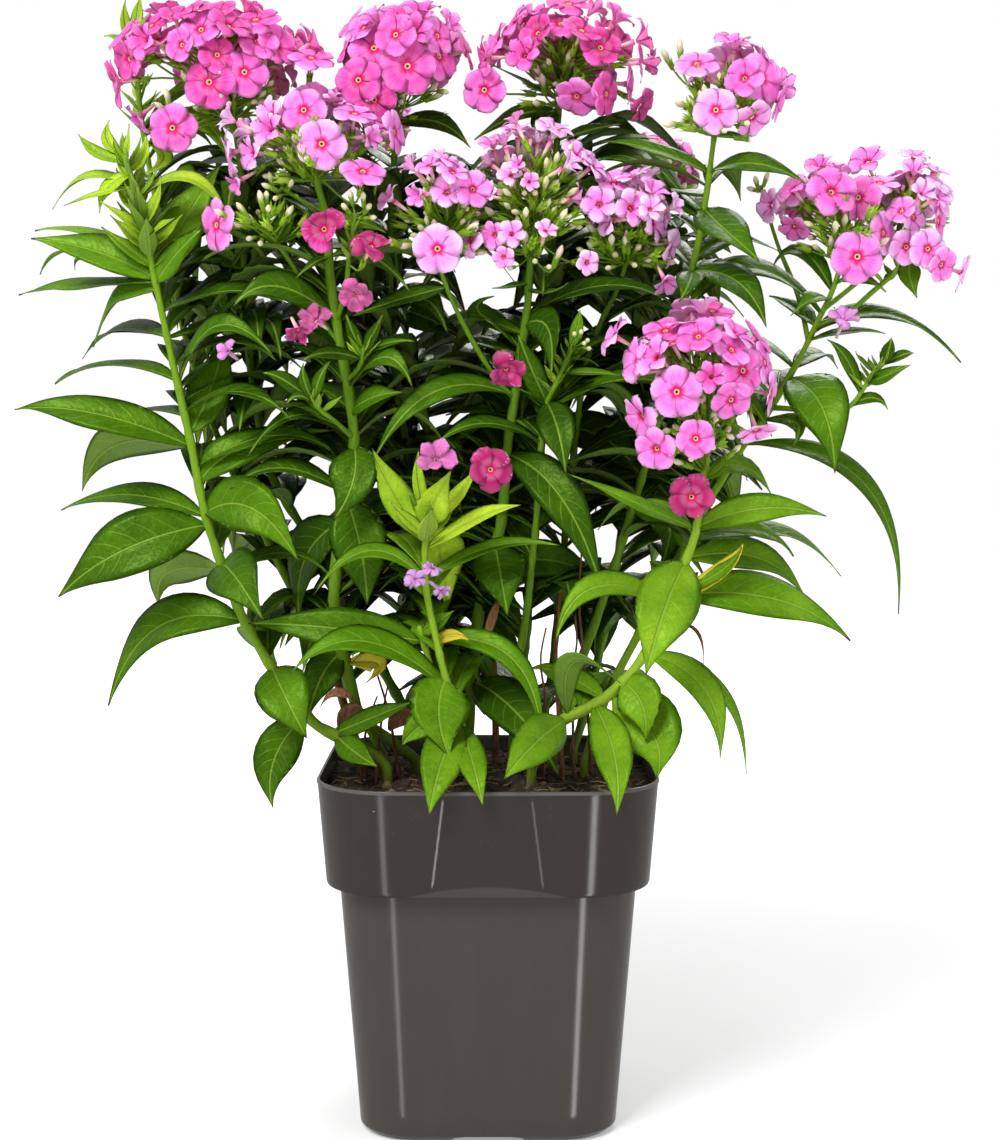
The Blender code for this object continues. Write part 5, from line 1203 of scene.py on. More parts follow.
class Gathered:
    """Points, faces and looks of one piece, gathered before its mesh is made.

    A point's place is what the materials draw on: for a leaf the distance from
    the midrib, the share of its length and the share of its half width.
    Its tint is brightness, underside and age.
    """

    def __init__(self):
        self.points = []
        self.faces = []
        self.places = []
        self.tints = []
        self.slots = []

    def add(self, body, slot=0):
        points, faces, places, tints = body
        first = len(self.points)
        self.points += points
        self.faces += [tuple(first + k for k in face) for face in faces]
        self.places += places
        self.tints += tints
        self.slots += [slot] * len(faces)

    def add_plain(self, points, faces):
        """Adds a body whose material needs no place or tint."""
        self.add((points, faces, [PLAIN] * len(points), [PLAIN] * len(points)))

    def build(self, name, materials, node_slot, nodes=()):
        mesh = bpy.data.meshes.new(name)
        mesh.from_pydata([p * MM for p in self.points], [], self.faces)
        for title, values in (("place", self.places), ("tint", self.tints)):
            attribute = mesh.attributes.new(title, "FLOAT_VECTOR", "POINT")
            attribute.data.foreach_set("vector", [number for value in values for number in value])
        for material in materials:
            mesh.materials.append(material)
        mesh.polygons.foreach_set("material_index", self.slots)
        mesh.shade_smooth()
        thing = new_object(name, mesh)
        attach(thing, "root")
        if nodes:
            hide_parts(*nodes)
        return thing


def ring_quads(rings, sides):
    """Faces of a tube of rings whose points turn forward round its course, with flat ends."""
    faces = []
    for ring in range(rings - 1):
        low = ring * sides
        high = low + sides
        for k in range(sides):
            n = (k + 1) % sides
            faces.append((low + k, low + n, high + n, high + k))
    faces.append(tuple(range(sides - 1, -1, -1)))
    last = (rings - 1) * sides
    faces.append(tuple(range(last, last + sides)))
    return faces


def tube_body(points, radii, sides, places, tint):
    """Round body along points, one radius and one place for each."""
    across = Vector((1.0, 0.13, 0.0))
    made = []
    marks = []
    for i, point in enumerate(points):
        ahead = (points[min(i + 1, len(points) - 1)] - points[max(i - 1, 0)]).normalized()
        across = across - ahead * across.dot(ahead)
        if across.length < 1e-4:
            across = ahead.orthogonal()
        across.normalize()
        other = ahead.cross(across)
        for k in range(sides):
            angle = math.tau * k / sides
            made.append(point + spoke(across, other, angle) * radii[i])
            marks.append(places[i])
    return made, ring_quads(len(points), sides), marks, [tint] * len(made)


def sheet_body(rows, normals, places, brightness, age, thickness):
    """Thin closed body under a grid of points; its lower side is marked as underside."""
    columns = len(rows[0]) - 1
    points = []
    marks = []
    tints = []
    for row, row_normals, row_places in zip(rows, normals, places):
        points += row
        marks += row_places
        tints += [(brightness, 0.0, age)] * len(row)
        for k in range(columns - 1, 0, -1):
            edge = abs(2.0 * k / columns - 1.0)
            points.append(row[k] - row_normals[k] * (thickness * (1.0 - edge ** 4)))
            marks.append(row_places[k])
            tints.append((brightness, 1.0, age))
    return points, ring_quads(len(rows), 2 * columns), marks, tints


# Blades of the looks: their grid, coarser for deep leaves, their waved margins and folded halves.
LEAF_COLUMNS = 8
LEAF_ROW_STEP = 4.8
DEEP_COLUMNS = 4
DEEP_ROW_STEP = 9.0
LEAF_THICKNESS = 0.32
PETIOLE_HALF = 0.75
RIB_DEPTH = 0.55
LEAST_ROWS = 9
MOST_ROWS = 26
LEAST_HALF = 0.12
MARGIN_WAVE = (0.02, 0.05)
MARGIN_WAVES = 9.0
MARGIN_OFFSET = 0.9
BLADE_TWIST = 0.12
HALF_FOLD = (0.26, 0.42)
HALF_ARCH = 0.5
GROOVE_DEPTH = 0.25
GROOVE_HALF = 0.7
SLOPE_SHARE = 0.7
COLUMN_CROWDING = 1.15


def leaf_body(leaf, tone, age, rng):
    """Blade with a folded midrib, arched halves, wavy margins and a drawn-out tip."""
    root, middle, tip = leaf["line"]
    length = (middle - root).length + (tip - middle).length
    deep = leaf.get("deep", False)
    columns = DEEP_COLUMNS if deep else LEAF_COLUMNS
    row_step = DEEP_ROW_STEP if deep else LEAF_ROW_STEP
    rows = max(LEAST_ROWS, min(MOST_ROWS, round(length / row_step)))
    stations = [k / rows for k in range(rows + 1)]
    frames = blade_frames(leaf, stations)
    wave_phase = rng.uniform(0, math.tau)
    wave = rng.uniform(*MARGIN_WAVE)
    twist = rng.uniform(-BLADE_TWIST, BLADE_TWIST)
    fold = rng.uniform(*HALF_FOLD)
    grid = []
    normals = []
    places = []
    for t, (centre, side, normal) in zip(stations, frames):
        half = max(leaf["width"] * 0.5 * blade_width(t), PETIOLE_HALF * (1.0 - t) ** 2, LEAST_HALF)
        angle = twist * t
        turned_side = side * math.cos(angle) + normal * math.sin(angle)
        turned_normal = normal * math.cos(angle) - side * math.sin(angle)
        row = []
        row_normals = []
        row_places = []
        for k in range(columns + 1):
            s = 2.0 * k / columns - 1.0
            s = math.copysign(abs(s) ** COLUMN_CROWDING, s)
            lift = half * (fold * abs(s) - HALF_ARCH * fold * s * s)
            phase = MARGIN_WAVES * t + wave_phase + (MARGIN_OFFSET if s > 0 else 0.0)
            lift += leaf["width"] * wave * s * s * math.sin(phase)
            lift -= GROOVE_DEPTH * (1.0 - t) * math.exp(-(s * half / GROOVE_HALF) ** 2)
            row.append(centre + turned_side * (s * half) + turned_normal * lift)
            slope = math.copysign(fold * SLOPE_SHARE, s) if s else 0.0
            row_normals.append((turned_normal - turned_side * slope).normalized())
            row_places.append((s * half, t, s))
        grid.append(row)
        normals.append(row_normals)
        places.append(row_places)
    body = sheet_body(grid, normals, places, tone, age, LEAF_THICKNESS)
    return body if deep else add_rib(body, stations, frames)


def add_rib(body, stations, frames):
    """Presses the middle of the underside down into a midrib that fades towards the tip."""
    points, faces, marks, tints = body
    ring = 2 * LEAF_COLUMNS
    middle = LEAF_COLUMNS + LEAF_COLUMNS // 2
    for k, (t, blade_frame) in enumerate(zip(stations, frames)):
        spot = k * ring + middle
        points[spot] = points[spot] - blade_frame[2] * (RIB_DEPTH * (1.0 - t))
    return points, faces, marks, tints


# Petals: lengths are shares of a petal's reach, angles are degrees.
PETAL_ROWS = 6
PETAL_COLUMNS = 4
PETAL_THICKNESS = 0.22
PETAL_ROOT = 0.11
PETAL_WIDEST = 0.6
PETAL_HALF_WIDTH = 0.5
PETAL_CLAW = 0.13
OPEN_FLOWER = 66
PETAL_CURL = (0.02, 0.16)
TRUMPET_CURL = -0.1
TRUMPET_FLARE = 26.0
PETAL_WAVE = 0.035
CRUMPLED_WAVE = 0.22
PETAL_DROOP = 7
CRUMPLED_DROOP = (-38, 30)
PETAL_LAP = 0.036
TRUMPET_LAP = 0.09
TIP_NOTCH = 0.05
TIP_NOTCH_HALF = 0.22
EDGE_SHORTENING = 0.04
EDGE_DROP = 0.05
TIP_END = 0.985
TUBE_SIDES = 8


def petal_half(u):
    """Half width of a petal, as a share of its reach, from its claw (0) to its tip (1)."""
    if u < PETAL_WIDEST:
        rise = math.sin(0.5 * math.pi * u / PETAL_WIDEST)
        return PETAL_CLAW + (PETAL_HALF_WIDTH - PETAL_CLAW) * rise
    past = (u - PETAL_WIDEST) / (1.0 - PETAL_WIDEST)
    return PETAL_HALF_WIDTH * max(0.0, 1.0 - past ** 2.4) ** 0.5


def petal_body(flower, index, tone, rng):
    """One petal: a broad rounded blade on a claw, lapping over the next one."""
    facing = flower["facing"]
    across, other = flower_axes(facing)
    angle = math.radians(flower["spin"]) + math.tau * index / PETALS
    ray = spoke(across, other, angle)
    side = ray.cross(facing)
    reach = flower["reach"]
    is_open = flower["opening"] > OPEN_FLOWER
    curl = rng.uniform(*PETAL_CURL) if is_open else TRUMPET_CURL
    crumple = flower.get("crumple", 0.0)
    wave = rng.uniform(-PETAL_WAVE, PETAL_WAVE) + crumple * rng.uniform(-CRUMPLED_WAVE, CRUMPLED_WAVE)
    lap = PETAL_LAP if is_open else TRUMPET_LAP
    droop = math.radians(rng.uniform(-PETAL_DROOP, PETAL_DROOP) + crumple * rng.uniform(*CRUMPLED_DROOP))
    shade = rng.random()
    rows = []
    normals = []
    places = []
    for i in range(PETAL_ROWS + 1):
        u = TIP_END * i / PETAL_ROWS
        along = reach * (PETAL_ROOT + (1.0 - PETAL_ROOT) * u)
        half = reach * petal_half(u)
        opening = math.radians(flower["opening"]) + droop * u
        if not is_open:
            opening += math.radians(TRUMPET_FLARE) * u * u
        row = []
        row_normals = []
        row_places = []
        for k in range(PETAL_COLUMNS + 1):
            v = 2.0 * k / PETAL_COLUMNS - 1.0
            notch = TIP_NOTCH * math.exp(-(v / TIP_NOTCH_HALF) ** 2) * u ** 6
            forward = along * (1.0 - notch - EDGE_SHORTENING * v * v * u)
            turn = math.atan2(half * v, forward)
            far = math.hypot(forward, half * v)
            out = ray * math.cos(turn) + side * math.sin(turn)
            lift = reach * (lap * v * (0.25 + 0.75 * u) - curl * u * u + wave * math.cos(3.0 * v) * u
                            - EDGE_DROP * v * v * u)
            row.append(flower["centre"] + facing * (far * math.cos(opening) + lift)
                       + out * (far * math.sin(opening)))
            row_normals.append((facing * math.sin(opening) - out * math.cos(opening)).normalized())
            row_places.append((far / reach, half * v / reach, shade))
        rows.append(row)
        normals.append(row_normals)
        places.append(row_places)
    return sheet_body(rows, normals, places, tone, flower.get("age", 0.0), PETAL_THICKNESS)


def bow(start, end, ahead, share, steps):
    """Points from start to end that leave the end along -ahead, as a stalk meets its flower."""
    control = end - ahead * ((end - start).length * share)
    points = []
    for k in range(steps + 1):
        t = k / steps
        points.append(start * (1 - t) ** 2 + control * (2 * t * (1 - t)) + end * t ** 2)
    return points


# Calyces, corolla tubes, stalks and buds.
CALYX_LENGTH = 7.5
CALYX_TOOTH = 3.2
TOOTH_SPREAD = 2.1
TOOTH_NOTCH = 1.3
CALYX_INSIDE = 0.9
FLOWER_TUBE = 15.0
PEDICEL_RADIUS = 0.55
PEDICEL_TONE = 0.55
CALYX_TONE = 0.68
CALYX_SIZE = 1.1
FULL_BUD = 11.0
LEAST_BUD_SIZE = 0.55


def calyx_body(base, facing, tone, size=1.0):
    """Narrow green cup that ends in five pointed teeth."""
    across, other = flower_axes(facing)
    cup = CALYX_LENGTH - CALYX_TOOTH
    profile = [(0.0, 0.6), (0.12, 1.25), (0.6, 1.35), (1.0, 1.45)]
    sides = 2 * PETALS
    points = []
    places = []
    rays = [spoke(across, other, math.tau * k / sides) for k in range(sides)]
    for share, radius in profile:
        for ray in rays:
            points.append(base + (facing * (cup * share) + ray * radius) * size)
            places.append((radius, 0.4 * share, 0.0))
    for k, ray in enumerate(rays):
        height, radius = (CALYX_LENGTH, TOOTH_SPREAD) if k % 2 == 0 else (cup, TOOTH_NOTCH)
        points.append(base + (facing * height + ray * radius) * size)
        places.append((radius, height / CALYX_LENGTH, 1.0))
    for ray in rays:
        points.append(base + (facing * (cup * 0.9) + ray * CALYX_INSIDE) * size)
        places.append((CALYX_INSIDE, 0.5, 0.0))
    rings = len(profile) + 2
    return points, ring_quads(rings, sides), places, [(tone, 0.0, 0.0)] * len(points)


def bud_body(base, facing, length, pinkness):
    """Closed corolla: a slim tube that swells into a pointed tip."""
    profile = [(0.0, 0.5), (0.18, 0.55), (0.36, 0.7), (0.52, 0.98), (0.66, 1.14), (0.8, 0.96), (0.92, 0.52),
               (1.0, 0.1)]
    swell = 0.85 + 0.055 * length
    points = [base + facing * (share * length) for share, radius in profile]
    radii = [radius * swell for share, radius in profile]
    places = [(2.0, share, pinkness) for share, radius in profile]
    return tube_body(points, radii, TUBE_SIDES, places, (pinkness, 0.0, 0.0))


def throat_body(flower, tone):
    """Corolla tube behind the petals, closed by a sunk throat with a pale rim and a near-black centre that is
    painted shade in its hollow.
    """
    facing = flower["facing"]
    centre = flower["centre"]
    reach = flower["reach"]
    rim = reach * PETAL_ROOT + 0.35
    profile = [(-FLOWER_TUBE * 0.62, 0.75, 0.0), (-FLOWER_TUBE * 0.4, 0.85, 0.3), (-4.0, 1.0, 0.7),
               (-1.5, 1.15, 1.1), (-0.1, rim, 1.5), (0.2, rim * 0.85, 1.6), (0.25, rim * 0.62, 2.1),
               (0.05, rim * 0.46, 2.3), (-0.7, rim * 0.3, 3.0)]
    points = [centre + facing * along for along, radius, mark in profile]
    radii = [radius for along, radius, mark in profile]
    places = [(3.0, mark, 0.0) for along, radius, mark in profile]
    return straight_tube(points, radii, facing, places, (tone, 0.0, flower.get("age", 0.0)))


def straight_tube(points, radii, axis, places, tint):
    """Round body about one fixed axis, whose rings may turn back into a hollow."""
    across, other = flower_axes(axis)
    made = []
    marks = []
    for point, radius, place_mark in zip(points, radii, places):
        for k in range(TUBE_SIDES):
            angle = math.tau * k / TUBE_SIDES
            made.append(point + spoke(across, other, angle) * radius)
            marks.append(place_mark)
    return made, ring_quads(len(points), TUBE_SIDES), marks, [tint] * len(made)


def pedicel_body(seat, base, facing, tone, radius=PEDICEL_RADIUS):
    """Slim stalk that bows from its seat to the foot of a calyx."""
    points = bow(seat, base, facing, 0.45, 6)
    places = [(radius, 0.2, 0.0)] * len(points)
    return tube_body(points, [radius] * len(points), 6, places, (tone, 0.0, 0.0))


def dress_flower(flower, petals, greens, tone, rng):
    """Petals, throat, tube, calyx and stalk of one open flower."""
    for index in range(PETALS):
        petals.add(petal_body(flower, index, tone, rng))
    petals.add(throat_body(flower, tone), 1)
    facing = flower["facing"]
    base = flower["centre"] - facing * FLOWER_TUBE
    if flower["seat"] is not None:
        greens.add(calyx_body(base, facing, CALYX_TONE, CALYX_SIZE))
        greens.add(pedicel_body(flower["seat"], base, facing, PEDICEL_TONE))


def dress_bud(seat, tip, facing, length, petals, greens, pinkness):
    """Closed bud with its calyx and stalk."""
    size = max(LEAST_BUD_SIZE, min(1.0, length / FULL_BUD))
    base = tip - facing * length
    foot = base - facing * size
    petals.add(bud_body(base + facing * (length * 0.1), facing, length * 0.9, pinkness), 1)
    greens.add(calyx_body(foot, facing, CALYX_TONE, size * CALYX_SIZE))
    greens.add(pedicel_body(seat, foot, facing, PEDICEL_TONE, PEDICEL_RADIUS * size))


# Round stems, swollen where a pair of leaves stands.
STEM_LOOK_SIDES = 12
NODE_SWELLING = 0.28
NODE_REACH = 2.6
FINE_STEP = 5.0
LEAST_STEPS = 6


def stem_body(line, radii, knots, tone):
    """Round stem with a slight swelling wherever a pair of leaves stands."""
    first, last = radii
    lengths = [0.0]
    for a, b in zip(line, line[1:]):
        lengths.append(lengths[-1] + (b - a).length)
    sizes = []
    places = []
    for point, along in zip(line, lengths):
        share = along / lengths[-1]
        nearest = min([abs(point.z - knot) for knot in knots] or [math.inf])
        knot = math.exp(-(nearest / NODE_REACH) ** 2)
        sizes.append((first + (last - first) * share) * (1.0 + NODE_SWELLING * knot))
        places.append((knot, along / 100.0, share))
    return tube_body(line, sizes, STEM_LOOK_SIDES, places, (tone, 0.0, 0.0))


def fine_line(points, standing):
    """Smooth centre line for the looks, from the same places as the straight-sided one."""
    length = sum((b - a).length for a, b in zip(points, points[1:]))
    steps = max(LEAST_STEPS, round(length / FINE_STEP))
    return standing_line(points, steps) if standing else smooth_course(points, steps)


def fine_lines():
    """Centre lines of stems and branches, each from its foot to its very top."""
    lines = {}
    for name, (footing, _, seen_course) in STEMS.items():
        lines[name] = fine_line(course_of(footing, seen_course), True)
    for number, (parent, height, _, seen_course) in enumerate(BRANCHES):
        start = point_at_height(lines[parent], height)
        lines["branch_%d" % number] = fine_line([start] + [place(seen) for seen in seen_course], False)
    return lines


def nearest_point(lines, node, target):
    """Nearest point of a leafy stem's own lines, so that a leaf's foot sits on its stem."""
    best = None
    for name, line in lines.items():
        if node_of(name) != node:
            continue
        for low, high in zip(line, line[1:]):
            span = high - low
            share = max(0.0, min(1.0, (target - low).dot(span) / span.length_squared))
            point = low + span * share
            if best is None or (point - target).length < (best - target).length:
                best = point
    return best


# Brightness of each stem's leaves, and the seen height above which its top is young and lime.
STEM_BRIGHTNESS = {
    "left": 0.43, "young_front": 0.58, "right_front": 0.64, "short_front": 0.56, "centre_left": 0.34,
    "centre": 0.3, "right": 0.36, "far_right": 0.4, "centre_right": 0.38, "middle_right": 0.26,
    "back_left": 0.24, "back_centre": 0.2, "back_right": 0.24, "outer_left": 0.42,
    "rear_left": 0.3, "rear_right": 0.3,
}
YOUNG_TOPS = {"left": 440, "young_front": 285, "outer_left": 500, "centre_right": 400}
TONE_SPREAD = 0.09
YOUNG_TONE = 0.93
YOUNG_SPREAD = 0.08
NEAR_YOUNG_TONE = 0.9
NEAR_YOUNG_SPREAD = 0.1
FADE_BELOW_YOUNG = 0.02
# Painted shade: a leaf whose middle lies further back than this, in mm, is darkened by this much per mm.
PAINTED_SHADE_FROM = 10.0
PAINTED_SHADE_PER_MM = 0.003


def leaf_tone(node, leaf, rng):
    """Brightness of a leaf: young tops are lime, the front stems' leaves brighter, and leaves further back
    darkened as painted shade.
    """
    root, middle, _ = leaf["line"]
    tone = STEM_BRIGHTNESS[node] + rng.uniform(-TONE_SPREAD, TONE_SPREAD)
    height = seen_from_front(root)[1]
    if height > YOUNG_TOPS.get(node, math.inf):
        tone = YOUNG_TONE + rng.uniform(-YOUNG_SPREAD, YOUNG_SPREAD)
    if node in YOUNG_TOPS:
        fade = FADE_BELOW_YOUNG * max(0.0, YOUNG_TOPS[node] - height)
        tone = max(tone, NEAR_YOUNG_TONE - fade - NEAR_YOUNG_SPREAD * rng.random())
    # Painted shade deep in the foliage: the further back the leaf's middle lies, the darker the leaf.
    tone -= PAINTED_SHADE_PER_MM * max(0.0, middle.y - PAINTED_SHADE_FROM)
    return max(0.05, min(1.0, tone))


# Tight tufts of young leaves at the tips of shoots without flowers: stem or branch,
# seen height where the tuft begins, number of pairs and length of its lowest leaves.
TUFTS = [("left", 436, 14, 32), ("young_front", 294, 5, 30), ("outer_left", 505, 10, 22),
         ("centre_right", 372, 6, 16), ("branch_1", 388, 4, 18), ("branch_2", 362, 4, 14),
         ("branch_3", 440, 5, 14), ("branch_6", 374, 6, 15), ("branch_7", 428, 4, 14)]
TUFT_TAPER = 0.68
TUFT_RISE = 0.45
TUFT_TONE = (0.72, 0.98)
TUFT_WIDTH = (0.28, 0.36)


def tuft_leaves(lines, rng):
    """Crossed pairs of young leaves, shorter and steeper towards the tip of each shoot."""
    made = []
    for grower, start, pairs, length in TUFTS:
        top = seen_from_front(lines[grower][-1])[1]
        azimuth = rng.uniform(0, math.pi)
        for pair in range(pairs):
            share = pair / pairs
            root = point_at_height(lines[grower], start + (top - start) * share)
            reach = length * (1.0 - TUFT_TAPER * share) * rng.uniform(0.85, 1.1)
            rise = TUFT_RISE + TUFT_RISE * share
            for side in (0.0, math.pi):
                angle = azimuth + side + rng.uniform(-0.2, 0.2)
                out = Vector((math.cos(angle), math.sin(angle), 0.0))
                middle = root + out * (0.36 * reach) + Vector((0, 0, rise * 0.6 * reach))
                tip = root + out * ((0.74 - 0.3 * share) * reach) + Vector((0, 0, (rise + 0.12) * reach))
                leaf = {"line": (root, middle, tip), "width": reach * rng.uniform(*TUFT_WIDTH),
                        "facing": rng.uniform(10, 50), "tone": rng.uniform(*TUFT_TONE)}
                made.append((node_of(grower), leaf))
            azimuth += math.pi / 2
    return made


def small_leaves(courses):
    """Listed leaves that are too small for the solids."""
    listed = listed_entries(SMALL_LEAVES, SMALL_BRANCH_LEAVES)
    return [(node_of(name), listed_leaf(courses[name][0], entry, 0)) for name, entry in listed]


def filling_leaves(crowd, courses, rng):
    """More rule-grown leaves inside the foliage, where the solids leave it open."""
    placed = []
    for name in STEMS:
        points = courses[name][0]
        top = seen_from_front(points[-1])[1]
        height = FILL_FOOT + rng.uniform(0, 20)
        azimuth = rng.uniform(0, math.pi)
        while height < top - FILL_TOP:
            root = point_at_height(points, height)
            length = rng.uniform(*FILL_LENGTH) * length_share(height)
            for side in (0.0, math.pi):
                tries = []
                for turn in LEAF_PAIR_TURNS:
                    leaf = grown_leaf(rng, root, azimuth + side + math.radians(turn), length)
                    if leaf["line"][2].y > FILL_FRONT and stays_hidden(leaf):
                        tries.append(leaf)
                before = len(placed)
                keep_first_clear(crowd, name, tries, placed)
                deep = [leaf for leaf in tries if leaf["line"][2].y > DEEP_LEAF]
                if len(placed) == before and deep:
                    deep[0]["deep"] = True
                    placed.append((name, deep[0]))
            azimuth += math.pi / 2 + rng.uniform(-0.2, 0.2)
            height += rng.uniform(*FILL_STEP)
    return placed


def backing_leaves(courses, rng):
    """Leaves deep in the foliage that close the view through it, dark from their stems' low brightness and
    the painted shade of leaf_tone.
    """
    placed = []
    tries = 0
    while len(placed) < BACKING_COUNT and tries < BACKING_TRIES:
        tries += 1
        name = rng.choice(BACKING_STEMS)
        points = courses[name][0]
        top = seen_from_front(points[-1])[1]
        reach_up = max(30.0, top - 225.0)
        root = point_at_height(points, HIDDEN_FOOT + reach_up * rng.random() ** 0.75)
        length = rng.uniform(*BACKING_LENGTH)
        leaf = grown_leaf(rng, root, rng.uniform(0, math.tau), length)
        leaf["deep"] = True
        leaf["width"] *= BACKING_WIDENING
        if leaf["line"][2].y > BACKING_FRONT and stays_hidden(leaf):
            placed.append((name, leaf))
    return placed


def dress_stems(lines, leaves, greens, rng):
    """One shoot piece and one blade piece for each leafy stem."""
    for stem in STEMS:
        own = [leaf for node, leaf in leaves if node == stem]
        shoot = greens[stem]
        for name, line in lines.items():
            if node_of(name) != stem:
                continue
            radii = STEMS[name][1] if name in STEMS else BRANCHES[int(name.split("_")[1])][2]
            knots = [leaf["line"][0].z for leaf in own]
            shoot.add(stem_body(line, radii, knots, STEM_BRIGHTNESS[stem] + 0.1))
        shoot.build("shoot_" + stem, [stem_material], "leaf", ["stem_" + stem])
        blades = Gathered()
        for leaf in own:
            blades.add(leaf_body(leaf, leaf["tone"], leaf.get("age", 0.0), rng))
        if own:
            blades.build("leaves_" + stem, [leaf_material], "leaf")


# Flower heads: how deep the pink is, from pale (0) to rose (1), how many buds and empty calyces
# stand between the flowers, and how many flowers are added where the listed ones leave room.
HEAD_TONES = {
    "left_top": 0.68, "centre_top": 0.56, "right_top": 0.66, "left_middle": 0.26, "side": 0.5,
    "centre_upper": 0.2, "centre_side": 0.34, "right_middle": 0.16, "right_high": 0.38,
    "far_right": 0.38, "far_right_outer": 0.2, "right_low": 0.42, "rear_left": 0.5, "rear_right": 0.44,
}
LOOSE_BUDS = {
    "left_top": 56, "centre_top": 44, "right_top": 56, "left_middle": 74, "side": 26, "centre_upper": 96,
    "centre_side": 40, "right_middle": 64, "right_high": 44, "far_right": 50, "far_right_outer": 44,
    "right_low": 50, "rear_left": 30, "rear_right": 30,
}
LOOSE_LENGTH = (6.5, 14.0)
LOOSE_REACH = (12.0, 25.0)
EMPTY_SHARE = 0.45
EXTRA_FLOWERS = {
    "left_top": 30, "centre_top": 20, "right_top": 20, "left_middle": 12, "side": 0, "centre_upper": 14,
    "centre_side": 6, "right_middle": 12, "right_high": 8, "far_right": 10, "far_right_outer": 12,
    "right_low": 16, "rear_left": 10, "rear_right": 10,
}
EXTRA_TRIES = 400
EXTRA_SPACING = 0.9
HEAD_WIDENING = {"left_top": 1.85, "centre_top": 1.7, "right_top": 1.75}
PLAIN_WIDENING = 1.5
WIDENING_BACK = 1.45
WIDENING_UP = 1.4
LEAST_SPREAD = 10.0
TRUMPET_SHARE = {"centre_upper": 0.75, "right_middle": 0.75, "left_middle": 0.6, "far_right_outer": 0.5,
                 "right_high": 0.5, "centre_side": 0.5, "far_right": 0.4}
PLAIN_TRUMPET_SHARE = 0.25
WIDE_OPENING = (60, 88)
NARROW_OPENING = (16, 38)
HEAD_CEILING = 566.0


def root_mean_square(values):
    """Usual size of some values, whichever their sign."""
    return (sum(value ** 2 for value in values) / len(values)) ** 0.5


def extra_flowers(head, flowers, line, rng):
    """Rule-grown flowers that round out a head where the listed ones leave room."""
    centres = [flower["centre"] for flower in flowers]
    middle = sum(centres, Vector()) / len(centres)
    widening = (HEAD_WIDENING.get(head, PLAIN_WIDENING), WIDENING_BACK, WIDENING_UP)
    spread = [max(LEAST_SPREAD, root_mean_square([c[i] - middle[i] for c in centres]) * widening[i])
              for i in range(3)]
    made = []
    for _ in range(EXTRA_TRIES):
        if len(made) >= EXTRA_FLOWERS[head]:
            break
        out = direction(rng.uniform(-180, 180), rng.uniform(-8, 80))
        centre = middle + Vector([out[i] * spread[i] for i in range(3)]) * rng.uniform(0.75, 1.0)
        facing = (out + direction(rng.uniform(-180, 180), rng.uniform(-30, 60)) * 0.35).normalized()
        listed = rng.choice(flowers)
        flower = {"centre": centre, "facing": facing, "reach": rng.uniform(0.85, 1.0) * listed["reach"],
                  "opening": listed["opening"], "spin": rng.uniform(0, PETAL_TURN),
                  "seat": nearest_on(line, centre - facing * FLOWER_TUBE, 8)}
        flower["seat_axis"] = (centre - flower["seat"]).normalized()
        if seen_from_front(centre)[1] > HEAD_CEILING or flower["seat_axis"].dot(facing) < 0.1:
            continue
        near = min((centre - other["centre"]).length for other in flowers + made)
        if near > EXTRA_SPACING * flower["reach"]:
            flower["opening"] = rng.uniform(*WIDE_OPENING)
            if rng.random() < TRUMPET_SHARE.get(head, PLAIN_TRUMPET_SHARE):
                flower["opening"] = rng.uniform(*NARROW_OPENING)
            made.append(flower)
    return made


def head_line(line, start_height):
    """Part of a fine line inside its flower head."""
    return [p for p in line if seen_from_front(p)[1] >= start_height - 4.0][-12:] or line[-2:]


def loose_buds(line, count, petals, greens, tone, rng):
    """Small buds and empty calyces that stand between the flowers of a head."""
    for _ in range(count):
        seat = line[rng.randrange(max(1, len(line) - 1))]
        turn = rng.uniform(-180, 180)
        lift = rng.uniform(-5, 80)
        facing = direction(turn, lift)
        length = rng.uniform(*LOOSE_LENGTH)
        reach = rng.uniform(*LOOSE_REACH)
        tip = seat + direction(turn + rng.uniform(-25, 25), lift * 0.8) * reach + facing * length * 0.5
        if rng.random() < EMPTY_SHARE:
            base = tip - facing * length
            greens.add(calyx_body(base, facing, rng.uniform(0.6, 0.85), 1.2))
            greens.add(pedicel_body(seat, base, facing, 0.45, 0.45))
        else:
            dress_bud(seat, tip, facing, length, petals, greens, rng.uniform(0.0, 0.45) * tone + 0.02)


def dress_heads(lines, heads, rng):
    """Each head: its open flowers, its listed buds and what fills the space between them."""
    for head, flowers in heads.items():
        grower = FLOWERS[head][0]
        line = head_line(lines[grower], HEAD_STARTS[grower])
        petals = Gathered()
        greens = Gathered()
        flowers = flowers + extra_flowers(head, flowers, line, rng)
        for flower in flowers:
            tone = max(0.0, min(1.0, HEAD_TONES[head] + rng.uniform(-0.22, 0.22)))
            dress_flower(flower, petals, greens, tone, rng)
        for across, up, depth, turn, lift, length in HEAD_BUDS.get(grower, []):
            tip = place((across, up, depth))
            seat = nearest_on(line, tip, 12) if len(line) > 1 else line[0]
            dress_bud(seat, tip, direction(turn, lift), length, petals, greens, rng.uniform(0.0, 0.3))
        loose_buds(line, LOOSE_BUDS[head], petals, greens, HEAD_TONES[head], rng)
        petals.build("petals_" + head, [petal_material, tube_material], "petal", ["flowers_" + head])
        greens.build("calyces_" + head, [stem_material], "leaf")


def dress_green_buds(lines, greens):
    """Clusters of closed buds on shoots that bear no open flowers yet."""
    petals = Gathered()
    for grower, entries in SHOOT_BUDS.items():
        line = lines[grower][-3:]
        for across, up, depth, turn, lift, length in entries:
            tip = place((across, up, depth))
            dress_bud(nearest_on(line, tip, 8), tip, direction(turn, lift), length, petals,
                      greens[node_of(grower)], 0.0)
    petals.build("young_buds", [petal_material, tube_material], "petal")


SINGLE_OPENING = 62.0
SINGLE_TONE = 1.06


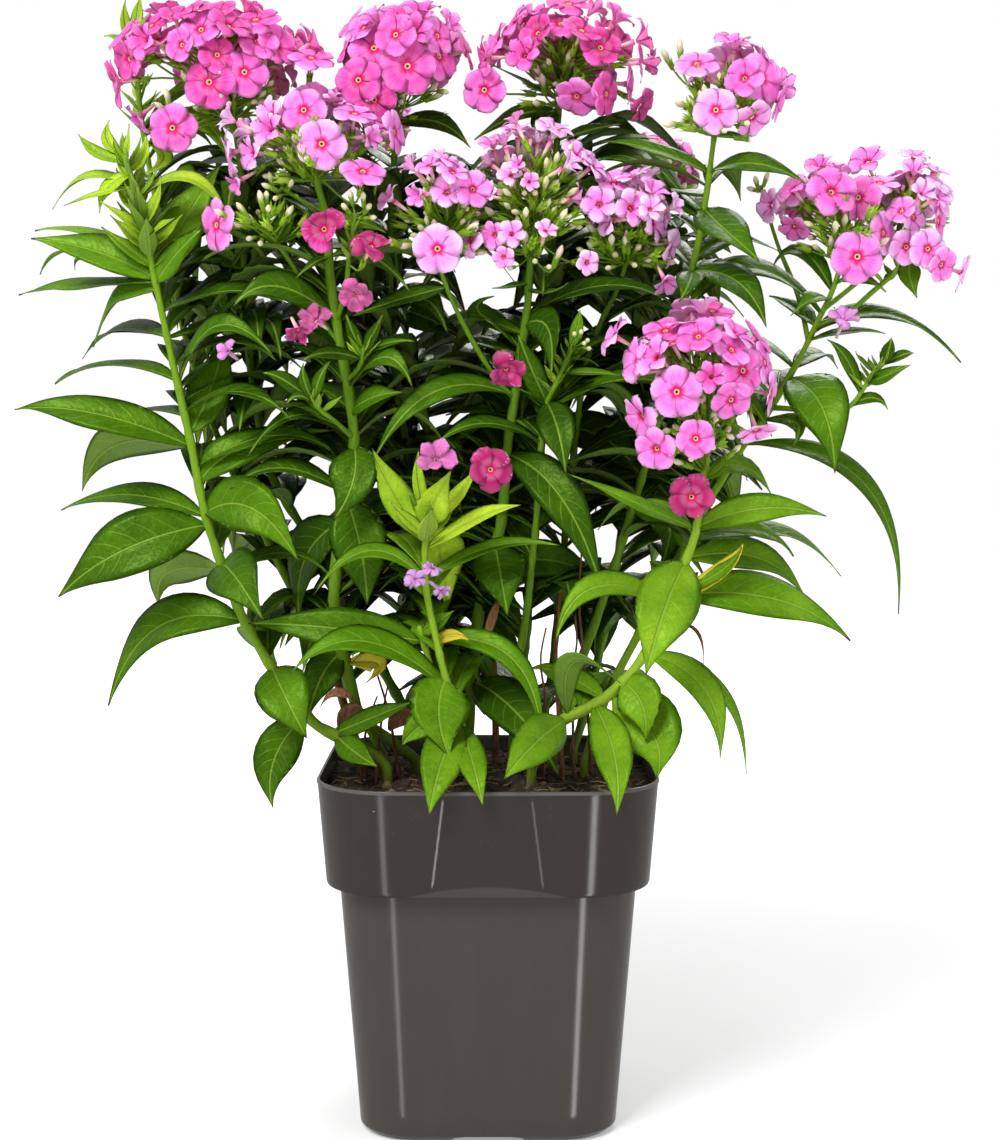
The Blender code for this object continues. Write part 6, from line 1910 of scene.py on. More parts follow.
def dress_single_flowers(strays, rng):
    """Single low flowers, and spent ones that have dropped onto the leaves."""
    for node, flower in strays:
        petals = Gathered()
        flower["seat"] = flower["seat"] - flower["seat_axis"] * GAP
        flower["crumple"] = 1.0
        flower["opening"] = min(flower["opening"], SINGLE_OPENING)
        greens = Gathered()
        dress_flower(flower, petals, greens, SINGLE_TONE, rng)
        petals.build("petals_" + node, [petal_material, tube_material], "petal", [node])
        greens.build("calyx_" + node, [stem_material], "leaf")
    fallen = Gathered()
    for across, up, depth, turn, lift, reach, opening, tone, age in FALLEN_FLOWERS:
        flower = {"centre": place((across, up, depth)), "facing": direction(turn, lift), "reach": reach,
                  "opening": opening, "spin": rng.uniform(0, PETAL_TURN), "seat": None,
                  "age": age, "crumple": 1.0}
        dress_flower(flower, fallen, None, tone, rng)
    fallen.build("fallen_flowers", [petal_material, tube_material], "petal")


# Pot of the looks: points round it, the front panel's relief, and its drain holes.
POT_CORNER_STEPS = 14
POT_SIDE_STEPS = 90
PANEL_HALF_TOP = 22.0
PANEL_HALF_BOTTOM = 28.0
PANEL_ARCH = 4.0
PANEL_SOFTNESS = 1.8
PANEL_MARGIN = 3.0
SHARP_EDGE = 40
HOLE_OVERRUN = 2.0


def fine_square(half, corner, height):
    """Rounded square with many points, so its corners are round and its front can take a relief."""
    inset = half - corner
    points = []
    for quarter in range(4):
        turn = math.pi / 2 * quarter
        centre = Vector((inset * (1 if quarter in (0, 3) else -1),
                         inset * (1 if quarter in (0, 1) else -1), height))
        for step in range(POT_CORNER_STEPS):
            angle = turn + math.pi / 2 * step / POT_CORNER_STEPS
            points.append(centre + Vector((math.cos(angle), math.sin(angle), 0.0)) * corner)
        outward = Vector((math.cos(turn + math.pi / 2), math.sin(turn + math.pi / 2), 0.0))
        across = outward.cross(Vector((0.0, 0.0, 1.0)))
        for step in range(POT_SIDE_STEPS):
            share = 1.0 - 2.0 * step / POT_SIDE_STEPS
            points.append(Vector((0.0, 0.0, height)) + outward * half + across * (inset * share))
    return points


def smooth_step(low, high, value):
    """0 up to low, 1 from high on and smooth between."""
    share = max(0.0, min(1.0, (value - low) / (high - low)))
    return share * share * (3.0 - 2.0 * share)


def panel_relief(x, z):
    """Depth of the collar's front panel: sunk inside its outline."""
    bottom = PANEL_BOTTOM + PANEL_ARCH * max(0.0, 1.0 - (x / PANEL_HALF_BOTTOM) ** 2)
    share = (z - PANEL_BOTTOM) / (PANEL_TOP - PANEL_BOTTOM)
    half = PANEL_HALF_BOTTOM + (PANEL_HALF_TOP - PANEL_HALF_BOTTOM) * share
    inside = min(half - abs(x), z - bottom, PANEL_TOP - z)
    return -PANEL_DEPTH * smooth_step(0.0, PANEL_SOFTNESS, inside)


def pot_profile():
    """Heights, half widths and corner radii down the outside and up the inside of the pot."""
    def between(low, high, steps):
        return [tuple(a + (b - a) * k / steps for a, b in zip(low, high)) for k in range(1, steps + 1)]

    heel = (FOOT_HEIGHT, BODY_BOTTOM_HALF, BODY_BOTTOM_CORNER)
    neck = (COLLAR_BOTTOM - 0.4, BODY_TOP_HALF, BODY_TOP_CORNER)
    outside = [(0.0, FOOT_HALF - 1.0, FOOT_CORNER - 1.0), (0.35, FOOT_HALF - 0.2, FOOT_CORNER - 0.2)]
    outside += between((0.35, FOOT_HALF - 0.2, FOOT_CORNER - 0.2), (FOOT_HEIGHT - 0.8, *heel[1:]), 5)
    outside += between((FOOT_HEIGHT - 0.8, *heel[1:]), neck, 10)
    outside += [(COLLAR_BOTTOM, BODY_TOP_HALF + 0.5, BODY_TOP_CORNER + 0.5),
                (COLLAR_BOTTOM, COLLAR_HALF - 1.2, COLLAR_CORNER - 1.2),
                (COLLAR_BOTTOM + 0.35, COLLAR_HALF - 0.35, COLLAR_CORNER - 0.35),
                (COLLAR_BOTTOM + 1.2, COLLAR_HALF, COLLAR_CORNER)]
    below_lip = (POT_HEIGHT - 2.2, RIM_HALF - 0.5, RIM_CORNER - 0.5)
    outside += between(outside[-1], below_lip, 30)
    outside += [(POT_HEIGHT - 1.8, RIM_HALF - 0.05, RIM_CORNER), (POT_HEIGHT - 0.8, RIM_HALF, RIM_CORNER),
                (POT_HEIGHT - 0.2, RIM_HALF - 0.3, RIM_CORNER - 0.3),
                (POT_HEIGHT, RIM_HALF - 0.8, RIM_CORNER - 0.8)]
    inside = [(POT_HEIGHT - 0.15, RIM_HALF - WALL, RIM_CORNER - WALL),
              (POT_HEIGHT - 0.8, RIM_HALF - WALL - 0.2, RIM_CORNER - WALL),
              (COLLAR_BOTTOM + WALL + 1.0, COLLAR_HALF - WALL, COLLAR_CORNER - WALL),
              (COLLAR_BOTTOM + WALL, BODY_TOP_HALF - WALL, BODY_TOP_CORNER - WALL),
              (FLOOR_TOP + 0.6, BODY_BOTTOM_HALF - WALL, BODY_BOTTOM_CORNER - WALL),
              (FLOOR_TOP, BODY_BOTTOM_HALF - WALL - 1.0, BODY_BOTTOM_CORNER - WALL)]
    return outside, inside


def notch_lift(x, y, z):
    """How far the foot is raised above the ground by the low arch in the middle of a side."""
    along = min(abs(x), abs(y))
    if along > NOTCH_WIDTH / 2 or z > NOTCH_HEIGHT or max(abs(x), abs(y)) < FOOT_HALF - NOTCH_REACH:
        return 0.0
    arch = NOTCH_HEIGHT * math.sqrt(max(0.0, 1.0 - (2.0 * along / NOTCH_WIDTH) ** 6))
    return max(0.0, arch - z)


def dress_pot():
    """Pot with round corners, rolled lip, panel relief, arched foot and drain holes."""
    outside, inside = pot_profile()
    rings = []
    for z, half, corner in outside:
        ring = fine_square(half, corner, z)
        for p in ring:
            in_width = p.y < 0 and abs(p.x) < PANEL_HALF_BOTTOM + PANEL_MARGIN
            if in_width and PANEL_BOTTOM - PANEL_MARGIN < z < PANEL_TOP:
                p.y -= panel_relief(p.x, z)
            p.z += notch_lift(p.x, p.y, z)
        rings.append(ring)
    rings += [fine_square(half, corner, z) for z, half, corner in inside]
    underside = fine_square(FOOT_HALF - NOTCH_REACH - 1.0, FOOT_CORNER - NOTCH_REACH, 0.0)
    rings.insert(0, underside)
    pot = Gathered()
    pot.add_plain([p for ring in rings for p in ring], ring_quads(len(rings), len(underside)))
    thing = pot.build("pot_shell", [pot_material], "pot", ["pot"])
    drill_holes(thing)
    thing.data.shade_smooth()
    thing.data.set_sharp_from_angle(angle=math.radians(SHARP_EDGE))


def drill_holes(thing):
    """Four round drain holes through the floor of the pot."""
    cutters = []
    for quarter in range(4):
        turn = math.pi / 2 * quarter + math.pi / 4
        middle = Vector((math.cos(turn), math.sin(turn), 0.0)) * DRAIN_DISTANCE
        line = [middle + Vector((0, 0, -HOLE_OVERRUN)), middle + Vector((0, 0, FLOOR_TOP + HOLE_OVERRUN))]
        points, faces = straight_tube(line, [DRAIN_RADIUS] * 2, Vector((0, 0, 1.0)), [PLAIN] * 2, PLAIN)[:2]
        mesh = bpy.data.meshes.new("drain_hole")
        mesh.from_pydata([p * MM for p in points], [], faces)
        cutter = new_object("drain_hole", mesh)
        boolean = thing.modifiers.new("drain", "BOOLEAN")
        boolean.object = cutter
        boolean.operation = "DIFFERENCE"
        boolean.solver = "MANIFOLD"
        cutters.append(cutter)
    bpy.context.view_layer.update()
    graph = bpy.context.evaluated_depsgraph_get()
    mesh = bpy.data.meshes.new_from_object(thing.evaluated_get(graph))
    thing.modifiers.clear()
    thing.data = mesh
    for cutter in cutters:
        bpy.data.objects.remove(cutter, do_unlink=True)


# Loose soil, what lies on it, and the dry stalks and twigs that stand in it.
SOIL_RINGS = 46
SOIL_LUMP = 3.2
LUMP_ROOM = 4.0
CRUMB_COUNT = 760
FIBRE_COUNT = 260
CRUMB_MARGIN = 9.0
CORNER_FROM = 48.0
CORNER_REACH = 30.0
STALK_STEPS = 18
STALK_TAPER = 0.3
TWIG_STEPS = 12


def soil_top(x, y):
    """Height of the loose soil: the mound with lumps of several sizes."""
    spot = Vector((x, y, 0.0))
    lumps = noise.noise(spot * 0.07) * SOIL_LUMP * 0.8 + noise.noise(spot * 0.19) * SOIL_LUMP * 0.45
    lumps += noise.noise(spot * 0.5) * SOIL_LUMP * 0.3
    return soil_height(x, y) + lumps - 0.8


def dress_soil():
    """Soil body with a lumpy top that follows the pot's inside."""
    inset = WALL + GAP
    levels = soil_levels(LUMP_ROOM)
    points = []
    for z, half, corner in levels:
        points += fine_square(half, corner, z)
    edge = fine_square(soil_edge_half() - inset, RIM_CORNER - inset, 0.0)
    for ring in range(SOIL_RINGS):
        points += [on_height(p, 1.0 - ring / SOIL_RINGS, soil_top) for p in edge]
    soil = Gathered()
    soil.add_plain(points, ring_quads(len(levels) + SOIL_RINGS, len(edge)))
    soil.build("soil_bed", [soil_material], "soil", ["soil"])


def on_soil(rng):
    """A random place on the soil, inside the pot's wall."""
    half = RIM_HALF - CRUMB_MARGIN
    x = rng.uniform(-half, half)
    y = rng.uniform(-half, half)
    if math.hypot(max(0.0, abs(x) - CORNER_FROM), max(0.0, abs(y) - CORNER_FROM)) > CORNER_REACH:
        x *= 0.7
        y *= 0.7
    return Vector((x, y, soil_top(x, y)))


def dress_crumbs(rng):
    """Loose crumbs, bits of bark and pale fibres on the soil."""
    crumbs = Gathered()
    for number in range(CRUMB_COUNT):
        spot = on_soil(rng)
        size = rng.uniform(0.6, 2.4) if number % 9 else rng.uniform(2.2, 4.2)
        axis = direction(rng.uniform(0, 360), rng.uniform(0, 90))
        points = [spot + axis * (size * along) for along in (-0.9, -0.5, 0.2, 0.8)]
        radii = [size * rng.uniform(0.25, 0.45), size * rng.uniform(0.6, 0.8), size * rng.uniform(0.55, 0.85),
                 size * rng.uniform(0.2, 0.4)]
        tint = (rng.random(), 0.0, 0.0)
        crumbs.add(tube_body(points, radii, 5, [(0.0, 0.0, 0.0)] * 4, tint))
    for _ in range(FIBRE_COUNT):
        spot = on_soil(rng) + Vector((0.0, 0.0, 0.8))
        turn = rng.uniform(0, 360)
        line = [spot]
        for _ in range(4):
            turn += rng.uniform(-35, 35)
            line.append(line[-1] + direction(turn, rng.uniform(-12, 16)) * rng.uniform(1.5, 4.0))
        crumbs.add(tube_body(line, [rng.uniform(0.15, 0.35)] * 5, 4, [(1.0, 0.0, 0.0)] * 5,
                             (rng.uniform(0.6, 1.0), 0.0, 1.0)))
    crumbs.build("soil_crumbs", [crumb_material], "soil")


def dress_old_stalks(rng):
    """Last year's brown stalks, thin dry twigs and a few withered leaves."""
    for name, (footing, radius, course) in OLD_STALKS.items():
        line = standing_line(course_of(footing, course), STALK_STEPS)
        radii = [radius * (1.0 - STALK_TAPER * k / STALK_STEPS) * (1.0 + 0.12 * noise.noise(p * 0.3))
                 for k, p in enumerate(line)]
        stalk = Gathered()
        stalk.add(tube_body(line, radii, 9, [(0.0, 0.5, 0.0)] * len(line), (0.4, 0.0, 0.0)))
        stalk.build("dry_stalk_" + name, [dry_material], "dry_stalk", ["old_stalk_" + name])
    twigs = Gathered()
    for footing, course in TWIGS:
        start = Vector((*footing, soil_top(*footing) - 2.0))
        line = smooth_course([start] + [place(seen) for seen in course], TWIG_STEPS)
        radii = [0.9 - 0.5 * k / len(line) for k in range(len(line))]
        twigs.add(tube_body(line, radii, 6, [(0.0, 0.5, 0.0)] * len(line), (rng.uniform(0.0, 0.3), 0.0, 0.0)))
    for root, middle, tip, width, facing, tone in DRY_LEAVES:
        leaf = {"line": (place(root), place(middle), place(tip)), "width": width, "facing": facing}
        twigs.add(leaf_body(leaf, tone, 1.0, rng))
    twigs.build("dry_twigs", [dry_material], "dry_stalk")


class Shader:
    """A material and short words for the nodes it is made of."""

    def __init__(self, name, roughness):
        self.material = bpy.data.materials.new(name)
        self.material.use_nodes = True
        self.tree = self.material.node_tree
        self.surface = self.tree.nodes["Principled BSDF"]
        self.surface.inputs["Roughness"].default_value = roughness

    def feed(self, socket, value):
        if isinstance(value, bpy.types.NodeSocket):
            self.tree.links.new(value, socket)
        elif isinstance(value, tuple) and len(socket.default_value) == 4:
            socket.default_value = (*value, 1.0)
        else:
            socket.default_value = value

    def math(self, operation, a, b=0.0):
        node = self.tree.nodes.new("ShaderNodeMath")
        node.operation = operation
        self.feed(node.inputs[0], a)
        self.feed(node.inputs[1], b)
        return node.outputs[0]

    def plus(self, a, b):
        return self.math("ADD", a, b)

    def minus(self, a, b):
        return self.math("SUBTRACT", a, b)

    def times(self, a, b):
        return self.math("MULTIPLY", a, b)

    def absolute(self, a):
        return self.math("ABSOLUTE", a)

    def vary(self, value, pattern, amount):
        """The value moved up and down by a pattern that runs from 0 to 1."""
        return self.plus(value, self.times(self.minus(pattern, 0.5), amount))

    def ease(self, value, low, high):
        """0 up to low, 1 from high on, smooth between; falls when low is above high."""
        node = self.tree.nodes.new("ShaderNodeMapRange")
        node.interpolation_type = "SMOOTHSTEP"
        self.feed(node.inputs["Value"], value)
        falling = low > high
        node.inputs["From Min"].default_value = min(low, high)
        node.inputs["From Max"].default_value = max(low, high)
        node.inputs["To Min"].default_value = 1.0 if falling else 0.0
        node.inputs["To Max"].default_value = 0.0 if falling else 1.0
        return node.outputs[0]

    def mix(self, share, a, b):
        node = self.tree.nodes.new("ShaderNodeMix")
        node.data_type = "RGBA"
        self.feed(node.inputs[0], share)
        self.feed(node.inputs[6], a)
        self.feed(node.inputs[7], b)
        return node.outputs[2]

    def ramp(self, value, stops):
        node = self.tree.nodes.new("ShaderNodeValToRGB")
        elements = node.color_ramp.elements
        while len(elements) < len(stops):
            elements.new(1.0)
        for element, (place_on_ramp, colour) in zip(elements, stops):
            element.position = place_on_ramp
            element.color = (*colour, 1.0)
        self.feed(node.inputs[0], value)
        return node.outputs[0]

    def brighten(self, colour, share):
        """The colour times a factor that is given as a number or socket."""
        node = self.tree.nodes.new("ShaderNodeHueSaturation")
        self.feed(node.inputs["Value"], share)
        self.feed(node.inputs["Color"], colour)
        return node.outputs[0]

    def position(self):
        return self.tree.nodes.new("ShaderNodeTexCoord").outputs["Object"]

    def combine(self, x, y, z):
        node = self.tree.nodes.new("ShaderNodeCombineXYZ")
        for socket, value in zip(node.inputs, (x, y, z)):
            self.feed(socket, value)
        return node.outputs[0]

    def parts(self, vector):
        node = self.tree.nodes.new("ShaderNodeSeparateXYZ")
        self.feed(node.inputs[0], vector)
        return node.outputs[0], node.outputs[1], node.outputs[2]

    def attribute(self, name):
        node = self.tree.nodes.new("ShaderNodeAttribute")
        node.attribute_name = name
        return self.parts(node.outputs["Vector"])

    def noise(self, vector, scale, detail=3.0, roughness=0.55):
        node = self.tree.nodes.new("ShaderNodeTexNoise")
        self.feed(node.inputs["Vector"], vector)
        node.inputs["Scale"].default_value = scale
        node.inputs["Detail"].default_value = detail
        node.inputs["Roughness"].default_value = roughness
        return node.outputs["Fac"]

    def finish(self, colour, height=None, strength=0.5, distance=0.0005, specular=0.5, sheen=0.0,
               gloss_tint=(1.0, 1.0, 1.0)):
        self.feed(self.surface.inputs["Base Color"], colour)
        self.surface.inputs["Specular Tint"].default_value = (*gloss_tint, 1.0)
        self.surface.inputs["Specular IOR Level"].default_value = specular
        self.surface.inputs["Sheen Weight"].default_value = sheen
        if height is not None:
            bump = self.tree.nodes.new("ShaderNodeBump")
            bump.inputs["Strength"].default_value = strength
            bump.inputs["Distance"].default_value = distance
            self.feed(bump.inputs["Height"], height)
            self.tree.links.new(bump.outputs[0], self.surface.inputs["Normal"])
        return self.material


# Leaf: greens from deep to lime, and the veins, of which VEINS lie along each half.
GREENS = [(0.0, (0.008, 0.026, 0.001)), (0.3, (0.026, 0.078, 0.002)), (0.55, (0.075, 0.19, 0.004)),
          (0.75, (0.17, 0.34, 0.012)), (1.0, (0.46, 0.64, 0.035))]
UNDERSIDE = (0.17, 0.27, 0.05)
VEIN_GREEN = (0.26, 0.42, 0.05)
TIP_BROWN = (0.09, 0.07, 0.03)
AGED_YELLOW = (0.62, 0.5, 0.04)
LEAF_GLOSS = (0.62, 1.0, 0.16)
VEINS = 9.0
VEIN_LEAN = 0.19


def make_leaf_material():
    """Green blade with a pale midrib, side veins that curve forward, and quilting between them."""
    s = Shader("phlox_leaf", 0.36)
    off, along, share = s.attribute("place")
    tone, under, age = s.attribute("tint")
    side = s.absolute(share)
    position = s.position()
    broad = s.noise(position, 38.0)
    fine = s.noise(position, 520.0, 2.0)
    lean = s.times(s.math("POWER", side, 1.3), VEIN_LEAN)
    phase = s.math("FRACT", s.times(s.minus(along, lean), VEINS))
    from_vein = s.absolute(s.minus(phase, 0.5))
    vein = s.times(s.ease(from_vein, 0.07, 0.0), s.ease(side, 0.9, 0.5))
    midrib = s.ease(s.absolute(off), 0.85, 0.25)
    varied = s.vary(tone, broad, 0.42)
    varied = s.minus(varied, s.times(s.ease(side, 0.3, 1.0), 0.07))
    varied = s.vary(varied, fine, 0.2)
    colour = s.ramp(varied, GREENS)
    colour = s.mix(s.times(under, 0.75), colour, UNDERSIDE)
    colour = s.mix(s.times(vein, 0.26), colour, VEIN_GREEN)
    colour = s.mix(s.times(midrib, 0.5), colour, VEIN_GREEN)
    colour = s.mix(s.ease(age, 0.1, 0.5), colour, AGED_YELLOW)
    colour = s.mix(s.ease(along, 0.95, 0.99), colour, TIP_BROWN)
    quilt = s.noise(position, 170.0, 2.0)
    height = s.minus(s.times(quilt, 0.9), s.times(midrib, 0.8))
    height = s.minus(height, s.times(vein, 0.2))
    height = s.plus(height, s.times(fine, 0.3))
    return s.finish(colour, height, 0.7, 0.001, specular=0.32, gloss_tint=LEAF_GLOSS)


# Stems: greens from dark to pale, and the height in metres below which they turn woody.
STEM_GREENS = [(0.0, (0.03, 0.07, 0.006)), (0.4, (0.1, 0.21, 0.012)), (0.7, (0.22, 0.38, 0.02)),
               (1.0, (0.42, 0.56, 0.08))]
WOODY_FOOT = (0.13, 0.09, 0.025)
WOODY_TOP = 0.215
WOODY_FROM = 0.172


def make_stem_material():
    """Yellow-green stems, stalks and calyces, woody near the soil."""
    s = Shader("phlox_stem", 0.4)
    tone = s.attribute("tint")[0]
    position = s.position()
    x, y, z = s.parts(position)
    streaks = s.noise(s.combine(s.times(x, 9.0), s.times(y, 9.0), z), 130.0)
    colour = s.ramp(s.vary(tone, streaks, 0.35), STEM_GREENS)
    woody = s.times(s.ease(z, WOODY_TOP, WOODY_FROM), s.ease(streaks, 0.35, 0.6))
    colour = s.mix(s.times(woody, 0.8), colour, WOODY_FOOT)
    return s.finish(colour, streaks, 0.25, 0.0003, specular=0.35, gloss_tint=LEAF_GLOSS)


# Petals: pinks from pale to crimson.
PINKS = [(0.0, (0.9, 0.44, 0.86)), (0.34, (0.87, 0.22, 0.7)), (0.6, (0.83, 0.11, 0.52)),
         (0.86, (0.74, 0.045, 0.33)), (1.0, (0.38, 0.006, 0.11))]
PALE_EDGE = (0.97, 0.72, 0.93)
CRIMSON_EYE = (0.66, 0.008, 0.17)
# Underside pink: the underside's own pink, made brighter as painted light shining through the petal.
PETAL_BACK_PAINTED_LIGHT = (0.92, 0.24, 0.6)
SPENT_LILAC = (0.52, 0.3, 0.62)


def make_petal_material():
    """Pink petals with fine streaks, a pale halo, a crimson eye that rays out, and undersides brightened as
    painted light shining through the petal.
    """
    s = Shader("phlox_petal", 0.6)
    far, off, shade = s.attribute("place")
    tone, under, age = s.attribute("tint")
    fan = s.math("DIVIDE", off, s.math("MAXIMUM", far, 0.1))
    streaks = s.noise(s.combine(s.times(fan, 13.0), s.times(far, 1.3),
                                s.times(shade, 17.0)), 1.0, 3.0)
    varied = s.vary(tone, streaks, 0.5)
    varied = s.vary(varied, shade, 0.16)
    inward = s.minus(0.74, far)
    varied = s.plus(varied, s.times(inward, 0.34))
    colour = s.ramp(varied, PINKS)
    pale = s.minus(1.0, tone)
    pale = s.times(pale, pale)
    rim_share = s.plus(s.times(pale, 0.75), 0.08)
    rim = s.times(s.ease(far, 0.55, 1.02), rim_share)
    colour = s.mix(rim, colour, PALE_EDGE)
    halo = s.times(s.ease(far, 0.6, 0.36), 0.12)
    colour = s.mix(halo, colour, PALE_EDGE)
    reach = s.plus(far, s.times(s.absolute(fan), 0.16))
    reach = s.vary(reach, streaks, 0.16)
    colour = s.mix(s.ease(reach, 0.43, 0.2), colour, CRIMSON_EYE)
    # Undersides: their own pink, brightened as painted light through the petal, and paler still on pale
    # flowers.
    colour = s.mix(s.times(under, s.times(tone, 0.8)), colour, PETAL_BACK_PAINTED_LIGHT)
    colour = s.mix(s.times(under, s.times(pale, 0.6)), colour, PALE_EDGE)
    colour = s.mix(s.ease(age, 0.2, 0.9), colour, SPENT_LILAC)
    return s.finish(colour, streaks, 0.3, 0.0004, sheen=0.05, specular=0.15)


# Corolla tubes from foot to throat, and buds from foot to tip. The throat's near-black end is painted shade
# in its sunk centre.
TUBE_COLOURS = [(0.0, (0.66, 0.62, 0.34)), (0.12, (0.86, 0.62, 0.46)), (0.3, (0.88, 0.4, 0.55)),
                (0.45, (0.84, 0.2, 0.45)), (0.54, (0.66, 0.01, 0.16)), (0.7, (0.86, 0.62, 0.26)),
                (0.8, (0.5, 0.3, 0.08)), (1.0, (0.08, 0.012, 0.012))]
BUD_COLOURS = [(0.0, (0.36, 0.5, 0.1)), (0.35, (0.62, 0.68, 0.27)), (0.75, (0.8, 0.78, 0.5)),
               (1.0, (0.7, 0.72, 0.36))]
BUD_PINK = (0.92, 0.4, 0.68)


def make_tube_material():
    """Corolla tubes, throats and closed buds."""
    s = Shader("phlox_tube", 0.55)
    kind, mark, pinkness = s.attribute("place")
    age = s.attribute("tint")[2]
    grain = s.noise(s.position(), 900.0, 2.0)
    # The throat's sunk centre ends near-black: painted shade in the hollow.
    throat = s.ramp(s.math("DIVIDE", mark, 3.0), TUBE_COLOURS)
    bud = s.ramp(mark, BUD_COLOURS)
    bud = s.mix(s.times(s.ease(mark, 0.3, 0.7), pinkness), bud, BUD_PINK)
    colour = s.mix(s.ease(kind, 2.4, 2.6), bud, throat)
    colour = s.mix(s.ease(age, 0.2, 0.9), colour, SPENT_LILAC)
    return s.finish(colour, grain, 0.2, 0.0003, specular=0.35)


# Pot: the body's grey, lightened as a painted reflection of the floor, with a darker collar above a low arch,
# under which the body grey reaches up as a painted highlight, and a paler lip that is a painted highlight.
# Body grey: the plastic's own grey, lightened as a painted reflection of the pale floor.
BODY_GREY_AND_REFLECTION = (0.051, 0.044, 0.038)
LIP_HIGHLIGHT_GREY = (0.12, 0.11, 0.1)
# Painted highlight: the lighter body grey reaches up under a low arch in the middle of each side, this far
# out and this high.
HIGHLIGHT_ARCH_REACH = 0.04
HIGHLIGHT_ARCH_RISE = 0.0055
# Collar grey, darker than the body's painted reflection.
COLLAR_GREY = (0.029, 0.023, 0.019)
POT_SCUFF = (0.058, 0.05, 0.043)


def make_pot_material():
    """Dark moulded plastic with a soft gloss, faint flow marks and dust; the body is painted lighter than the
    collar as a reflection of the floor, and the low arches and the lip carry painted highlights.
    """
    s = Shader("nursery_pot", 0.33)
    position = s.position()
    x, y, z = s.parts(position)
    marks = s.noise(s.combine(s.times(x, 5.0), s.times(y, 5.0), z), 24.0)
    dust = s.noise(position, 160.0, 5.0, 0.7)
    colour = s.mix(s.times(s.ease(marks, 0.45, 0.75), 0.5), BODY_GREY_AND_REFLECTION, POT_SCUFF)
    # Painted highlight: a low arch in the middle of each side, under which the lighter body grey reaches up
    # into the collar.
    along = s.times(s.math("MINIMUM", s.absolute(x), s.absolute(y)), 1.0 / HIGHLIGHT_ARCH_REACH)
    arch = s.math("MAXIMUM", s.minus(1.0, s.times(along, along)), 0.0)
    above = s.minus(s.minus(z, COLLAR_BOTTOM * MM), s.times(arch, HIGHLIGHT_ARCH_RISE))
    collar = s.ease(above, -0.0004, 0.0006)
    # Painted highlight: a paler band along the top of the lip.
    lip = s.times(s.ease(z, (POT_HEIGHT - 2.4) * MM, (POT_HEIGHT - 1.4) * MM), 0.7)
    # Painted reflection: the body keeps the lighter grey as a reflection of the floor, and the collar turns
    # darker.
    colour = s.mix(collar, colour, COLLAR_GREY)
    colour = s.mix(lip, colour, LIP_HIGHLIGHT_GREY)
    colour = s.mix(s.times(s.ease(dust, 0.58, 0.75), 0.35), colour, POT_SCUFF)
    gloss = s.plus(s.times(dust, 0.08), 0.12)
    s.feed(s.surface.inputs["Roughness"], gloss)
    height = s.plus(s.times(marks, 0.8), s.times(dust, 0.2))
    return s.finish(colour, height, 0.06, 0.0004)


SOIL_COLOURS = [(0.3, (0.012, 0.008, 0.005)), (0.5, (0.035, 0.021, 0.011)), (0.68, (0.085, 0.05, 0.024)),
                (0.8, (0.16, 0.11, 0.05))]


def make_soil_material():
    """Dark, moist soil with clods and grit."""
    s = Shader("potting_soil", 0.95)
    position = s.position()
    clods = s.noise(position, 210.0, 6.0, 0.7)
    grit = s.noise(position, 900.0, 3.0, 0.7)
    colour = s.ramp(s.plus(s.times(clods, 0.6), s.times(grit, 0.4)), SOIL_COLOURS)
    return s.finish(colour, s.plus(clods, s.times(grit, 0.5)), 0.9, 0.0016)


CRUMB_COLOURS = [(0.0, (0.014, 0.009, 0.006)), (0.5, (0.05, 0.028, 0.014)), (0.85, (0.11, 0.062, 0.028)),
                 (1.0, (0.22, 0.15, 0.075))]
FIBRE_COLOUR = (0.36, 0.26, 0.13)


def make_crumb_material():
    """Soil crumbs from black to bark brown, and pale fibres."""
    s = Shader("soil_crumb", 0.92)
    tone, _, fibre = s.attribute("tint")
    grit = s.noise(s.position(), 1100.0, 3.0, 0.7)
    colour = s.ramp(tone, CRUMB_COLOURS)
    colour = s.mix(s.times(fibre, 0.8), colour, FIBRE_COLOUR)
    colour = s.brighten(colour, s.plus(grit, 0.5))
    return s.finish(colour, grit, 0.6, 0.0006)


BARK_COLOURS = [(0.2, (0.045, 0.018, 0.008)), (0.5, (0.17, 0.065, 0.022)), (0.75, (0.34, 0.16, 0.06))]


def make_dry_material():
    """Dead stalks, twigs and withered leaves."""
    s = Shader("dry_stalk", 0.8)
    tone = s.attribute("tint")[0]
    x, y, z = s.parts(s.position())
    streaks = s.noise(s.combine(s.times(x, 6.0), s.times(y, 6.0), z), 160.0, 4.0)
    colour = s.ramp(s.plus(streaks, s.times(s.minus(tone, 0.4), 0.5)), BARK_COLOURS)
    return s.finish(colour, streaks, 0.7, 0.0006)


# Floor, in metres.
FLOOR_SIZE = 8.0
FLOOR_DROP = -0.0002
FLOOR_SHADES = ((0.7, 0.7, 0.7), (0.74, 0.74, 0.74))
GLOW_NEAR = 0.3
GLOW_GAIN = 0.55
WHITE = (1.0, 1.0, 1.0, 1.0)


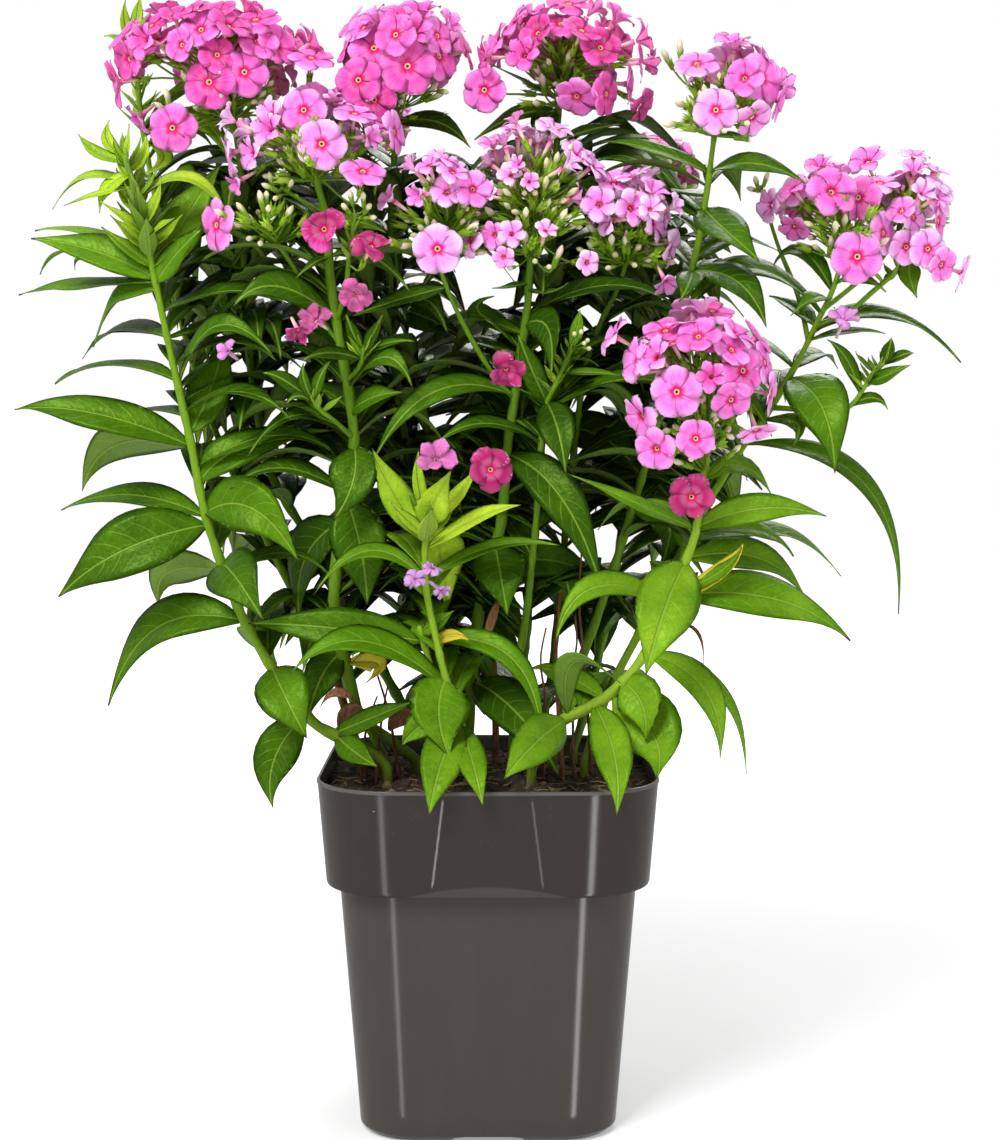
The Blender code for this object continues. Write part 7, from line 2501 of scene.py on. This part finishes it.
def make_floor():
    """Pale floor that glows a little, more so away from the pot, and isn't mirrored in its gloss."""
    s = Shader("studio_floor", 0.85)
    position = s.position()
    grain = s.noise(position, 2.0, 2.0)
    x, y, _ = s.parts(position)
    away = s.math("SQRT", s.plus(s.times(x, x), s.times(y, y)))
    s.surface.inputs["Emission Color"].default_value = WHITE
    glow = s.plus(s.times(s.ease(away, 0.15, 1.6), GLOW_GAIN), GLOW_NEAR)
    s.feed(s.surface.inputs["Emission Strength"], glow)
    material = s.finish(s.mix(grain, *FLOOR_SHADES))
    half = FLOOR_SIZE / 2
    mesh = bpy.data.meshes.new("floor")
    corners = [(-half, -half, 0), (half, -half, 0), (half, half, 0), (-half, half, 0)]
    mesh.from_pydata(corners, [], [(0, 1, 2, 3)])
    mesh.materials.append(material)
    floor = new_object("floor", mesh)
    floor.location.z = FLOOR_DROP
    floor.visible_glossy = False


# Lights point at AIM. Each has a name, place, width, height and power, in metres and watts. The two
# strips stand below the floor's level, where only the gloss of the pot's walls mirrors them.
AIM = Vector((0.0, 0.0, 0.3))
LIGHTS = [
    ("key", (-0.75, -1.25, 1.75), 0.8, 0.8, 38.0),
    ("fill", (1.6, -1.3, 0.7), 1.2, 1.2, 7.0),
    ("left_strip", (-0.95, -2.1, -0.85), 0.26, 1.3, 3.6),
    ("right_strip", (0.95, -2.1, -0.85), 0.32, 1.3, 9.0),
    ("back", (0.5, 1.5, 1.7), 1.2, 1.2, 22.0),
]
ROOM_LIGHT = 0.45
BACKDROP = 1.0


def light_studio():
    """Soft lights, and a room that is brighter to the camera than as a light."""
    for name, spot, width, height, power in LIGHTS:
        data = bpy.data.lights.new(name, "AREA")
        data.shape = "RECTANGLE"
        data.size = width
        data.size_y = height
        data.energy = power
        lamp = new_object(name, data)
        lamp.location = spot
        lamp.rotation_euler = (AIM - lamp.location).to_track_quat("-Z", "Y").to_euler()
    world = bpy.data.worlds.new("studio")
    world.use_nodes = True
    nodes = world.node_tree.nodes
    background = nodes["Background"]
    seen = nodes.new("ShaderNodeLightPath").outputs["Is Camera Ray"]
    strength = nodes.new("ShaderNodeMapRange")
    strength.inputs["To Min"].default_value = ROOM_LIGHT
    strength.inputs["To Max"].default_value = BACKDROP
    world.node_tree.links.new(seen, strength.inputs["Value"])
    world.node_tree.links.new(strength.outputs[0], background.inputs["Strength"])
    background.inputs["Color"].default_value = WHITE
    bpy.context.scene.world = world
    bpy.context.scene.view_settings.view_transform = "Standard"


# Camera: degrees from straight down, and focal length in millimetres.
CAMERA_PITCH = 85.6
CAMERA_LENS = 61.07


def place_camera():
    """Camera at the point that the plant is laid out from."""
    data = bpy.data.cameras.new("camera")
    data.lens = CAMERA_LENS
    data.sensor_width = 36.0
    camera = new_object("camera", data)
    camera.location = VIEW_POINT * MM
    camera.rotation_euler = (math.radians(CAMERA_PITCH), 0.0, 0.0)
    bpy.context.scene.camera = camera


def lay_out():
    """The plant as the solids have it: flowers by head, single flowers, and leaves."""
    rng = random.Random(11)
    crowd = Crowd()
    crowd.add("pot", pot_shape())
    courses, cores = stem_courses()
    place_stems(crowd, courses, cores)
    crowd_old_stalks(crowd)
    crowd.add("soil", soil_shape())
    heads = place_flowers(crowd, cores, rng)
    strays = place_stray_flowers(crowd, courses, rng)
    place_green_buds(crowd, courses)
    leaves = place_leaves(crowd, courses, rng)
    return crowd, courses, heads, strays, leaves


leaf_material = make_leaf_material()
stem_material = make_stem_material()
petal_material = make_petal_material()
tube_material = make_tube_material()
pot_material = make_pot_material()
soil_material = make_soil_material()
crumb_material = make_crumb_material()
dry_material = make_dry_material()


def build():
    """Lays the plant out as in the solids, adds what only the looks have, and makes all pieces."""
    rng = random.Random(23)
    crowd, courses, heads, strays, leaves = lay_out()
    lines = fine_lines()
    leaves += small_leaves(courses)
    leaves += filling_leaves(crowd, courses, rng)
    leaves += backing_leaves(courses, rng)
    for node, leaf in leaves:
        leaf["tone"] = leaf_tone(node, leaf, rng)
        root, middle, tip = leaf["line"]
        leaf["line"] = (nearest_point(lines, node, root), middle, tip)
    leaves += tuft_leaves(lines, rng)
    for stem, spots in YELLOW_LEAVES.items():
        for entry in spots:
            leaf = listed_leaf(courses[stem][0], entry, 0)
            leaf["tone"] = 0.8
            leaf["age"] = 0.5
            leaves.append((stem, leaf))
    greens = {stem: Gathered() for stem in STEMS}
    dress_pot()
    dress_soil()
    dress_crumbs(rng)
    dress_old_stalks(rng)
    dress_green_buds(lines, greens)
    dress_stems(lines, leaves, greens, rng)
    dress_heads(lines, heads, rng)
    dress_single_flowers(strays, rng)


build()
make_floor()
light_studio()
place_camera()
